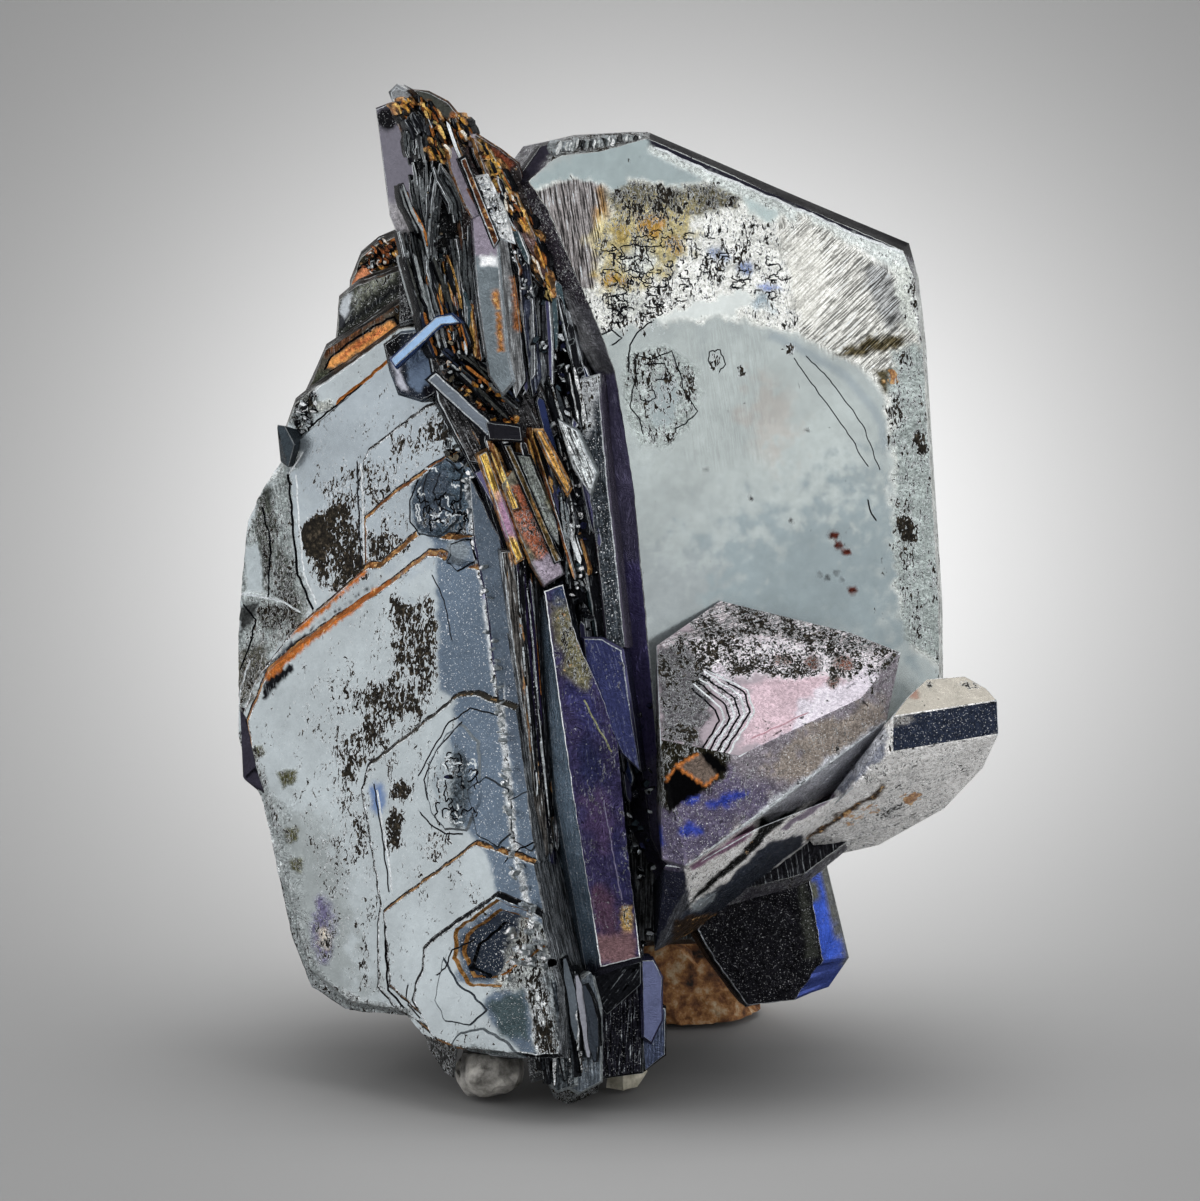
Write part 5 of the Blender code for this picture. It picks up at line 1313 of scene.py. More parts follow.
# Long thin crystals that face the viewer: point on the face, azimuth, lean, thickness, outline, front, rim,
# and then any patches.
SPINE_LATHS = [
    ((-5.9, -9.0, 34.4), 5, 9, 5.5,
     [(-10.5, 41.4), (-8.7, 44.2), (-5.8, 43.6), (-2.7, 42.4), (-1.3, 37.0), (-0.5, 29.0), (-0.4, 18.0),
      (-0.6, 10.0), (-4.0, 10.0), (-5.0, 20.0), (-6.7, 32.6), (-8.1, 36.7)], BLACK, BLACK,
     ("look", look((70, 86, 96), rough=0.3, painted_glints=0.4, mottle=0.1), 8,
      [(516, 846), (556, 846), (600, 1000), (530, 1000)])),
    ((-7.6, -10.25, 26.8), -12, 9, 3.0,
     [(-8.7, 36.6), (-7.0, 33.2), (-6.1, 28.6), (-5.3, 24.0), (-4.6, 19.4), (-4.0, 14.7), (-5.3, 14.8),
      (-6.3, 19.3), (-7.1, 24.5), (-7.7, 29.7), (-8.4, 33.1)],
     look((92, 104, 118), rough=0.1, painted_glints=0.4), VIOLET),
    ((-5.8, -11.3, 27.6), 5, 9, 2.4,
     [(-6.8, 32.7), (-6.3, 32.7), (-5.5, 27.6), (-4.6, 20.7), (-4.1, 15.4), (-4.3, 14.7), (-4.7, 15.4),
      (-5.3, 21.8), (-6.1, 27.1)], look((84, 82, 80), rough=0.4, striae=1.0, stain=0.34), LAYERS),
    ((-5.8, -11.0, 27.6), 5, 9, 2.4,
     [(-6.1, 32.0), (-5.7, 31.6), (-4.7, 26.4), (-4.0, 20.6), (-3.8, 15.9), (-4.0, 14.7), (-4.3, 18.3),
      (-4.9, 22.9), (-5.4, 27.6)], look((70, 66, 62), rough=0.5, striae=1.0, stain=0.3), LAYERS),
    ((-5.8, -10.8, 27.5), 5, 9, 2.4,
     [(-5.5, 31.4), (-5.0, 31.0), (-4.3, 27.5), (-3.9, 22.9), (-3.5, 18.2), (-3.6, 15.3), (-3.9, 17.0),
      (-4.2, 22.3), (-4.7, 26.4)], look((70, 68, 72), rough=0.4, striae=1.0, stain=0.2), BLACK),
    ((-5.7, -10.7, 34.6), 5, 9, 2.0, [(-8.1, 38.4), (-7.75, 38.6), (-5.65, 32.5), (-5.95, 32.3)],
     look((232, 184, 92), stain=0.2, rough=0.6, striae=0.9), BROWN,
     ("look", look((168, 132, 160), rough=0.4), 8, [(494, 492), (510, 492), (520, 540), (506, 540)])),
    ((-5.7, -10.75, 34.6), -8, 9, 2.0, [(-7.5, 38.5), (-7.2, 38.6), (-5.9, 35.4), (-6.2, 35.3)],
     look((236, 190, 104), stain=0.2, rough=0.6, striae=0.9), BROWN),
    ((-5.7, -10.5, 34.6), 8, 9, 2.0,
     [(-6.8, 36.7), (-6.2, 37.5), (-5.2, 36.0), (-3.6, 32.3), (-3.3, 31.5), (-4.3, 30.9), (-5.0, 32.0),
      (-6.1, 34.6)], look((128, 124, 110), stain=0.3, rough=0.7), BROWN,
     ("look", look((184, 112, 84), rough=1.0, mottle=0.3, painted_glints=0.4), 5,
      [(506, 486), (524, 478), (545, 516), (558, 552), (540, 562), (518, 528)]),
     ("look", look((156, 146, 160), rough=0.5), 3, [(532, 562), (556, 548), (570, 580), (548, 596)])),
    ((-5.8, -10.0, 34.5), 15, 9, 2.0,
     [(-5.8, 37.9), (-5.2, 37.9), (-2.6, 31.5), (-2.7, 30.4), (-3.4, 31.6)], BLACK, BLACK),
    ((-5.7, -10.7, 34.6), 6, 9, 2.0,
     [(-5.9, 38.4), (-5.2, 38.3), (-3.7, 34.6), (-3.5, 33.2), (-4.2, 34.2)],
     look((128, 134, 130), rough=0.8, mottle=0.3, striae=0.5), BLACK,
     ("look", look((92, 84, 52), rough=0.8), 6, [(530, 440), (548, 436), (566, 500), (550, 510)])),
    ((-5.7, -10.95, 34.7), 5, 9, 2.0, [(-6.6, 39.0), (-6.35, 39.0), (-3.45, 32.4), (-3.7, 32.3)],
     look((96, 80, 52), stain=0.4, rough=1.0, striae=0.9), BLACK),
    ((-5.7, -10.8, 34.7), 2, 9, 2.0,
     [(-4.75, 39.8), (-4.5, 39.8), (-2.85, 36.6), (-3.0, 36.3), (-3.9, 37.9)],
     look((212, 158, 84), stain=0.2, rough=0.8, striae=0.6), BROWN),
    ((-5.7, -10.55, 34.6), 18, 9, 2.0,
     [(-3.4, 37.1), (-2.7, 36.7), (-1.8, 32.3), (-1.5, 29.9), (-2.2, 31.0), (-3.0, 34.0)],
     look((204, 208, 210), rough=0.9, striae=1.0, mottle=0.2), GREY),
    ((-5.7, -10.2, 34.6), 12, 9, 2.0,
     [(-2.9, 38.0), (-1.8, 37.2), (-0.9, 33.3), (-0.6, 27.5), (-1.1, 26.9), (-1.6, 29.9), (-2.3, 34.5)],
     BLACK, look((60, 74, 78), striae=0.4)),
    ((-5.8, -9.25, 34.4), -10, 9, 2.5,
     [(-2.7, 42.4), (-1.3, 42.8), (-0.8, 37.2), (-0.2, 32.0), (0.3, 27.3), (-0.6, 27.0), (-1.1, 32.0),
      (-1.8, 37.2)], look((62, 68, 74), rough=0.9, painted_glints=1.0, striae=0.4),
     look((78, 74, 88), rough=0.3),
     ("look", look((170, 174, 178), rough=0.8, mottle=0.4), 6,
      [(560, 340), (600, 350), (602, 380), (590, 440), (572, 420)])),
    ((-5.7, -10.8, 34.7), -6, 12, 2.0,
     [(-3.5, 40.4), (-2.5, 39.8), (-1.4, 37.5), (-1.7, 36.4), (-2.6, 37.8)],
     look((196, 202, 204), rough=1.0, mottle=0.24, striae=1.0), GREY),
    ((-5.8, -10.1, 34.5), -15, 9, 1.5, [(-8.35, 37.1), (-8.05, 37.3), (-5.8, 33.4), (-5.95, 33.1)],
     look((104, 100, 134), rough=0.1), VIOLET),
    ((-5.8, -9.6, 34.5), 0, 9, 3.5,
     [(-11.6, 47.2), (-8.7, 47.8), (-4.6, 42.6), (-3.4, 39.7), (-5.8, 37.4), (-8.7, 37.9), (-10.5, 41.4)],
     look((72, 72, 74), rough=0.9, striae=0.9, stain=0.3, painted_glints=0.6), BLACK),
    ((-5.6, -11.6, 34.9), 5, 9, 1.4, [(-11.0, 43.0), (-10.65, 43.3), (-7.15, 40.1), (-7.5, 39.75)],
     look((112, 120, 130), rough=0.1), look((34, 36, 42), rough=0.1)),
    ((-5.6, -11.7, 34.8), 5, 9, 2.4, [(-7.7, 40.5), (-5.8, 40.2), (-5.7, 39.5), (-7.5, 39.6)], COAL,
     COAL),
    ((-6.4, -12.1, 34.9), -15, 9, 1.1,
     [(-13.25, 43.85), (-10.65, 46.35), (-9.8, 46.55), (-9.4, 46.2), (-10.4, 46.05), (-13.05, 43.55)],
     look((158, 192, 232), rough=0.05), look((62, 84, 132), rough=0.1)),
    ((-6.2, -10.9, 34.7), -20, 9, 4.0,
     [(-13.7, 44.3), (-12.8, 45.0), (-10.5, 45.4), (-9.6, 44.6), (-10.3, 42.1), (-11.6, 41.3),
      (-12.9, 41.6), (-13.4, 42.9)], look((40, 44, 52), rough=0.4, painted_glints=0.4),
     look((78, 86, 96), striae=0.6),
     ("look", look((24, 24, 26), rough=0.6, painted_glints=0.5), 2,
      [(380, 330), (400, 328), (400, 350), (388, 362), (378, 356)]),
     ("look", look((176, 178, 190), rough=0.2), 2,
      [(390, 360), (403, 357), (400, 372), (408, 392), (400, 388)]),
     ("look", look((92, 106, 126), rough=0.15), 2,
      [(406, 356), (420, 350), (434, 362), (432, 380), (418, 394), (410, 386)]),
     ("look", look((20, 20, 24), rough=0.2, painted_glints=0.3), 3, oval(434, 392, 10, 13))),
    ((-0.5, -12.2, 24.8), -8, 10, 3.0,
     [(-2.0, 27.7), (-1.0, 27.7), (0.1, 27.1), (0.7, 23.2), (1.2, 20.3), (0.2, 21.3), (-0.7, 23.2),
      (-1.7, 25.3)], look((52, 56, 90), rough=0.3, mottle=0.16, striae=0.2), VIOLET),
    ((0.1, -13.9, 4.1), 5, 5, 4.0, [(-1.1, 9.0), (1.3, 9.4), (1.3, 2.2), (-1.1, 1.9)],
     look((36, 36, 42), rough=0.3, striae=0.9, painted_glints=0.3), BLACK),
    ((2.0, -14.2, 6.6), 8, 8, 3.0,
     [(1.4, 8.9), (2.0, 8.9), (2.5, 7.9), (2.5, 5.4), (1.9, 4.2), (1.5, 4.5)],
     look((96, 102, 134), rough=0.15), VIOLET),
    ((2.0, -13.2, 3.3), 12, 5, 3.0, [(1.3, 6.0), (2.7, 5.7), (2.7, 3.0), (1.6, 2.2)],
     look((74, 82, 104), rough=0.3, striae=0.5), BLACK),
    ((-3.1, -16.2, 4.7), -8, 9, 4.0,
     [(-4.8, 8.5), (-3.4, 9.5), (-2.9, 7.9), (-2.6, 2.2), (-3.6, 1.8), (-4.3, 2.5), (-4.8, 5.3)],
     look((70, 76, 80), rough=0.95, mottle=0.3, striae=0.6), GREY),
    ((-3.1, -15.9, 4.7), 10, 9, 4.5,
     [(-3.2, 8.3), (-2.5, 7.9), (-1.6, 8.5), (-1.1, 6.5), (-1.1, 2.2), (-2.3, 1.6), (-3.0, 2.0)],
     look((96, 104, 112), rough=0.4, mottle=0.2, striae=0.5), GREY),
]
TOWER_GOLD = look((176, 116, 50), stain=0.4, rough=0.9, mottle=0.3)
TOWER_LATHS = [
    ((-4.9, -7.8, 34.3), -25, 6, 3.0,
     [(-14.3, 57.4), (-13.6, 57.7), (-12.9, 56.3), (-12.4, 54.3), (-11.4, 54.1), (-10.2, 50.6),
      (-10.2, 46.0), (-12.9, 45.0), (-13.0, 50.1), (-13.5, 51.3), (-13.9, 54.5)],
     look((112, 110, 120), rough=0.12), look((80, 78, 88), rough=0.3),
     ("look", look((26, 26, 28), rough=0.2, painted_glints=0.4), 3, oval(387, 118, 11, 13)),
     ("look", look((150, 148, 152), rough=0.5), 12, [(388, 205), (420, 200), (424, 244), (388, 240)]),
     ("look", look((40, 40, 42), rough=1.0, mottle=0.3, painted_glints=0.7), 5,
      [(376, 236), (404, 232), (450, 250), (450, 440), (376, 440)])),
    ((-5.7, -9.4, 34.4), -5, 9, 4.5,
     [(-13.3, 59.0), (-13.0, 59.3), (-12.2, 58.9), (-10.2, 55.7), (-9.3, 52.6), (-8.7, 49.4),
      (-8.1, 44.8), (-10.5, 42.0), (-10.8, 49.4), (-11.4, 53.4), (-12.5, 56.9)],
     look((48, 50, 52), rough=1.0, painted_glints=0.8), BLACK,
     ("look", look((138, 142, 146), rough=0.3), 3,
      [(388, 106), (392, 84), (404, 84), (416, 98), (402, 104)]),
     ("look", TOWER_GOLD, 3, [(394, 104), (416, 96), (418, 102), (402, 114), (396, 112)]),
     ("look", TOWER_GOLD, 3, [(402, 118), (408, 120), (418, 136), (412, 138)])),
    ((-5.8, -9.6, 34.5), 10, 9, 4.5,
     [(-11.9, 59.4), (-11.1, 59.2), (-10.0, 58.6), (-8.6, 56.9), (-6.9, 55.8), (-5.9, 55.0), (-4.6, 50.0),
      (-4.2, 44.0), (-8.4, 44.0), (-9.0, 50.0), (-9.8, 57.5)],
     look((58, 54, 54), rough=1.0, stain=0.28, painted_glints=0.6), look((84, 62, 50), stain=0.4, rough=0.9),
     ("look", look((70, 72, 68), rough=0.3), 3,
      [(412, 92), (428, 90), (458, 112), (450, 120), (420, 100)]),
     ("look", TOWER_GOLD, 4, [(420, 100), (430, 104), (444, 128), (440, 138), (426, 118)]),
     ("look", TOWER_GOLD, 4, oval(436, 148, 13, 12)),
     ("look", look((160, 100, 58), stain=0.4, rough=1.0), 3,
      [(450, 114), (460, 113), (472, 134), (466, 144), (452, 136)]),
     ("look", look((170, 166, 176), rough=0.2), 3, [(468, 132), (476, 134), (479, 146), (471, 146)]),
     ("look", look((112, 88, 86), rough=0.5, striae=0.5), 4,
      [(467, 148), (478, 146), (504, 196), (500, 208), (484, 186)]),
     ("look", look((168, 134, 66), rough=1.0, stain=0.3), 3,
      [(477, 141), (486, 144), (504, 182), (528, 222), (524, 230), (496, 190)]),
     ("look", look((140, 78, 56), rough=0.8), 3, [(488, 144), (516, 164), (506, 170), (494, 156)])),
    ((-5.7, -10.5, 34.6), 0, 9, 2.0,
     [(-10.0, 56.0), (-9.5, 56.2), (-8.4, 53.8), (-7.9, 52.2), (-8.2, 51.6), (-8.9, 52.8), (-9.7, 54.7)],
     look((128, 122, 134), rough=0.2), ORANGE),
    ((-5.7, -11.2, 34.7), -6, 9, 2.4,
     [(-8.5, 52.0), (-7.9, 52.3), (-7.1, 50.3), (-6.9, 47.5), (-6.5, 44.0), (-6.2, 42.8), (-6.8, 42.1),
      (-7.5, 43.1), (-7.9, 45.8), (-8.3, 49.2)], look((118, 128, 134), rough=0.12),
     look((130, 138, 144), rough=0.2),
     ("look", look((140, 132, 146), rough=0.2), 2, [(470, 215), (498, 215), (498, 256), (470, 256)]),
     # A painted highlight across the lath.
     ("look", look((250, 252, 255), rough=0.2), 2, [(480, 257), (498, 256), (498, 265), (480, 266)]),
     ("look", look((170, 112, 56), stain=0.45, rough=0.8), 2,
      [(493, 292), (499, 290), (504, 350), (498, 352)])),
    ((-5.7, -10.6, 34.6), 12, 9, 2.0,
     [(-7.0, 50.9), (-6.5, 50.7), (-6.0, 47.3), (-5.7, 44.8), (-5.5, 42.7), (-6.0, 41.8), (-6.5, 44.5),
      (-6.8, 47.9)], look((112, 114, 116), rough=0.4, striae=0.6), BLACK,
     ("look", look((150, 92, 48), stain=0.45, rough=0.8), 3,
      [(512, 276), (522, 276), (524, 330), (514, 330)])),
    ((-5.7, -10.3, 34.6), 20, 9, 2.0,
     [(-5.9, 50.2), (-5.3, 49.8), (-4.8, 46.1), (-4.5, 42.7), (-5.0, 41.7), (-5.5, 45.6)],
     look((56, 60, 74), rough=0.4, striae=0.8), BLACK),
    ((-5.7, -10.35, 34.6), 14, 9, 2.0,
     [(-8.4, 56.6), (-7.5, 55.9), (-6.0, 53.3), (-5.1, 51.3), (-4.3, 49.5), (-4.0, 48.1), (-4.8, 49.0),
      (-6.1, 51.6), (-7.5, 54.1)], look((104, 84, 82), stain=0.22, rough=0.7, striae=0.5), BROWN,
     ("look", look((168, 134, 66), rough=1.0, stain=0.3), 3,
      [(478, 140), (488, 144), (508, 182), (532, 222), (530, 236), (496, 190)])),
    ((-5.7, -10.85, 34.7), 3, 9, 2.0,
     [(-8.3, 54.4), (-7.7, 54.5), (-6.6, 52.3), (-6.2, 50.8), (-6.9, 51.0), (-7.7, 52.8)],
     look((220, 224, 226), rough=1.0, mottle=0.4), WHITE),
    ((-5.7, -11.0, 34.7), 8, 9, 1.8, [(-9.15, 55.5), (-8.95, 55.6), (-7.05, 50.9), (-7.25, 50.6)],
     look((84, 54, 38), stain=0.4, rough=1.0), BLACK),
    ((-5.7, -10.7, 34.6), -12, 9, 2.0,
     [(-9.5, 50.9), (-8.9, 50.6), (-8.4, 47.4), (-8.2, 44.5), (-8.9, 43.4), (-9.4, 46.8)],
     look((58, 56, 60), rough=0.6, striae=0.8), BLACK),
]


def lath(number, row):
    """One long thin crystal of a table."""
    point, azimuth, lean, thickness, outline, front, rim, *patches = row
    face = Face(point, azimuth, lean)
    # Its face and rim edges carry a painted highlight.
    return plate(face, outline, thickness, 0.22, front, bevel=0.16, patches=patches, rim=rim, rim_patches=patches,
                 relief=Relief(face, coarse=0.14), step=0.22, layers=0.06,
                 glint=look((176, 182, 186), rough=0.5), seed=number)


def share_of(line, share):
    """The point at a share of a line's length."""
    line = np.array(line, float)
    steps = np.linalg.norm(np.diff(line, axis=0), axis=1)
    place = share * steps.sum()
    ends = np.concatenate(([0.0], np.cumsum(steps)))
    return np.array([np.interp(place, ends, line[:, axis]) for axis in (0, 1)])


def sliver(base, corners, middle, level, turn, tip, looks, seed, thickness=1.0):
    """A small crystal whose corners are pixels, on a face turned and tipped from the base face."""
    pivot = base.place([base.seen(*middle)], level)[0]
    face = Face(pivot, base.azimuth + turn, base.lean + tip)
    outline = [tuple(face.place([face.seen(*corner)])[0][[0, 2]]) for corner in corners]
    front, rim, glint = looks
    return plate(face, outline, thickness, thickness * 0.12, front, bevel=thickness * 0.06, rim=rim, glint=glint,
                 relief=Relief(face, coarse=0.12), step=0.28, layers=0.05, seed=seed)


def bundle(base, tops, feet, count, widths, lengths, levels, turns, palette, seed):
    """Thin laths side by side that run between two lines of the photograph.

    Widths are in pixels, lengths are shares of the run, and levels are heights above the base face.
    """
    chance = np.random.default_rng(seed)
    made = []
    for number in range(count):
        share = (number + chance.uniform(0.1, 0.9)) / count
        top = share_of(tops, share)
        run = share_of(feet, share) - top
        length = chance.uniform(*lengths)
        start = chance.uniform(0.0, 1.0 - length)
        a = top + run * start
        b = top + run * (start + length)
        side = np.array((-run[1], run[0])) / np.linalg.norm(run) * chance.uniform(*widths) * 0.5
        tip = run * 0.03
        middle = (a + b) * 0.5 + side * chance.uniform(-1.5, 1.5)
        corners = [a - side, a + side * 0.2 - tip, a + side, middle + side, b + side * 0.7, b + tip,
                   b - side * 0.8, middle - side]
        level = chance.uniform(*levels)
        turn = turns[chance.integers(len(turns))]
        made.append(sliver(base, corners, middle, level, turn, 0.0, palette[chance.integers(len(palette))],
                           number))
    return made


RIB_SWELL = np.array((0.3, 0.9, 1.0, 1.0, 0.8, 0.25))[:, None]


def ribs(base, left, right, count, widths, levels, palette, seed):
    """Thin curved ridges side by side between two lines of the photograph."""
    chance = np.random.default_rng(seed)
    made = []
    for number in range(count):
        share = (number + chance.uniform(0.2, 0.8)) / count
        line = np.array(left, float) * (1.0 - share) + np.array(right, float) * share
        first = chance.uniform(0.0, 0.3)
        last = chance.uniform(0.65, 1.0)
        line = np.array([share_of(line, part) for part in np.linspace(first, last, len(RIB_SWELL))])
        line += chance.normal(0.0, 0.5, line.shape)
        side = beside(line, chance.uniform(*widths)) * RIB_SWELL
        corners = np.concatenate((line + side, (line - side)[::-1]))
        made.append(sliver(base, corners, line[3], chance.uniform(*levels), chance.uniform(-30.0, 30.0), 0.0,
                           palette[chance.integers(len(palette))], number))
    return made


def chips(base, zone, count, sizes, levels, palette, seed, ground=None):
    """Small tilted crystals strewn over a zone of the photograph. Sizes are half-lengths in pixels."""
    chance = np.random.default_rng(seed + 100)
    zone = np.array(zone, float)
    made = []
    while len(made) < count:
        middle = chance.uniform(zone.min(0), zone.max(0))
        if edge_distance(middle[None], zone, 1.0)[0] < 0.0:
            continue
        along = toward(chance.uniform(0.0, pi)) * chance.uniform(*sizes)
        across = np.array((-along[1], along[0])) * chance.uniform(0.3, 0.8)
        angles = (np.arange(5) + chance.uniform(-0.35, 0.35, 5)) * pi / 2.5
        corners = [middle + along * cos(angle) + across * sin(angle) for angle in angles]
        level = chance.uniform(*levels) + (ground(middle) if ground else 0.0)
        turn = chance.uniform(-35.0, 35.0)
        tip = chance.uniform(-20.0, 30.0)
        looks = palette[chance.integers(len(palette))]
        made.append(sliver(base, corners, middle, level, turn, tip, looks, len(made), chance.uniform(0.3, 0.5)))
    return made


PURPLE_OUTLINE = [
    (-4.3, 30.6), (-3.3, 30.9), (-2.5, 27.8), (-1.1, 24.7), (-0.1, 21.9), (0.5, 15.6), (1.2, 9.5),
    (-1.0, 9.1), (-2.6, 18.6),
]
PURPLE_WIDEST = [
    (-4.6, 29.8), (-3.3, 31.1), (-2.3, 27.8), (-0.9, 24.6), (0.0, 21.8), (0.7, 15.3), (1.4, 8.8),
    (-1.8, 8.1), (-3.7, 18.4),
]
PURPLE_PATCHES = [
    ("tone", (56, 66, 92), 14, oval(566, 600, 14, 24, -14)),
    ("tone", (58, 58, 98), 14, oval(584, 700, 12, 34, -12)),
    ("tone", (48, 50, 80), 16, oval(592, 770, 12, 34, -10)),
    ("tone", (74, 62, 92), 14, oval(600, 820, 14, 36, -8)),
    ("tone", (52, 52, 86), 14, oval(624, 870, 10, 36, -6)),
    ("tone", (84, 64, 82), 14, oval(606, 915, 12, 26, -6)),
    ("look", look((112, 108, 84), rough=0.8, stain=0.3, mottle=0.35), 12,
     [(552, 606), (576, 606), (592, 660), (586, 690), (566, 676)]),
    ("look", look((190, 156, 90), rough=0.8, stain=0.35, mottle=0.4), 3,
     [(621, 906), (630, 905), (632, 934), (625, 936)]),
    ("look", look((116, 90, 94), rough=0.4), 8, [(592, 932), (636, 934), (638, 962), (598, 962)]),
]
PURPLE_RIM_PATCHES = [
    ("look", look((80, 94, 108), rough=0.25, striae=0.15, painted_glints=0.3), 6,
     [(540, 600), (556, 640), (580, 800), (604, 962), (560, 965), (530, 820)]),
    ("look", look((70, 70, 82), rough=0.2), 6, [(598, 960), (641, 957), (640, 982), (600, 980)]),
]


def purple_prism():
    """The prism that stands at the front of the spine."""
    face = Face((-1.1, -13.6, 18.6), 12, 12)
    relief = Relief(face, (), (), [
        (0.03, 0.1, look((150, 152, 120), rough=0.5), [(584, 700), (598, 728), (612, 752)]),
        (0.02, 0.07, look((130, 126, 150), rough=0.4), [(604, 800), (612, 850), (622, 900)]),
    ], coarse=0.1)
    return plate(face, PURPLE_OUTLINE, 4.5, 1.2, look((58, 54, 84), rough=0.5, mottle=0.2, striae=0.12),
                 widest=PURPLE_WIDEST, patches=PURPLE_PATCHES, rim=look((34, 36, 44), rough=0.3, striae=0.5),
                 rim_patches=PURPLE_RIM_PATCHES, relief=relief, step=0.22, layers=0.05,
                 glint=look((232, 236, 240), rough=0.3), seed=4)


FOOT_OUTLINE = [
    (4.8, 9.3), (5.8, 10.7), (8.2, 12.1), (10.7, 12.6), (11.2, 12.9), (12.2, 7.0), (10.5, 4.7),
    (7.7, 4.6), (6.9, 5.8), (5.8, 7.4),
]
FOOT_WIDEST = [
    (4.5, 8.8), (5.6, 10.7), (8.0, 12.2), (10.9, 13.0), (12.4, 12.6), (13.8, 6.7), (12.6, 5.0),
    (7.6, 4.1), (6.7, 5.3), (5.5, 7.0),
]
FOOT_PATCHES = [
    ("look", look((60, 62, 58), rough=0.5, painted_glints=0.4), 4,
     [(798, 880), (806, 884), (820, 958), (806, 960)]),
]
FOOT_RIM_PATCHES = [
    ("look", look((104, 106, 104), rough=0.4, mottle=0.2), 4,
     [(790, 856), (826, 856), (860, 970), (846, 975), (796, 880)]),
    ("look", look((62, 92, 196), rough=0.3, mottle=0.15), 3,
     [(800, 890), (813, 872), (817, 868), (829, 907), (843, 962), (824, 966), (806, 900)]),
    ("look", look((104, 106, 92), rough=0.6), 4, oval(812, 890, 6, 12, -15)),
    ("look", look((70, 84, 150), rough=0.2), 5,
     [(795, 966), (850, 955), (840, 980), (812, 1000), (794, 1004)]),
]


def foot_crystal():
    """The dark plate at the lower right."""
    face = Face((9.0, -7.0, 9.0), 14, 4)
    return plate(face, FOOT_OUTLINE, 4.0, 1.3, look((32, 32, 36), rough=0.8, painted_glints=0.4),
                 widest=FOOT_WIDEST, patches=FOOT_PATCHES, rim=look((26, 27, 32), rough=0.5, painted_glints=0.4),
                 rim_patches=FOOT_RIM_PATCHES, relief=Relief(face, coarse=0.25), step=0.26, layers=0.04,
                 glint=look((206, 212, 220), rough=0.3), seed=5)


# The shelf's pink top.
PINK_PATCHES = [
    ("look", look((188, 180, 184), rough=0.9, striae=0.8, mottle=0.5), 8,
     [(655, 645), (690, 628), (716, 596), (800, 606), (905, 645), (895, 664), (760, 636), (690, 652)]),
    ("look", look((244, 234, 242), rough=0.5, mottle=0.56), 10,
     [(668, 650), (700, 640), (780, 640), (900, 655), (890, 682), (800, 690), (760, 672), (700, 690),
      (660, 690)]),
    ("look", look((222, 196, 206), rough=0.35, mottle=0.16), 8,
     [(742, 690), (770, 676), (850, 676), (872, 672), (864, 700), (800, 728), (742, 750)]),
    ("tone", (240, 232, 244), 7, [(800, 700), (866, 668), (890, 676), (862, 702), (790, 738)]),
    ("look", look((96, 94, 98), rough=0.7, mottle=0.5), 9,
     [(654, 650), (680, 640), (700, 660), (712, 700), (700, 745), (661, 742)]),
    ("look", look((206, 196, 206), rough=0.6, striae=0.4, mottle=0.3), 5,
     [(706, 672), (722, 664), (744, 690), (752, 714), (724, 754), (712, 748), (728, 712)]),
    ("look", look((120, 78, 62), rough=0.9, mottle=0.5), 4, oval(782, 660, 9, 6)),
    ("look", look((104, 70, 58), rough=0.9, mottle=0.5), 4, oval(812, 662, 9, 6)),
    ("look", look((130, 84, 68), rough=0.9, mottle=0.4), 4, oval(843, 663, 10, 8)),
    ("look", look((120, 84, 72), rough=0.9, mottle=0.5), 3, oval(834, 682, 5, 8, 20)),
    ("look", look((84, 80, 84), rough=0.6, mottle=0.4), 7,
     [(882, 660), (904, 650), (902, 668), (888, 690), (876, 684)]),
]
# The nested steps at the left of the shelf's top: the outer and inner end of the line that each corner
# moves along, and how far each step lies along it.
STEP_CORNERS = [((706, 668), (690, 690)), ((744, 692), (712, 712)), ((750, 712), (716, 722)),
                ((722, 756), (700, 748))]
STEP_SHARES = (0.0, 0.14, 0.3, 0.45, 0.6, 0.75, 0.9)
PINK_CRACKS = [
    (0.05, 0.12, BLACK if number % 2 == 0 else WHITE,
     [tuple(np.array(outer) * (1.0 - share) + np.array(inner) * share) for outer, inner in STEP_CORNERS])
    for number, share in enumerate(STEP_SHARES)
] + [
    (0.03, 0.12, WHITE, [(710, 672), (747, 690), (754, 712), (728, 754)]),
    (0.03, 0.1, look((190, 150, 160), rough=0.3), [(752, 738), (800, 716), (850, 700)]),
]
COPPER = look((184, 112, 56), rough=0.4)
# Painted shade for the black recess under the shelf's steps, which the hull doesn't have.
RECESS_SHADE = look((14, 14, 15), rough=0.2)
BAND = look((128, 122, 130), rough=0.5, painted_glints=0.7, mottle=0.22)
BLUE_SPECKS = look((52, 66, 150), rough=0.5, mottle=0.2)
# Nearly white: painted light on undersides that face down into shade.
UNDERSIDE_PAINTED_LIGHT = look((250, 248, 246), rough=0.6, striae=0.16, mottle=0.26)
DARK_FACET = look((44, 46, 60), rough=0.3, painted_glints=0.3)
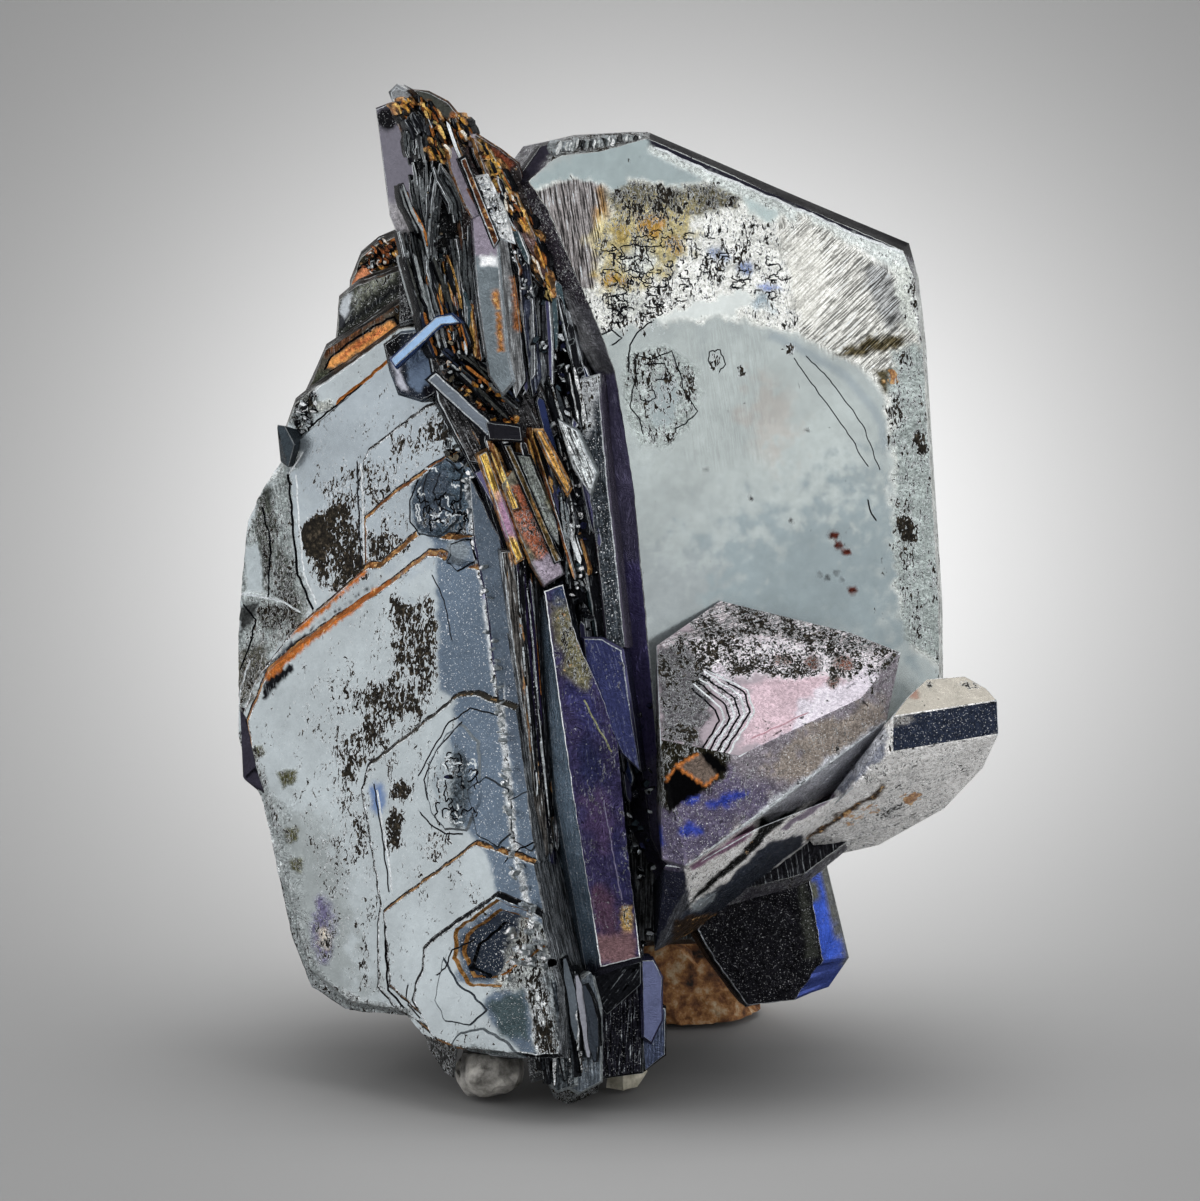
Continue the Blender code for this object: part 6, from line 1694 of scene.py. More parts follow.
# The bevels and clefts under the shelf's top, as the photograph shows them.
SHELF_FRONT = [
    ("tone", (96, 90, 112), 24, [(650, 760), (740, 770), (790, 800), (688, 872), (650, 866)]),
    ("tone", (146, 136, 128), 18, [(760, 770), (830, 715), (886, 700), (880, 740), (800, 780)]),
    ("look", look((200, 196, 194), rough=0.8, mottle=0.4), 4, oval(876, 738, 12, 8, -30)),
    ("look", BLUE_SPECKS, 6, oval(694, 801, 9, 5, -30)),
    ("look", BLUE_SPECKS, 8, oval(728, 800, 22, 6, -20)),
    ("look", BLUE_SPECKS, 6, oval(690, 830, 13, 5, -10)),
    ("look", BLUE_SPECKS, 6, oval(657, 838, 6, 12, 20)),
    # Painted shade in the hollow at the left of the shelf's steps and in its recess.
    ("look", look((40, 38, 30), rough=0.9, stain=0.2, mottle=0.35), 5,
     [(648, 716), (664, 712), (704, 716), (720, 735), (730, 758), (726, 778), (704, 794), (668, 812),
      (652, 800)]),
    ("look", RECESS_SHADE, 2, [(664, 782), (677, 766), (706, 786), (700, 794), (668, 811)]),
    ("look", look((104, 92, 84), rough=0.5), 2, [(677, 766), (699, 753), (718, 775), (706, 786)]),
    ("look", RECESS_SHADE, 2, [(699, 754), (708, 750), (730, 770), (718, 776)]),
    ("look", COPPER, 1, strip([(665, 781), (677, 766), (705, 786)], 2.6)),
    ("look", COPPER, 1, strip([(677, 766), (699, 753)], 2.6)),
    ("look", COPPER, 1, strip([(706, 786), (718, 775)], 2.6)),
    ("look", UNDERSIDE_PAINTED_LIGHT, 3,
     [(685, 867), (755, 817), (833, 772), (864, 748), (886, 722), (900, 730), (1010, 730), (1000, 800),
      (900, 860), (800, 860), (690, 910)]),
    ("look", look((150, 116, 140), rough=0.4), 2,
     [(689, 867), (753, 824), (755, 828), (744, 840), (694, 871)]),
    ("look", look((140, 144, 158), rough=0.6, painted_glints=0.8), 3,
     [(834, 775), (864, 750), (885, 738), (886, 754), (878, 763), (852, 784), (845, 793), (833, 791)]),
    ("look", look((150, 138, 154), rough=0.3), 2,
     [(779, 829), (805, 810), (833, 791), (837, 796), (815, 812), (786, 831)]),
    # Painted shade along the dark cleft under the band.
    ("look", look((24, 23, 22), rough=0.5, stain=0.25, painted_glints=0.4), 2,
     [(760, 819), (791, 800), (829, 788), (834, 791), (805, 803), (782, 822), (763, 841), (744, 860),
      (732, 871), (687, 907), (673, 921), (711, 878), (742, 852), (758, 829)]),
    ("look", look((60, 66, 78), rough=0.3, painted_glints=0.4), 3,
     [(772, 841), (803, 833), (803, 845), (791, 854), (751, 892), (730, 908), (700, 930), (660, 960),
      (680, 914), (718, 888), (758, 853)]),
    ("look", look((150, 158, 164), rough=0.4), 4, [(690, 904), (720, 892), (714, 902), (692, 914)]),
    ("look", look((60, 48, 40), rough=0.8, stain=0.4), 4,
     [(674, 918), (724, 912), (728, 936), (690, 950), (670, 944)]),
    # Painted light on the bevel under the shelf, which faces down into shade.
    ("look", look((196, 198, 206), rough=0.6, painted_glints=0.6), 4,
     [(757, 812), (800, 780), (850, 742), (884, 722), (888, 736), (860, 770), (836, 792), (800, 806),
      (770, 822)]),
    ("look", DARK_FACET, 2, [(640, 868), (661, 868), (685, 872), (688, 886), (654, 946), (640, 950)]),
    ("look", look((70, 56, 44), rough=0.8, stain=0.45), 3,
     strip([(806, 840), (840, 816), (886, 787)], 5)),
    ("stain", 0.5, 6, oval(860, 815, 26, 10, -25)),
    ("stain", 0.66, 5, oval(913, 798, 12, 7, -15)),
    ("mottle", 0.5, 6, oval(890, 812, 14, 8, -20)),
]
# Crystals that are hulls: corners, look, facets and patches of the other sides.
BLOCKS = {
    "shelf": ([(2.2, -9.8, 27.0), (2.4, -15.1, 22.5), (4.7, -15.5, 22.0), (7.0, -15.8, 21.7),
               (14.2, -12.1, 24.3), (16.6, -9.4, 26.5), (13.6, -8.4, 27.5), (6.0, -7.0, 29.1),
               (8.2, -15.4, 18.0), (3.9, -17.7, 15.6), (15.7, -11.5, 22.8), (2.5, -16.2, 15.6),
               (4.8, -9.0, 12.0), (13.5, -5.5, 16.9), (2.2, -8.0, 17.2), (15.4, -3.6, 22.5)], BAND,
              [(4, 50, look((176, 164, 172), rough=0.1), PINK_PATCHES, (), PINK_CRACKS),
               (7, 47.5, look((196, 188, 200), rough=0.2), PINK_PATCHES, (), ())], SHELF_FRONT),
    "shelf_block": ([(16.0, -12.8, 23.4), (16.8, -11.4, 24.1), (18.1, -9.6, 24.9), (20.4, -9.2, 25.0),
                     (21.6, -10.2, 24.5), (22.2, -11.2, 24.0), (22.3, -11.4, 22.0), (16.0, -13.0, 21.3),
                     (21.6, -8.0, 19.2), (19.4, -6.0, 16.2), (15.6, -4.5, 13.6), (12.2, -4.5, 12.8),
                     (10.9, -9.5, 15.6), (13.6, -12.0, 18.8), (18.6, -2.5, 22.4), (19.5, -2.0, 18.5)],
                    UNDERSIDE_PAINTED_LIGHT,
                    [(4, 64, look((200, 194, 182), rough=0.12, mottle=0.12),
                      [("mottle", 0.6, 3, oval(930, 685, 3, 3)),
                       ("mottle", 0.55, 4, oval(970, 684, 12, 4)),
                       ("tone", (176, 140, 126), 5, oval(914, 694, 6, 5))], (), ()),
                     (14, 6, look((44, 50, 64), rough=0.5, painted_glints=0.6),
                      [("look", look((150, 148, 146), rough=0.9, mottle=0.5), 3,
                        [(884, 716), (898, 714), (915, 720), (890, 728)]),
                       ("look", look((180, 180, 180), rough=0.9, mottle=0.45), 3,
                        strip([(892, 756), (940, 750), (998, 738)], 5))], (), ())], SHELF_FRONT),
    "shelf_lower": ([(4.1, -16.2, 15.1), (8.2, -15.6, 17.4), (13.0, -13.0, 18.7), (10.7, -11.5, 15.9),
                     (4.8, -13.5, 12.2), (2.1, -12.5, 9.1), (2.7, -15.5, 15.1), (4.9, -6.5, 9.0),
                     (10.8, -5.5, 13.2), (2.0, -9.5, 12.5)], look((84, 86, 92), rough=0.5, striae=0.4),
                    (), SHELF_FRONT),
    "left_rim_crystal": ([(-22.7, -2.2, 21.6), (-22.3, -3.0, 18.0), (-22.5, -3.2, 17.4),
                          (-21.3, -4.0, 18.6), (-20.1, -4.8, 18.2), (-20.1, -5.0, 16.4),
                          (-21.3, -3.6, 16.5), (-20.4, -0.6, 20.5), (-18.0, -1.5, 19.0),
                          (-18.1, -0.5, 16.4)], look((52, 50, 60), rough=0.2), ()),
    "upper_rim_crystal": ([(-20.4, -0.3, 38.4), (-19.9, -0.7, 38.4), (-19.3, -1.4, 37.4),
                           (-19.7, -1.1, 35.9), (-20.2, -0.1, 36.1), (-18.3, 2.0, 37.4),
                           (-18.5, 2.0, 35.7)], look((58, 66, 72), rough=0.3), ()),
    "under_prism": ([(-1.7, -14.6, 8.3), (1.3, -14.3, 9.0), (1.3, -14.3, 7.6), (-0.7, -14.9, 5.9),
                     (-1.3, -14.7, 6.7), (-1.4, -12.0, 8.6), (1.2, -12.0, 8.8), (-0.4, -11.5, 6.0)],
                    BLACK, ()),
    "spine_tip": ([(-4.4, -14.9, 2.3), (-1.1, -14.6, 2.4), (-3.8, -14.0, 0.6), (-1.2, -13.1, 0.7),
                   (-3.1, -13.3, 0.0), (-2.6, -12.9, 0.0), (-2.9, -12.3, 0.0), (-4.2, -11.0, 2.6),
                   (-1.0, -10.8, 2.6), (-4.6, -15.2, 4.5), (-0.9, -15.0, 4.5), (-4.4, -10.5, 5.0),
                   (-0.9, -10.5, 5.0)], look((104, 108, 110), rough=0.9, mottle=0.5), ()),
    "rim_spur": ([(-11.8, -10.8, 4.4), (-11.2, -11.2, 2.7), (-10.3, -11.8, 1.5), (-9.7, -12.3, 1.3),
                  (-9.5, -13.0, 4.0), (-9.4, -9.8, 4.6), (-9.6, -10.4, 2.2), (-11.2, -9.2, 4.6)],
                 look((60, 60, 60), rough=0.7, mottle=0.4), ()),
    "foot_step": ([(-5.5, -15.0, 4.2), (-4.2, -15.4, 4.4), (-4.1, -14.6, 2.0), (-5.2, -14.0, 1.5),
                   (-5.4, -11.0, 2.4), (-4.0, -11.0, 2.4), (-4.1, -11.0, 4.6), (-5.4, -11.0, 4.6)],
                  look((70, 72, 74), rough=0.8, mottle=0.4), ()),
    "recess_crystal": ([(3.6, -14.0, 21.3), (4.8, -14.4, 21.3), (6.1, -15.2, 20.5), (5.7, -14.6, 19.6),
                        (3.8, -13.6, 20.4), (4.2, -11.0, 19.4), (5.5, -11.0, 19.8)],
                       look((134, 96, 60), stain=0.4), ()),
}
# The plates at the back: point on the face, azimuth, lean, thickness, outline.
REAR_PLATES = [
    ((0.0, 6.6, 28.0), 172, 3, 8.2,
     [(-13.0, 9.5), (-4.0, 6.6), (5.5, 7.4), (9.5, 13.0), (10.0, 30.0), (7.5, 42.0), (1.0, 48.5),
      (-6.5, 47.5), (-12.5, 40.0), (-14.0, 24.0)]),
    ((-12.0, 7.9, 22.0), 205, -5, 5.0,
     [(-18.5, 12.0), (-11.0, 9.0), (-6.5, 14.0), (-6.0, 27.5), (-12.0, 34.0), (-18.0, 30.0)]),
    ((9.5, 7.6, 33.0), 160, 6, 4.0,
     [(2.5, 27.0), (7.5, 21.0), (14.5, 24.0), (16.5, 33.0), (14.0, 42.0), (6.5, 44.0), (2.5, 37.5)]),
    ((3.0, 8.2, 14.0), 184, 12, 6.0,
     [(-3.5, 8.0), (3.0, 6.8), (9.0, 9.5), (9.5, 17.0), (4.0, 21.5), (-3.0, 19.0)]),
]


def crystal_block(name, step=0.3, edge=look((110, 114, 116), rough=0.4)):
    """One crystal of the table of blocks."""
    corners, base, facets, *everywhere = BLOCKS[name]
    return block(corners, base, facets, *everywhere, edge_look=edge, step=step, seed=len(name))


def rear_plates():
    """The plates at the back."""
    made = []
    for number, (point, azimuth, lean, thickness, outline) in enumerate(REAR_PLATES):
        face = Face(point, azimuth, lean)
        made.append(plate(face, outline, thickness, 0.9, look((140, 146, 148), mottle=0.42, rough=0.3), bevel=0.7,
                          rim=look((90, 92, 94), rough=0.5, striae=0.9), relief=Relief(face, coarse=0.12),
                          step=0.45, layers=0.1, seed=number + 90))
    return made


EARTH = look((110, 80, 50))
# A painted highlight for the edges of laths, ridges and the shelf's facets.
EDGE_HIGHLIGHT = look((200, 206, 210), rough=0.4)
DARK_GRAY = look((58, 60, 64), rough=0.4, striae=0.6)
MID_GRAY = look((112, 116, 120), rough=0.4, striae=0.5)
GOLD = look((190, 146, 80), stain=0.3, rough=0.6, striae=0.8)
RUST = look((112, 68, 46), stain=0.5, rough=0.6, striae=0.4)
TEAL = look((64, 80, 86), rough=0.3, painted_glints=0.8)
NAVY = look((44, 52, 84), rough=0.15)
# Palettes of laths and ridges. Each entry: front, rim, glint.
GRAY_LATHS = [(DARK_GRAY, BLACK, None), (BLACK, BLACK, EDGE_HIGHLIGHT), (MID_GRAY, DARK_GRAY, None),
              (BLACK, DARK_GRAY, None), (COAL, BLACK, EDGE_HIGHLIGHT), (LAYERS, BLACK, EDGE_HIGHLIGHT)]
STAINED_LATHS = [(RUST, BLACK, EDGE_HIGHLIGHT), (GOLD, RUST, None), (BLACK, RUST, EDGE_HIGHLIGHT), (DARK_GRAY, BLACK, None),
                 (WHITE, BLACK, None), (COAL, RUST, GOLD), (TEAL, BLACK, EDGE_HIGHLIGHT), (BLACK, BLACK, EDGE_HIGHLIGHT)]
COOL_LATHS = [(TEAL, BLACK, EDGE_HIGHLIGHT), (NAVY, BLACK, EDGE_HIGHLIGHT), (BLACK, BLACK, EDGE_HIGHLIGHT), (MID_GRAY, BLACK, EDGE_HIGHLIGHT),
              (VIOLET, BLACK, EDGE_HIGHLIGHT), (DARK_GRAY, BLACK, None)]
RIDGES = [(look((54, 56, 58), rough=0.5), BLACK, EDGE_HIGHLIGHT), (look((96, 100, 102), rough=0.5), BLACK, EDGE_HIGHLIGHT),
          (BLACK, BLACK, EDGE_HIGHLIGHT), (look((70, 74, 76), rough=0.6), BLACK, None)]
FIBRES = [(look((204, 150, 66), rough=0.6, stain=0.2), BROWN, None),
          (look((228, 188, 110), rough=0.5), BROWN, None),
          (look((124, 76, 42), rough=0.6, stain=0.2), BLACK, None), (BLACK, BLACK, None),
          (look((164, 104, 54), rough=0.8), BLACK, None), (look((232, 226, 212), rough=0.6), BROWN, None),
          (look((58, 52, 46), rough=0.6), BLACK, None), (look((150, 132, 84), rough=0.8), BLACK, None)]
TANGLE = [(BLACK, BLACK, None), (look((70, 72, 70), rough=0.6), BLACK, None),
          (look((150, 156, 158), rough=0.5), BLACK, None), (look((176, 112, 56), rough=0.5), BLACK, None),
          (BLACK, GREY, None), (look((40, 46, 60), rough=0.3), BLACK, None)]
# Bundles: tops, feet, count, widths, lengths, levels, turns, palette.
BUNDLES = [
    ([(445, 120), (490, 150)], [(505, 270), (552, 300)], 16, (3, 6), (0.2, 0.6), (-0.1, 0.5),
     (-30, 0, 25), STAINED_LATHS),
    ([(440, 250), (475, 260)], [(450, 350), (490, 370)], 10, (3, 6), (0.3, 0.9), (-0.2, 0.3), (-30, 10),
     STAINED_LATHS),
    ([(510, 260), (555, 290)], [(515, 390), (560, 400)], 14, (3, 7), (0.3, 0.9), (-0.3, 0.4), (-25, 10),
     COOL_LATHS),
    ([(482, 436), (545, 425)], [(522, 560), (590, 580)], 30, (2, 6), (0.3, 0.9), (-0.2, 0.5),
     (-25, 0, 25), STAINED_LATHS),
    ([(520, 400), (580, 400)], [(560, 520), (605, 560)], 22, (3, 7), (0.3, 0.9), (-0.4, 0.3), (-25, 15),
     COOL_LATHS),
    ([(512, 550), (532, 552)], [(530, 850), (552, 855)], 12, (2, 4), (0.2, 0.8), (0.0, 0.4), (-30, 25),
     GRAY_LATHS),
    ([(575, 600), (606, 620)], [(600, 720), (640, 830)], 8, (3, 7), (0.3, 0.8), (-0.4, 0.0), (-20, 20),
     COOL_LATHS),
    ([(436, 352), (462, 345)], [(500, 420), (530, 400)], 14, (1.5, 3.6), (0.2, 0.6), (0.0, 0.4),
     (-20, 20), TANGLE),
    ([(474, 140), (486, 140)], [(514, 232), (532, 228)], 36, (1.5, 3.0), (0.06, 0.2), (0.5, 0.85),
     (-30, 0, 25), FIBRES),
    ([(416, 98), (430, 98)], [(436, 142), (450, 136)], 26, (1.5, 3.5), (0.12, 0.35), (0.1, 0.45),
     (-30, 25), FIBRES),
    ([(392, 104), (404, 95)], [(404, 124), (420, 110)], 16, (1.5, 3.5), (0.2, 0.5), (0.1, 0.4), (-30, 25),
     FIBRES),
    ([(422, 138), (440, 132)], [(438, 166), (454, 158)], 22, (1.5, 3.5), (0.2, 0.5), (0.1, 0.5),
     (-30, 25), FIBRES),
    ([(448, 116), (461, 111)], [(462, 146), (476, 138)], 26, (1.5, 3.2), (0.12, 0.4), (0.0, 0.4),
     (-30, 25), FIBRES),
    ([(404, 116), (420, 110)], [(414, 140), (434, 134)], 12, (2, 5), (0.4, 0.8), (0.2, 0.5), (-20, 20),
     GRAY_LATHS),
    ([(516, 210), (530, 214)], [(548, 306), (560, 300)], 22, (1.5, 3.2), (0.06, 0.2), (0.2, 0.6),
     (-30, 25), FIBRES),
    ([(398, 236), (440, 232)], [(432, 356), (474, 350)], 34, (1.5, 4), (0.15, 0.5), (0.1, 0.5), (-30, 25),
     TANGLE),
    ([(546, 250), (575, 330)], [(590, 440), (600, 450)], 12, (3, 7), (0.3, 0.8), (-0.6, 0.0), (-20, 20),
     COOL_LATHS),
]
SPLINTERS = [(BLACK, BLACK, None), (look((40, 34, 58), rough=0.3), BLACK, None), (BLACK, BLACK, EDGE_HIGHLIGHT),
             (look((176, 182, 186), rough=0.6), BLACK, None),
             (look((64, 58, 80), rough=0.3), BLACK, None),
             (look((150, 96, 52), rough=0.7, stain=0.3), BLACK, None),
             (look((30, 30, 34), painted_glints=1.0), BLACK, None)]
FROSTED = [(look((206, 212, 214), rough=1.0, mottle=0.45, striae=0.5), BLACK, None),
           (look((120, 128, 132), rough=0.9, mottle=0.3), BLACK, None), (BLACK, BLACK, None),
           (look((232, 236, 238), rough=0.9, mottle=0.4), BLACK, None),
           (look((60, 64, 68), rough=0.7), BLACK, None)]
PALE_RIDGES = [(look((214, 218, 218), rough=0.5), GREY, None),
               (look((236, 240, 240), rough=0.5), GREY, None),
               (look((84, 86, 86), rough=0.6), BLACK, None),
               (look((190, 196, 196), rough=0.8, mottle=0.3), GREY, None)]
SMOOTH = [(look((150, 152, 162), rough=0.1), DARK_GRAY, None),
          (look((96, 104, 112), rough=0.15), BLACK, None), (look((60, 66, 74), rough=0.2), BLACK, None)]
# Ridges: left line, right line, count, widths, levels, palette.
RIBS = [
    ([(404, 126), (404, 145), (406, 162)], [(430, 128), (433, 148), (437, 166)], 9, (2, 3.5), (0.1, 0.4),
     RIDGES),
    ([(404, 165), (410, 190), (418, 220), (424, 250)], [(428, 160), (428, 190), (429, 220), (434, 250)],
     10, (2, 3.5), (0.1, 0.45), RIDGES),
    ([(429, 165), (437, 188), (446, 204), (452, 236)], [(447, 160), (463, 174), (475, 196), (478, 222)],
     12, (2, 3.2), (0.1, 0.4), RIDGES),
    ([(430, 160), (428, 200), (424, 240), (426, 290)], [(446, 162), (440, 200), (436, 240), (438, 300)],
     8, (2, 3.5), (0.2, 0.5), RIDGES),
    ([(426, 250), (432, 290), (440, 330), (444, 350)], [(470, 215), (472, 260), (476, 300), (482, 330)],
     18, (2, 4), (-0.1, 0.35), RIDGES),
    ([(400, 232), (408, 270), (424, 310), (436, 350)], [(428, 226), (434, 270), (442, 310), (452, 350)],
     14, (1.6, 3.4), (0.1, 0.45), RIDGES),
    ([(398, 180), (404, 204), (414, 226), (424, 260)], [(404, 176), (412, 204), (424, 226), (434, 262)],
     3, (2.6, 3.2), (0.4, 0.6), TANGLE[2:4]),
    ([(436, 262), (438, 290), (440, 314), (444, 330)], [(446, 250), (458, 279), (464, 312), (470, 340)],
     5, (2, 3), (0.2, 0.5), STAINED_LATHS[:2]),
    ([(470, 186), (484, 214), (496, 242), (506, 290)], [(474, 180), (490, 212), (502, 242), (511, 290)],
     5, (2, 4), (0.4, 0.7), STAINED_LATHS[:3]),
    ([(514, 520), (520, 620), (533, 750), (546, 850)], [(526, 520), (534, 620), (546, 750), (556, 850)],
     18, (1.6, 3.4), (0.1, 0.5), SPLINTERS),
]
# Small crystals: zone, count, half-lengths, levels, palette.
CHIPS = [
    (strip([(481, 143), (497, 184), (525, 226)], 10), 24, (1.2, 2.6), (0.6, 0.9), "gold"),
    (strip([(476, 180), (498, 212)], 14), 26, (1.0, 3.0), (0.9, 1.1), "white"),
    (strip([(430, 190), (436, 230), (440, 262)], 16), 40, (0.9, 2.4), (0.1, 0.4), "dark"),
    (strip([(500, 225), (520, 262), (530, 300)], 9), 34, (0.9, 2.4), (0.4, 0.7), "white"),
    ([(560, 480), (600, 470), (606, 560), (600, 640), (588, 640), (566, 560)], 50, (2.0, 5.0),
     (-0.2, 0.3), "spark"),
    ([(432, 330), (470, 320), (484, 400), (450, 392)], 50, (1.6, 4.5), (-0.1, 0.4), "dark"),
    ([(515, 270), (560, 300), (600, 420), (600, 560), (560, 420), (520, 380)], 80, (2.0, 5.0),
     (-0.3, 0.2), "spark"),
    (strip([(560, 410), (572, 470), (576, 560), (574, 600)], 16), 70, (1.2, 3.6), (0.1, 0.5), "white"),
    ([(446, 362), (480, 372), (520, 420), (520, 446), (480, 420)], 40, (1.6, 4.0), (0.1, 0.5), "gold"),
    (strip([(540, 330), (566, 400), (590, 470)], 16), 30, (2.0, 5.0), (0.0, 0.5), "spark"),
    ([(615, 740), (650, 700), (655, 840), (650, 950), (640, 950)], 40, (2.0, 5.0), (-1.2, -0.8), "spark"),
]


# Ridges at the foot of the spine, beside the right plate and on its top edge: base face, then as in RIBS.
RIDGE_ROWS = [
    (RIDGE_FACE, [(524, 990), (530, 1030), (540, 1080)], [(548, 960), (556, 1020), (556, 1088)], 16,
     (2.5, 5), (0.05, 0.4), FROSTED),
    (RIDGE_FACE, [(546, 965), (556, 1020), (566, 1090)], [(574, 950), (580, 1020), (586, 1082)], 12,
     (3, 6), (0.0, 0.35), FROSTED),
    (RIDGE_FACE, [(562, 955), (570, 1010), (574, 1070)], [(586, 985), (598, 1020), (602, 1066)], 5,
     (6, 10), (0.2, 0.5), SMOOTH),
    (SPINE_FACE, [(546, 380), (560, 430), (574, 480)], [(572, 350), (586, 420), (592, 480)], 14, (2, 5),
     (0.1, 0.5), FROSTED),
    (SPINE_FACE, [(556, 480), (562, 530), (564, 590)], [(572, 480), (578, 530), (574, 590)], 7,
     (1.6, 3.6), (0.2, 0.55), FROSTED),
    (RIGHT_FACE, [(560, 140), (557, 150), (556, 158)], [(642, 133), (642, 140), (642, 147)], 24,
     (1.8, 4.2), (-0.6, -0.25), PALE_RIDGES),
]


def ridges():
    """The frosted and smooth ridges that stand out from larger crystals."""
    made = []
    for number, (face, *row) in enumerate(RIDGE_ROWS):
        made += ribs(Face(*face), *row, number + 70)
    return made


def bundles():
    """The swarms of thin laths, ridges and small crystals in the tower and the spine."""
    base = Face(*SPINE_FACE)
    made = []
    for number, row in enumerate(BUNDLES):
        made += bundle(base, *row, number)
    for number, row in enumerate(RIBS):
        made += ribs(base, *row, number + 20)
    for number, (*row, palette) in enumerate(CHIPS):
        made += chips(base, *row, CHIP_LOOKS[palette], number + 40)
    return made


class Nodes:
    """Builds a tree of nodes from short calls. A value is a number, a colour or another node's output."""

    def __init__(self, tree):
        self.tree = tree

    def put(self, socket, value):
        if isinstance(value, bpy.types.NodeSocket):
            self.tree.links.new(value, socket)
        else:
            socket.default_value = value

    def add(self, kind, inputs, output=0, **settings):
        node = self.tree.nodes.new(kind)
        for name, value in settings.items():
            setattr(node, name, value)
        for name, value in inputs.items():
            self.put(node.inputs[name], value)
        return node.outputs[output]

    def math(self, operation, a, b=0.0, c=0.0):
        return self.add("ShaderNodeMath", {0: a, 1: b, 2: c}, operation=operation)

    def attribute(self, name, output="Color"):
        return self.add("ShaderNodeAttribute", {}, output, attribute_name=name)

    def stretched(self, place, x, y, z):
        return self.add("ShaderNodeVectorMath", {0: place, 1: (x, y, z)}, operation="MULTIPLY")

    def noise(self, place, scale, detail, rough=0.6, distortion=0.0):
        return self.add("ShaderNodeTexNoise", {"Vector": place, "Scale": scale, "Detail": detail,
                                               "Roughness": rough, "Distortion": distortion})

    def blend(self, share, a, b):
        """A number between a and b."""
        return self.add("ShaderNodeMix", {0: share, 2: a, 3: b})

    def between(self, value, low, high, to_low=0.0, to_high=1.0):
        """A value taken smoothly from one range to another."""
        return self.add("ShaderNodeMapRange", {0: value, 1: low, 2: high, 3: to_low, 4: to_high},
                        interpolation_type="SMOOTHSTEP")

    def mix(self, share, a, b, blend="MIX"):
        return self.add("ShaderNodeMix", {0: share, 6: a, 7: b}, 2, data_type="RGBA", blend_type=blend)

    def ramp(self, value, *stops):
        node = self.tree.nodes.new("ShaderNodeValToRGB")
        for number, (place, color) in enumerate(stops):
            stop = node.color_ramp.elements[number] if number < 2 else node.color_ramp.elements.new(place)
            stop.position = place
            stop.color = (*color, 1.0)
        self.put(node.inputs[0], value)
        return node.outputs[0]

    def gray(self, value):
        return self.add("ShaderNodeCombineColor", {0: value, 1: value, 2: value})


class Material(Nodes):
    """The nodes of a new material, with the place on the piece in millimetres."""

    def __init__(self, name):
        self.material = bpy.data.materials.new(name)
        self.material.use_nodes = True
        super().__init__(self.material.node_tree)
        self.shader = self.tree.nodes["Principled BSDF"]
        place = self.add("ShaderNodeTexCoord", {}, "Object")
        self.place = self.add("ShaderNodeVectorMath", {0: place, 3: 1.0 / MM}, operation="SCALE")

    def bump(self, height):
        return self.add("ShaderNodeBump", {"Height": height, "Distance": MM, "Strength": 0.9})

    def surface(self, **inputs):
        for name, value in inputs.items():
            self.put(self.shader.inputs[name.replace("_", " ")], value)
        return self.material


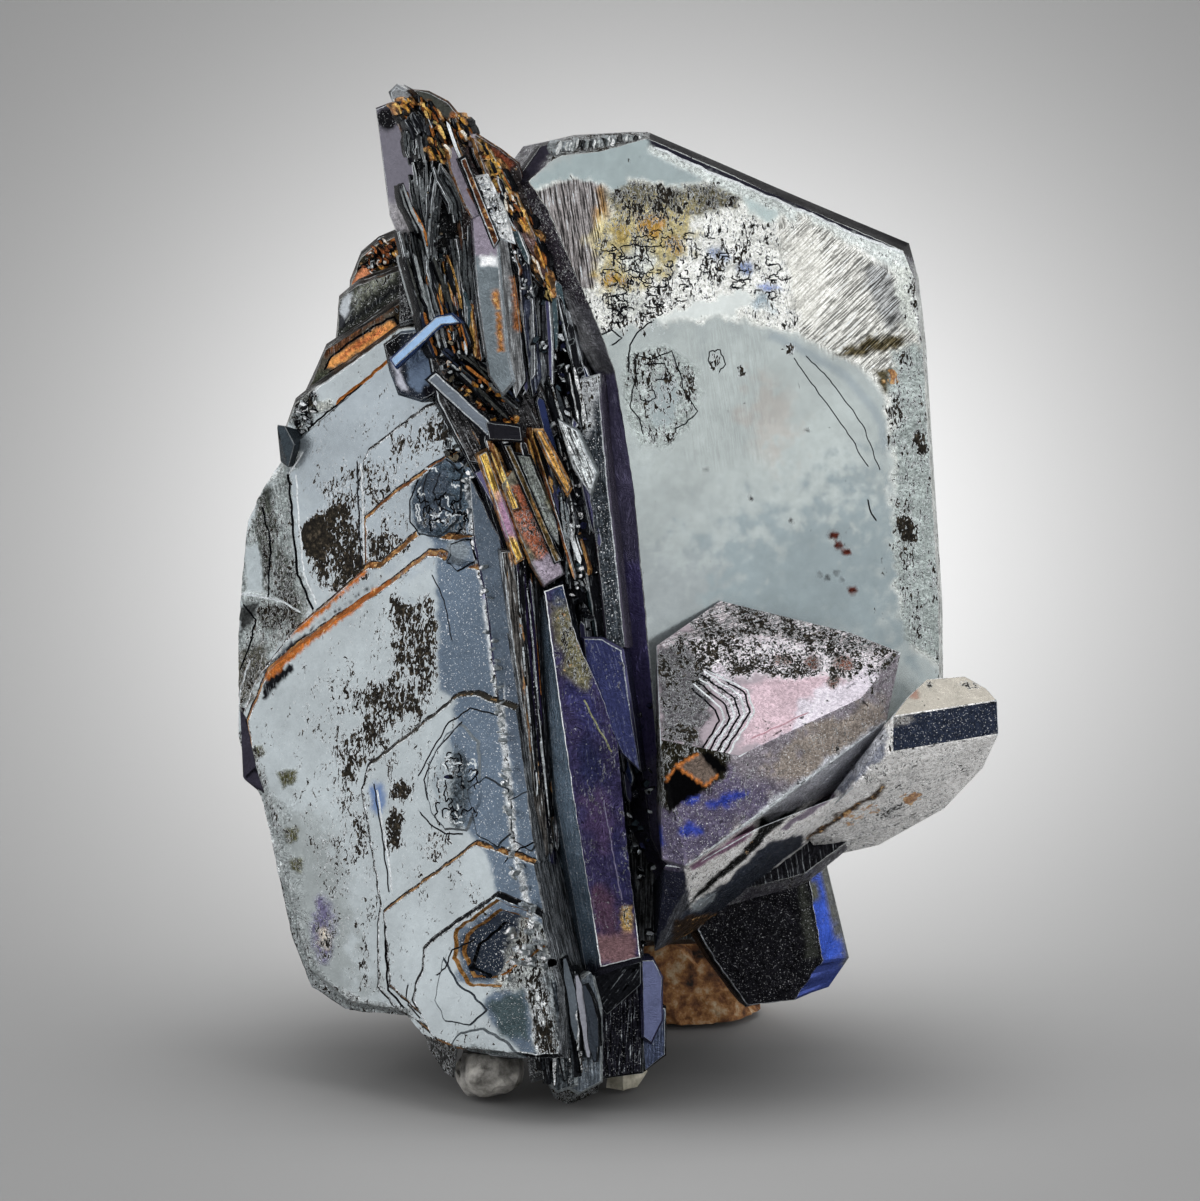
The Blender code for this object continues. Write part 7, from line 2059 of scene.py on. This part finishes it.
def hematite_material():
    """Metal of every tint, with pits, iron stain, striae and painted glints where the mesh's marks ask for them."""
    m = Material("hematite")
    marks = m.add("ShaderNodeSeparateColor", {0: m.attribute("marks")}, 0).node.outputs
    mottle, stain, rough = marks[0], marks[1], marks[2]
    striae = m.attribute("marks", "Alpha")
    painted_glints = m.attribute("tone", "Alpha")
    grain = m.attribute("grain", "Vector")

    broad = m.between(m.noise(m.place, 0.18, 2.0), 0.3, 0.7, 0.9, 1.1)
    fine = m.between(m.noise(m.place, 1.6, 4.0), 0.3, 0.7, 0.95, 1.05)
    lines = m.noise(m.stretched(grain, 0.6, 9.5, 1.0), 1.0, 3.0, 0.6, distortion=0.4)
    lined = m.blend(striae, 1.0, m.between(lines, 0.41, 0.59, 0.12, 1.75))
    grit = m.noise(m.place, 5.0, 5.0, 0.7)
    gritty = m.blend(rough, 1.0, m.between(grit, 0.36, 0.64, 0.35, 1.6))
    wavy = m.noise(m.place, 0.9, 4.0, 0.55, distortion=0.7)
    levels = m.math("PINGPONG", m.math("MULTIPLY", wavy, 13.0), 0.5)
    creases = m.math("MULTIPLY", m.between(levels, 0.02, 0.09), m.between(levels, 0.3, 0.1, 1.0, 1.45))
    creased = m.blend(m.between(rough, 0.2, 0.6), 1.0, m.math("MULTIPLY_ADD", creases, 0.9, 0.1))
    shade = m.math("MULTIPLY", m.math("MULTIPLY", broad, fine), m.math("MULTIPLY", lined, gritty))
    shade = m.math("MULTIPLY", shade, creased)
    color = m.mix(1.0, m.attribute("tone"), m.gray(shade), "MULTIPLY")

    long_place = m.stretched(m.place, 1.4, 1.4, 0.66)
    spots = m.math("MULTIPLY_ADD", m.noise(long_place, 3.7, 4.0, 0.6, distortion=1.2), 0.66,
                   m.math("MULTIPLY", m.noise(long_place, 0.6, 3.0, 0.6), 0.34))
    spots = m.math("ADD", spots, m.math("MULTIPLY_ADD", mottle, 0.36, -0.18))
    spotted = m.between(spots, 0.5, 0.512)
    # A painted highlight rings each dark pit.
    rim = m.math("SUBTRACT", m.between(spots, 0.468, 0.498), spotted)
    dark = m.ramp(m.noise(m.place, 4.4, 4.0, 0.7), (0.4, (0.01, 0.009, 0.008)), (0.56, (0.026, 0.022, 0.016)),
                  (0.7, (0.1, 0.08, 0.055)))
    color = m.mix(m.math("MULTIPLY", rim, m.between(mottle, 0.0, 0.4, 0.0, 0.9)), color, (0.82, 0.86, 0.89, 1.0))
    color = m.mix(spotted, color, dark)

    streaks = m.noise(m.stretched(grain, 0.3, 3.2, 1.0), 1.0, 5.0, 0.6, distortion=0.6)
    rust = m.blend(striae, m.noise(m.place, 1.7, 6.0, 0.68), streaks)
    rust = m.math("ADD", rust, m.math("MULTIPLY_ADD", stain, 0.5, -0.25))
    rusted = m.between(rust, 0.5, 0.57)
    earth = m.ramp(m.noise(m.place, 3.4, 5.0, 0.7), (0.34, (0.03, 0.012, 0.004)), (0.46, (0.3, 0.11, 0.03)),
                   (0.58, (0.66, 0.36, 0.12)), (0.7, (0.85, 0.66, 0.36)))
    color = m.mix(m.math("MULTIPLY", rusted, 0.9), color, earth)

    # Painted glints along the brightest striae.
    painted_glint_lines = m.math("MULTIPLY", m.between(lines, 0.6, 0.65), m.math("MULTIPLY", striae, 0.85))
    painted_glint_lines = m.math("MULTIPLY", painted_glint_lines, m.between(grit, 0.4, 0.5))
    color = m.mix(painted_glint_lines, color, (0.62, 0.68, 0.72, 1.0))
    # Painted glints: white specks where the look asks for them.
    glint_specks = m.math("MULTIPLY", m.between(m.noise(m.place, 11.0, 2.0), 0.63, 0.67), painted_glints)
    color = m.mix(glint_specks, color, (0.95, 0.97, 1.0, 1.0))

    metal = m.math("SUBTRACT", 0.75, m.math("MULTIPLY_ADD", spotted, 0.5, m.math("MULTIPLY", rusted, 0.2)))
    metal = m.math("MAXIMUM", m.math("SUBTRACT", metal, m.math("MULTIPLY", rough, 0.3)), 0.0)
    uneven = m.math("MULTIPLY_ADD", rough, 0.2, 0.2)
    uneven = m.math("ADD", uneven, m.math("MULTIPLY_ADD", spotted, 0.25, m.math("MULTIPLY", rusted, 0.2)))
    relief = m.math("MULTIPLY_ADD", grit, 0.03, m.math("MULTIPLY", levels, 0.14))
    height = m.math("MULTIPLY", relief, rough)
    height = m.math("ADD", height, m.math("MULTIPLY", m.math("MULTIPLY", lines, striae), 0.08))
    height = m.math("SUBTRACT", height, m.math("MULTIPLY", spotted, 0.02))
    brightness = m.math("MULTIPLY", m.add("ShaderNodeRGBToBW", {0: color}), 2.5)
    tint = m.gray(m.math("MINIMUM", brightness, 1.0))
    return m.surface(Base_Color=color, Metallic=metal, Roughness=uneven, Normal=m.bump(height), Specular_Tint=tint)


def limonite_material():
    """Earthy orange-brown crust with cream and black patches."""
    m = Material("limonite")
    color = m.ramp(m.noise(m.place, 0.9, 8.0, 0.66), (0.34, (0.02, 0.012, 0.008)), (0.46, (0.2, 0.08, 0.03)),
                   (0.54, (0.42, 0.2, 0.07)), (0.66, (0.62, 0.5, 0.33)))
    height = m.math("MULTIPLY", m.noise(m.place, 3.0, 8.0, 0.7), 0.16)
    return m.surface(Base_Color=color, Roughness=0.85, Normal=m.bump(height))


def quartz_material(name, low, high):
    """Cloudy quartz between two colours."""
    m = Material(name)
    color = m.ramp(m.noise(m.place, 1.1, 7.0, 0.62), (0.32, low), (0.66, high))
    height = m.math("MULTIPLY", m.noise(m.place, 2.6, 7.0, 0.7), 0.1)
    return m.surface(Base_Color=color, Roughness=0.42, Normal=m.bump(height), Subsurface_Weight=0.2,
                     Subsurface_Radius=(0.001, 0.001, 0.0008))


# What the faces mirror: soft bright panels and dark gaps, with even lobes where the large faces look. The
# panels' values are the light of a gap and of a panel. Each lobe: azimuth (as for faces), height, inner and
# outer half-width in degrees, light.
PANELS = (0.25, 1.9)
PANEL_EDGES = (0.42, 0.58)
PANEL_SCALE = 2.6
LOBES = [
    (-55, 4, 18, 34, 0.95),
    (40, 3, 18, 34, 0.95),
    (0, 88, 24, 40, 0.8),
    (10, 4, 6, 20, 0.62),
]


def world_light():
    """A light tent with panels and gaps."""
    world = bpy.data.worlds.new("surroundings")
    world.use_nodes = True
    m = Nodes(world.node_tree)
    way = m.add("ShaderNodeTexCoord", {}, "Generated")
    panels = m.add("ShaderNodeTexNoise", {"Vector": way, "Scale": PANEL_SCALE, "Detail": 1.0})
    light = m.between(panels, *PANEL_EDGES, *PANELS)
    for azimuth, height, inner, outer, value in LOBES:
        aim = Face((0, 0, 0), azimuth, height).normal
        nearness = m.add("ShaderNodeVectorMath", {0: way, 1: aim}, "Value", operation="DOT_PRODUCT")
        share = m.between(nearness, cos(radians(outer)), cos(radians(inner)))
        light = m.blend(share, light, value)
    background = world.node_tree.nodes["Background"].inputs
    m.put(background["Strength"], light)
    m.put(background["Color"], (1.0, 1.0, 1.0, 1.0))
    bpy.context.scene.world = world


# The ground: its grid in millimetres, and its light from 0 to 255 over the photograph's frame, which is a
# bright spot behind the specimen and a shade under it. It is paler outside the frame, and so lights the
# undersides.
BACKDROP_COLUMNS = ((-1000, -220, 6), (-200, 200, 101), (220, 1000, 6))
BACKDROP_ROWS = ((-600, -130, 5), (-120, 520, 129), (600, 2000, 6))
BACKDROP_DEPTH = 0.0003
BACKDROP_DARK = 138.0
BACKDROP_RISE = 120.0
BACKDROP_PALE = 242.0
SPOT_MIDDLE = (640, 525)
SPOT_SPREAD = (530, 500)
SHADE_MIDDLE = (600, 1060)
SHADE_SPREAD = (330, 60)
SHADE_DEPTH = 0.35
FRAME_MARGIN = (60.0, 260.0)
NEAR_EYE = 30.0


def spot(pixels, middle, spread):
    """A soft spot that is 1 in its middle."""
    away = ((pixels[:, 0] - middle[0]) / spread[0]) ** 2 + ((pixels[:, 1] - middle[1]) / spread[1]) ** 2
    return np.exp(-away)


def backdrop_light(places):
    """How light the ground is at each place."""
    pixels = pixels_of(places)
    behind = (places - EYE) @ VIEW_AHEAD < NEAR_EYE
    light = BACKDROP_DARK + BACKDROP_RISE * np.where(behind, 0.0, spot(pixels, SPOT_MIDDLE, SPOT_SPREAD))
    light *= 1.0 - SHADE_DEPTH * np.where(behind, 0.0, spot(pixels, SHADE_MIDDLE, SHADE_SPREAD))
    beyond = np.maximum(np.abs(pixels - PHOTO_MIDDLE).max(1) - PHOTO_WIDTH * 0.5, 0.0)
    beyond = np.where(behind, FRAME_MARGIN[1], beyond)
    share = smooth_step((beyond - FRAME_MARGIN[0]) / (FRAME_MARGIN[1] - FRAME_MARGIN[0]))
    return light + (BACKDROP_PALE - light) * share


def backdrop():
    """The pale ground, lighter behind the specimen and shaded under it."""
    columns = np.concatenate([np.linspace(*span) for span in BACKDROP_COLUMNS])
    rows = np.concatenate([np.linspace(*span) for span in BACKDROP_ROWS])
    places = np.array([(x, y, 0.0) for y in rows for x in columns])
    count = len(columns)
    quads = [(row * count + i, row * count + i + 1, (row + 1) * count + i + 1, (row + 1) * count + i)
             for row in range(len(rows) - 1) for i in range(count - 1)]
    mesh = bpy.data.meshes.new("backdrop")
    low = (0.0, 0.0, BACKDROP_DEPTH)
    mesh.from_pydata([tuple(place) for place in (places + MOVED) * MM - low], [], quads)
    layer = mesh.attributes.new("tone", "FLOAT_COLOR", "POINT")
    gray = (backdrop_light(places) / 255.0) ** SCREEN_GAMMA
    colors = np.column_stack((gray, gray, gray, np.ones(len(gray))))
    layer.data.foreach_set("color", colors.astype(np.float32).ravel())
    m = Material("backdrop")
    mesh.materials.append(m.surface(Base_Color=m.attribute("tone"), Roughness=1.0, Specular_IOR_Level=0.0))
    floor = placed("backdrop", mesh)


SENSOR = 36.0
CLIPPING = (0.01, 20.0)


def camera():
    """The camera that took the photograph."""
    data = bpy.data.cameras.new("camera")
    data.sensor_fit = "HORIZONTAL"
    data.sensor_width = SENSOR
    data.lens = SENSOR * VIEW_DISTANCE / (PHOTO_WIDTH * PIXEL)
    data.clip_start, data.clip_end = CLIPPING
    thing = placed("camera", data)
    thing.location = Vector((EYE + MOVED) * MM)
    thing.rotation_euler = (radians(90) - VIEW_HEIGHT, 0.0, 0.0)
    bpy.context.scene.camera = thing


# The lamp above: its side in metres, its watts and its place.
LAMP_SIZE = 0.35
LAMP_POWER = 0.8
LAMP_PLACE = (0.05, 0.02, 0.5)


def overhead_light():
    """A soft lamp that isn't mirrored."""
    data = bpy.data.lights.new("overhead", "AREA")
    data.size = LAMP_SIZE
    data.energy = LAMP_POWER
    thing = placed("overhead", data)
    thing.location = LAMP_PLACE
    thing.visible_glossy = False


hematite = hematite_material()
SHELF_BLOCKS = ("shelf", "shelf_block", "shelf_lower", "recess_crystal")
NODE = "hematite_crystals"
pieces = {
    "left_book": left_book(),
    "ledges": ledges(),
    "spine": [lath(number, row) for number, row in enumerate(SPINE_LATHS)],
    "tower": [lath(number + 40, row) for number, row in enumerate(TOWER_LATHS)],
    "thin_laths": bundles(),
    "ridges": ridges(),
    "purple_prism": [purple_prism()],
    "right_plate": [right_plate()],
    "shelf": [crystal_block(name, 0.17, EDGE_HIGHLIGHT) for name in SHELF_BLOCKS],
    "small_crystals": [crystal_block(name) for name in BLOCKS if name not in SHELF_BLOCKS],
    "foot_crystal": [foot_crystal()],
    "rear_plates": rear_plates(),
}
for name, solids in pieces.items():
    piece(name, solids, hematite, NODE)
# The stones: node, size of its triangles, height of its bumps, how fine they are, material, slot.
quartz = quartz_material("quartz", (0.09, 0.085, 0.075), (0.6, 0.58, 0.54))
chip_quartz = quartz_material("quartz_chip", (0.3, 0.28, 0.2), (0.8, 0.76, 0.64))
stones = [
    ("limonite_matrix", 0.45, 0.1, 1.4, limonite_material(), "limonite"),
    ("quartz_lump", 0.3, 0.08, 1.2, quartz, "quartz"),
    ("quartz_chip", 0.25, 0.05, 1.5, chip_quartz, "quartz_chip"),
]
for number, (node, step, bumps, grain, material, slot) in enumerate(stones, 1):
    piece(node, [stone(node, EARTH, step, bumps, grain, number)], material, node)
world_light()
overhead_light()
backdrop()
camera()
bpy.context.scene.view_settings.view_transform = "Standard"
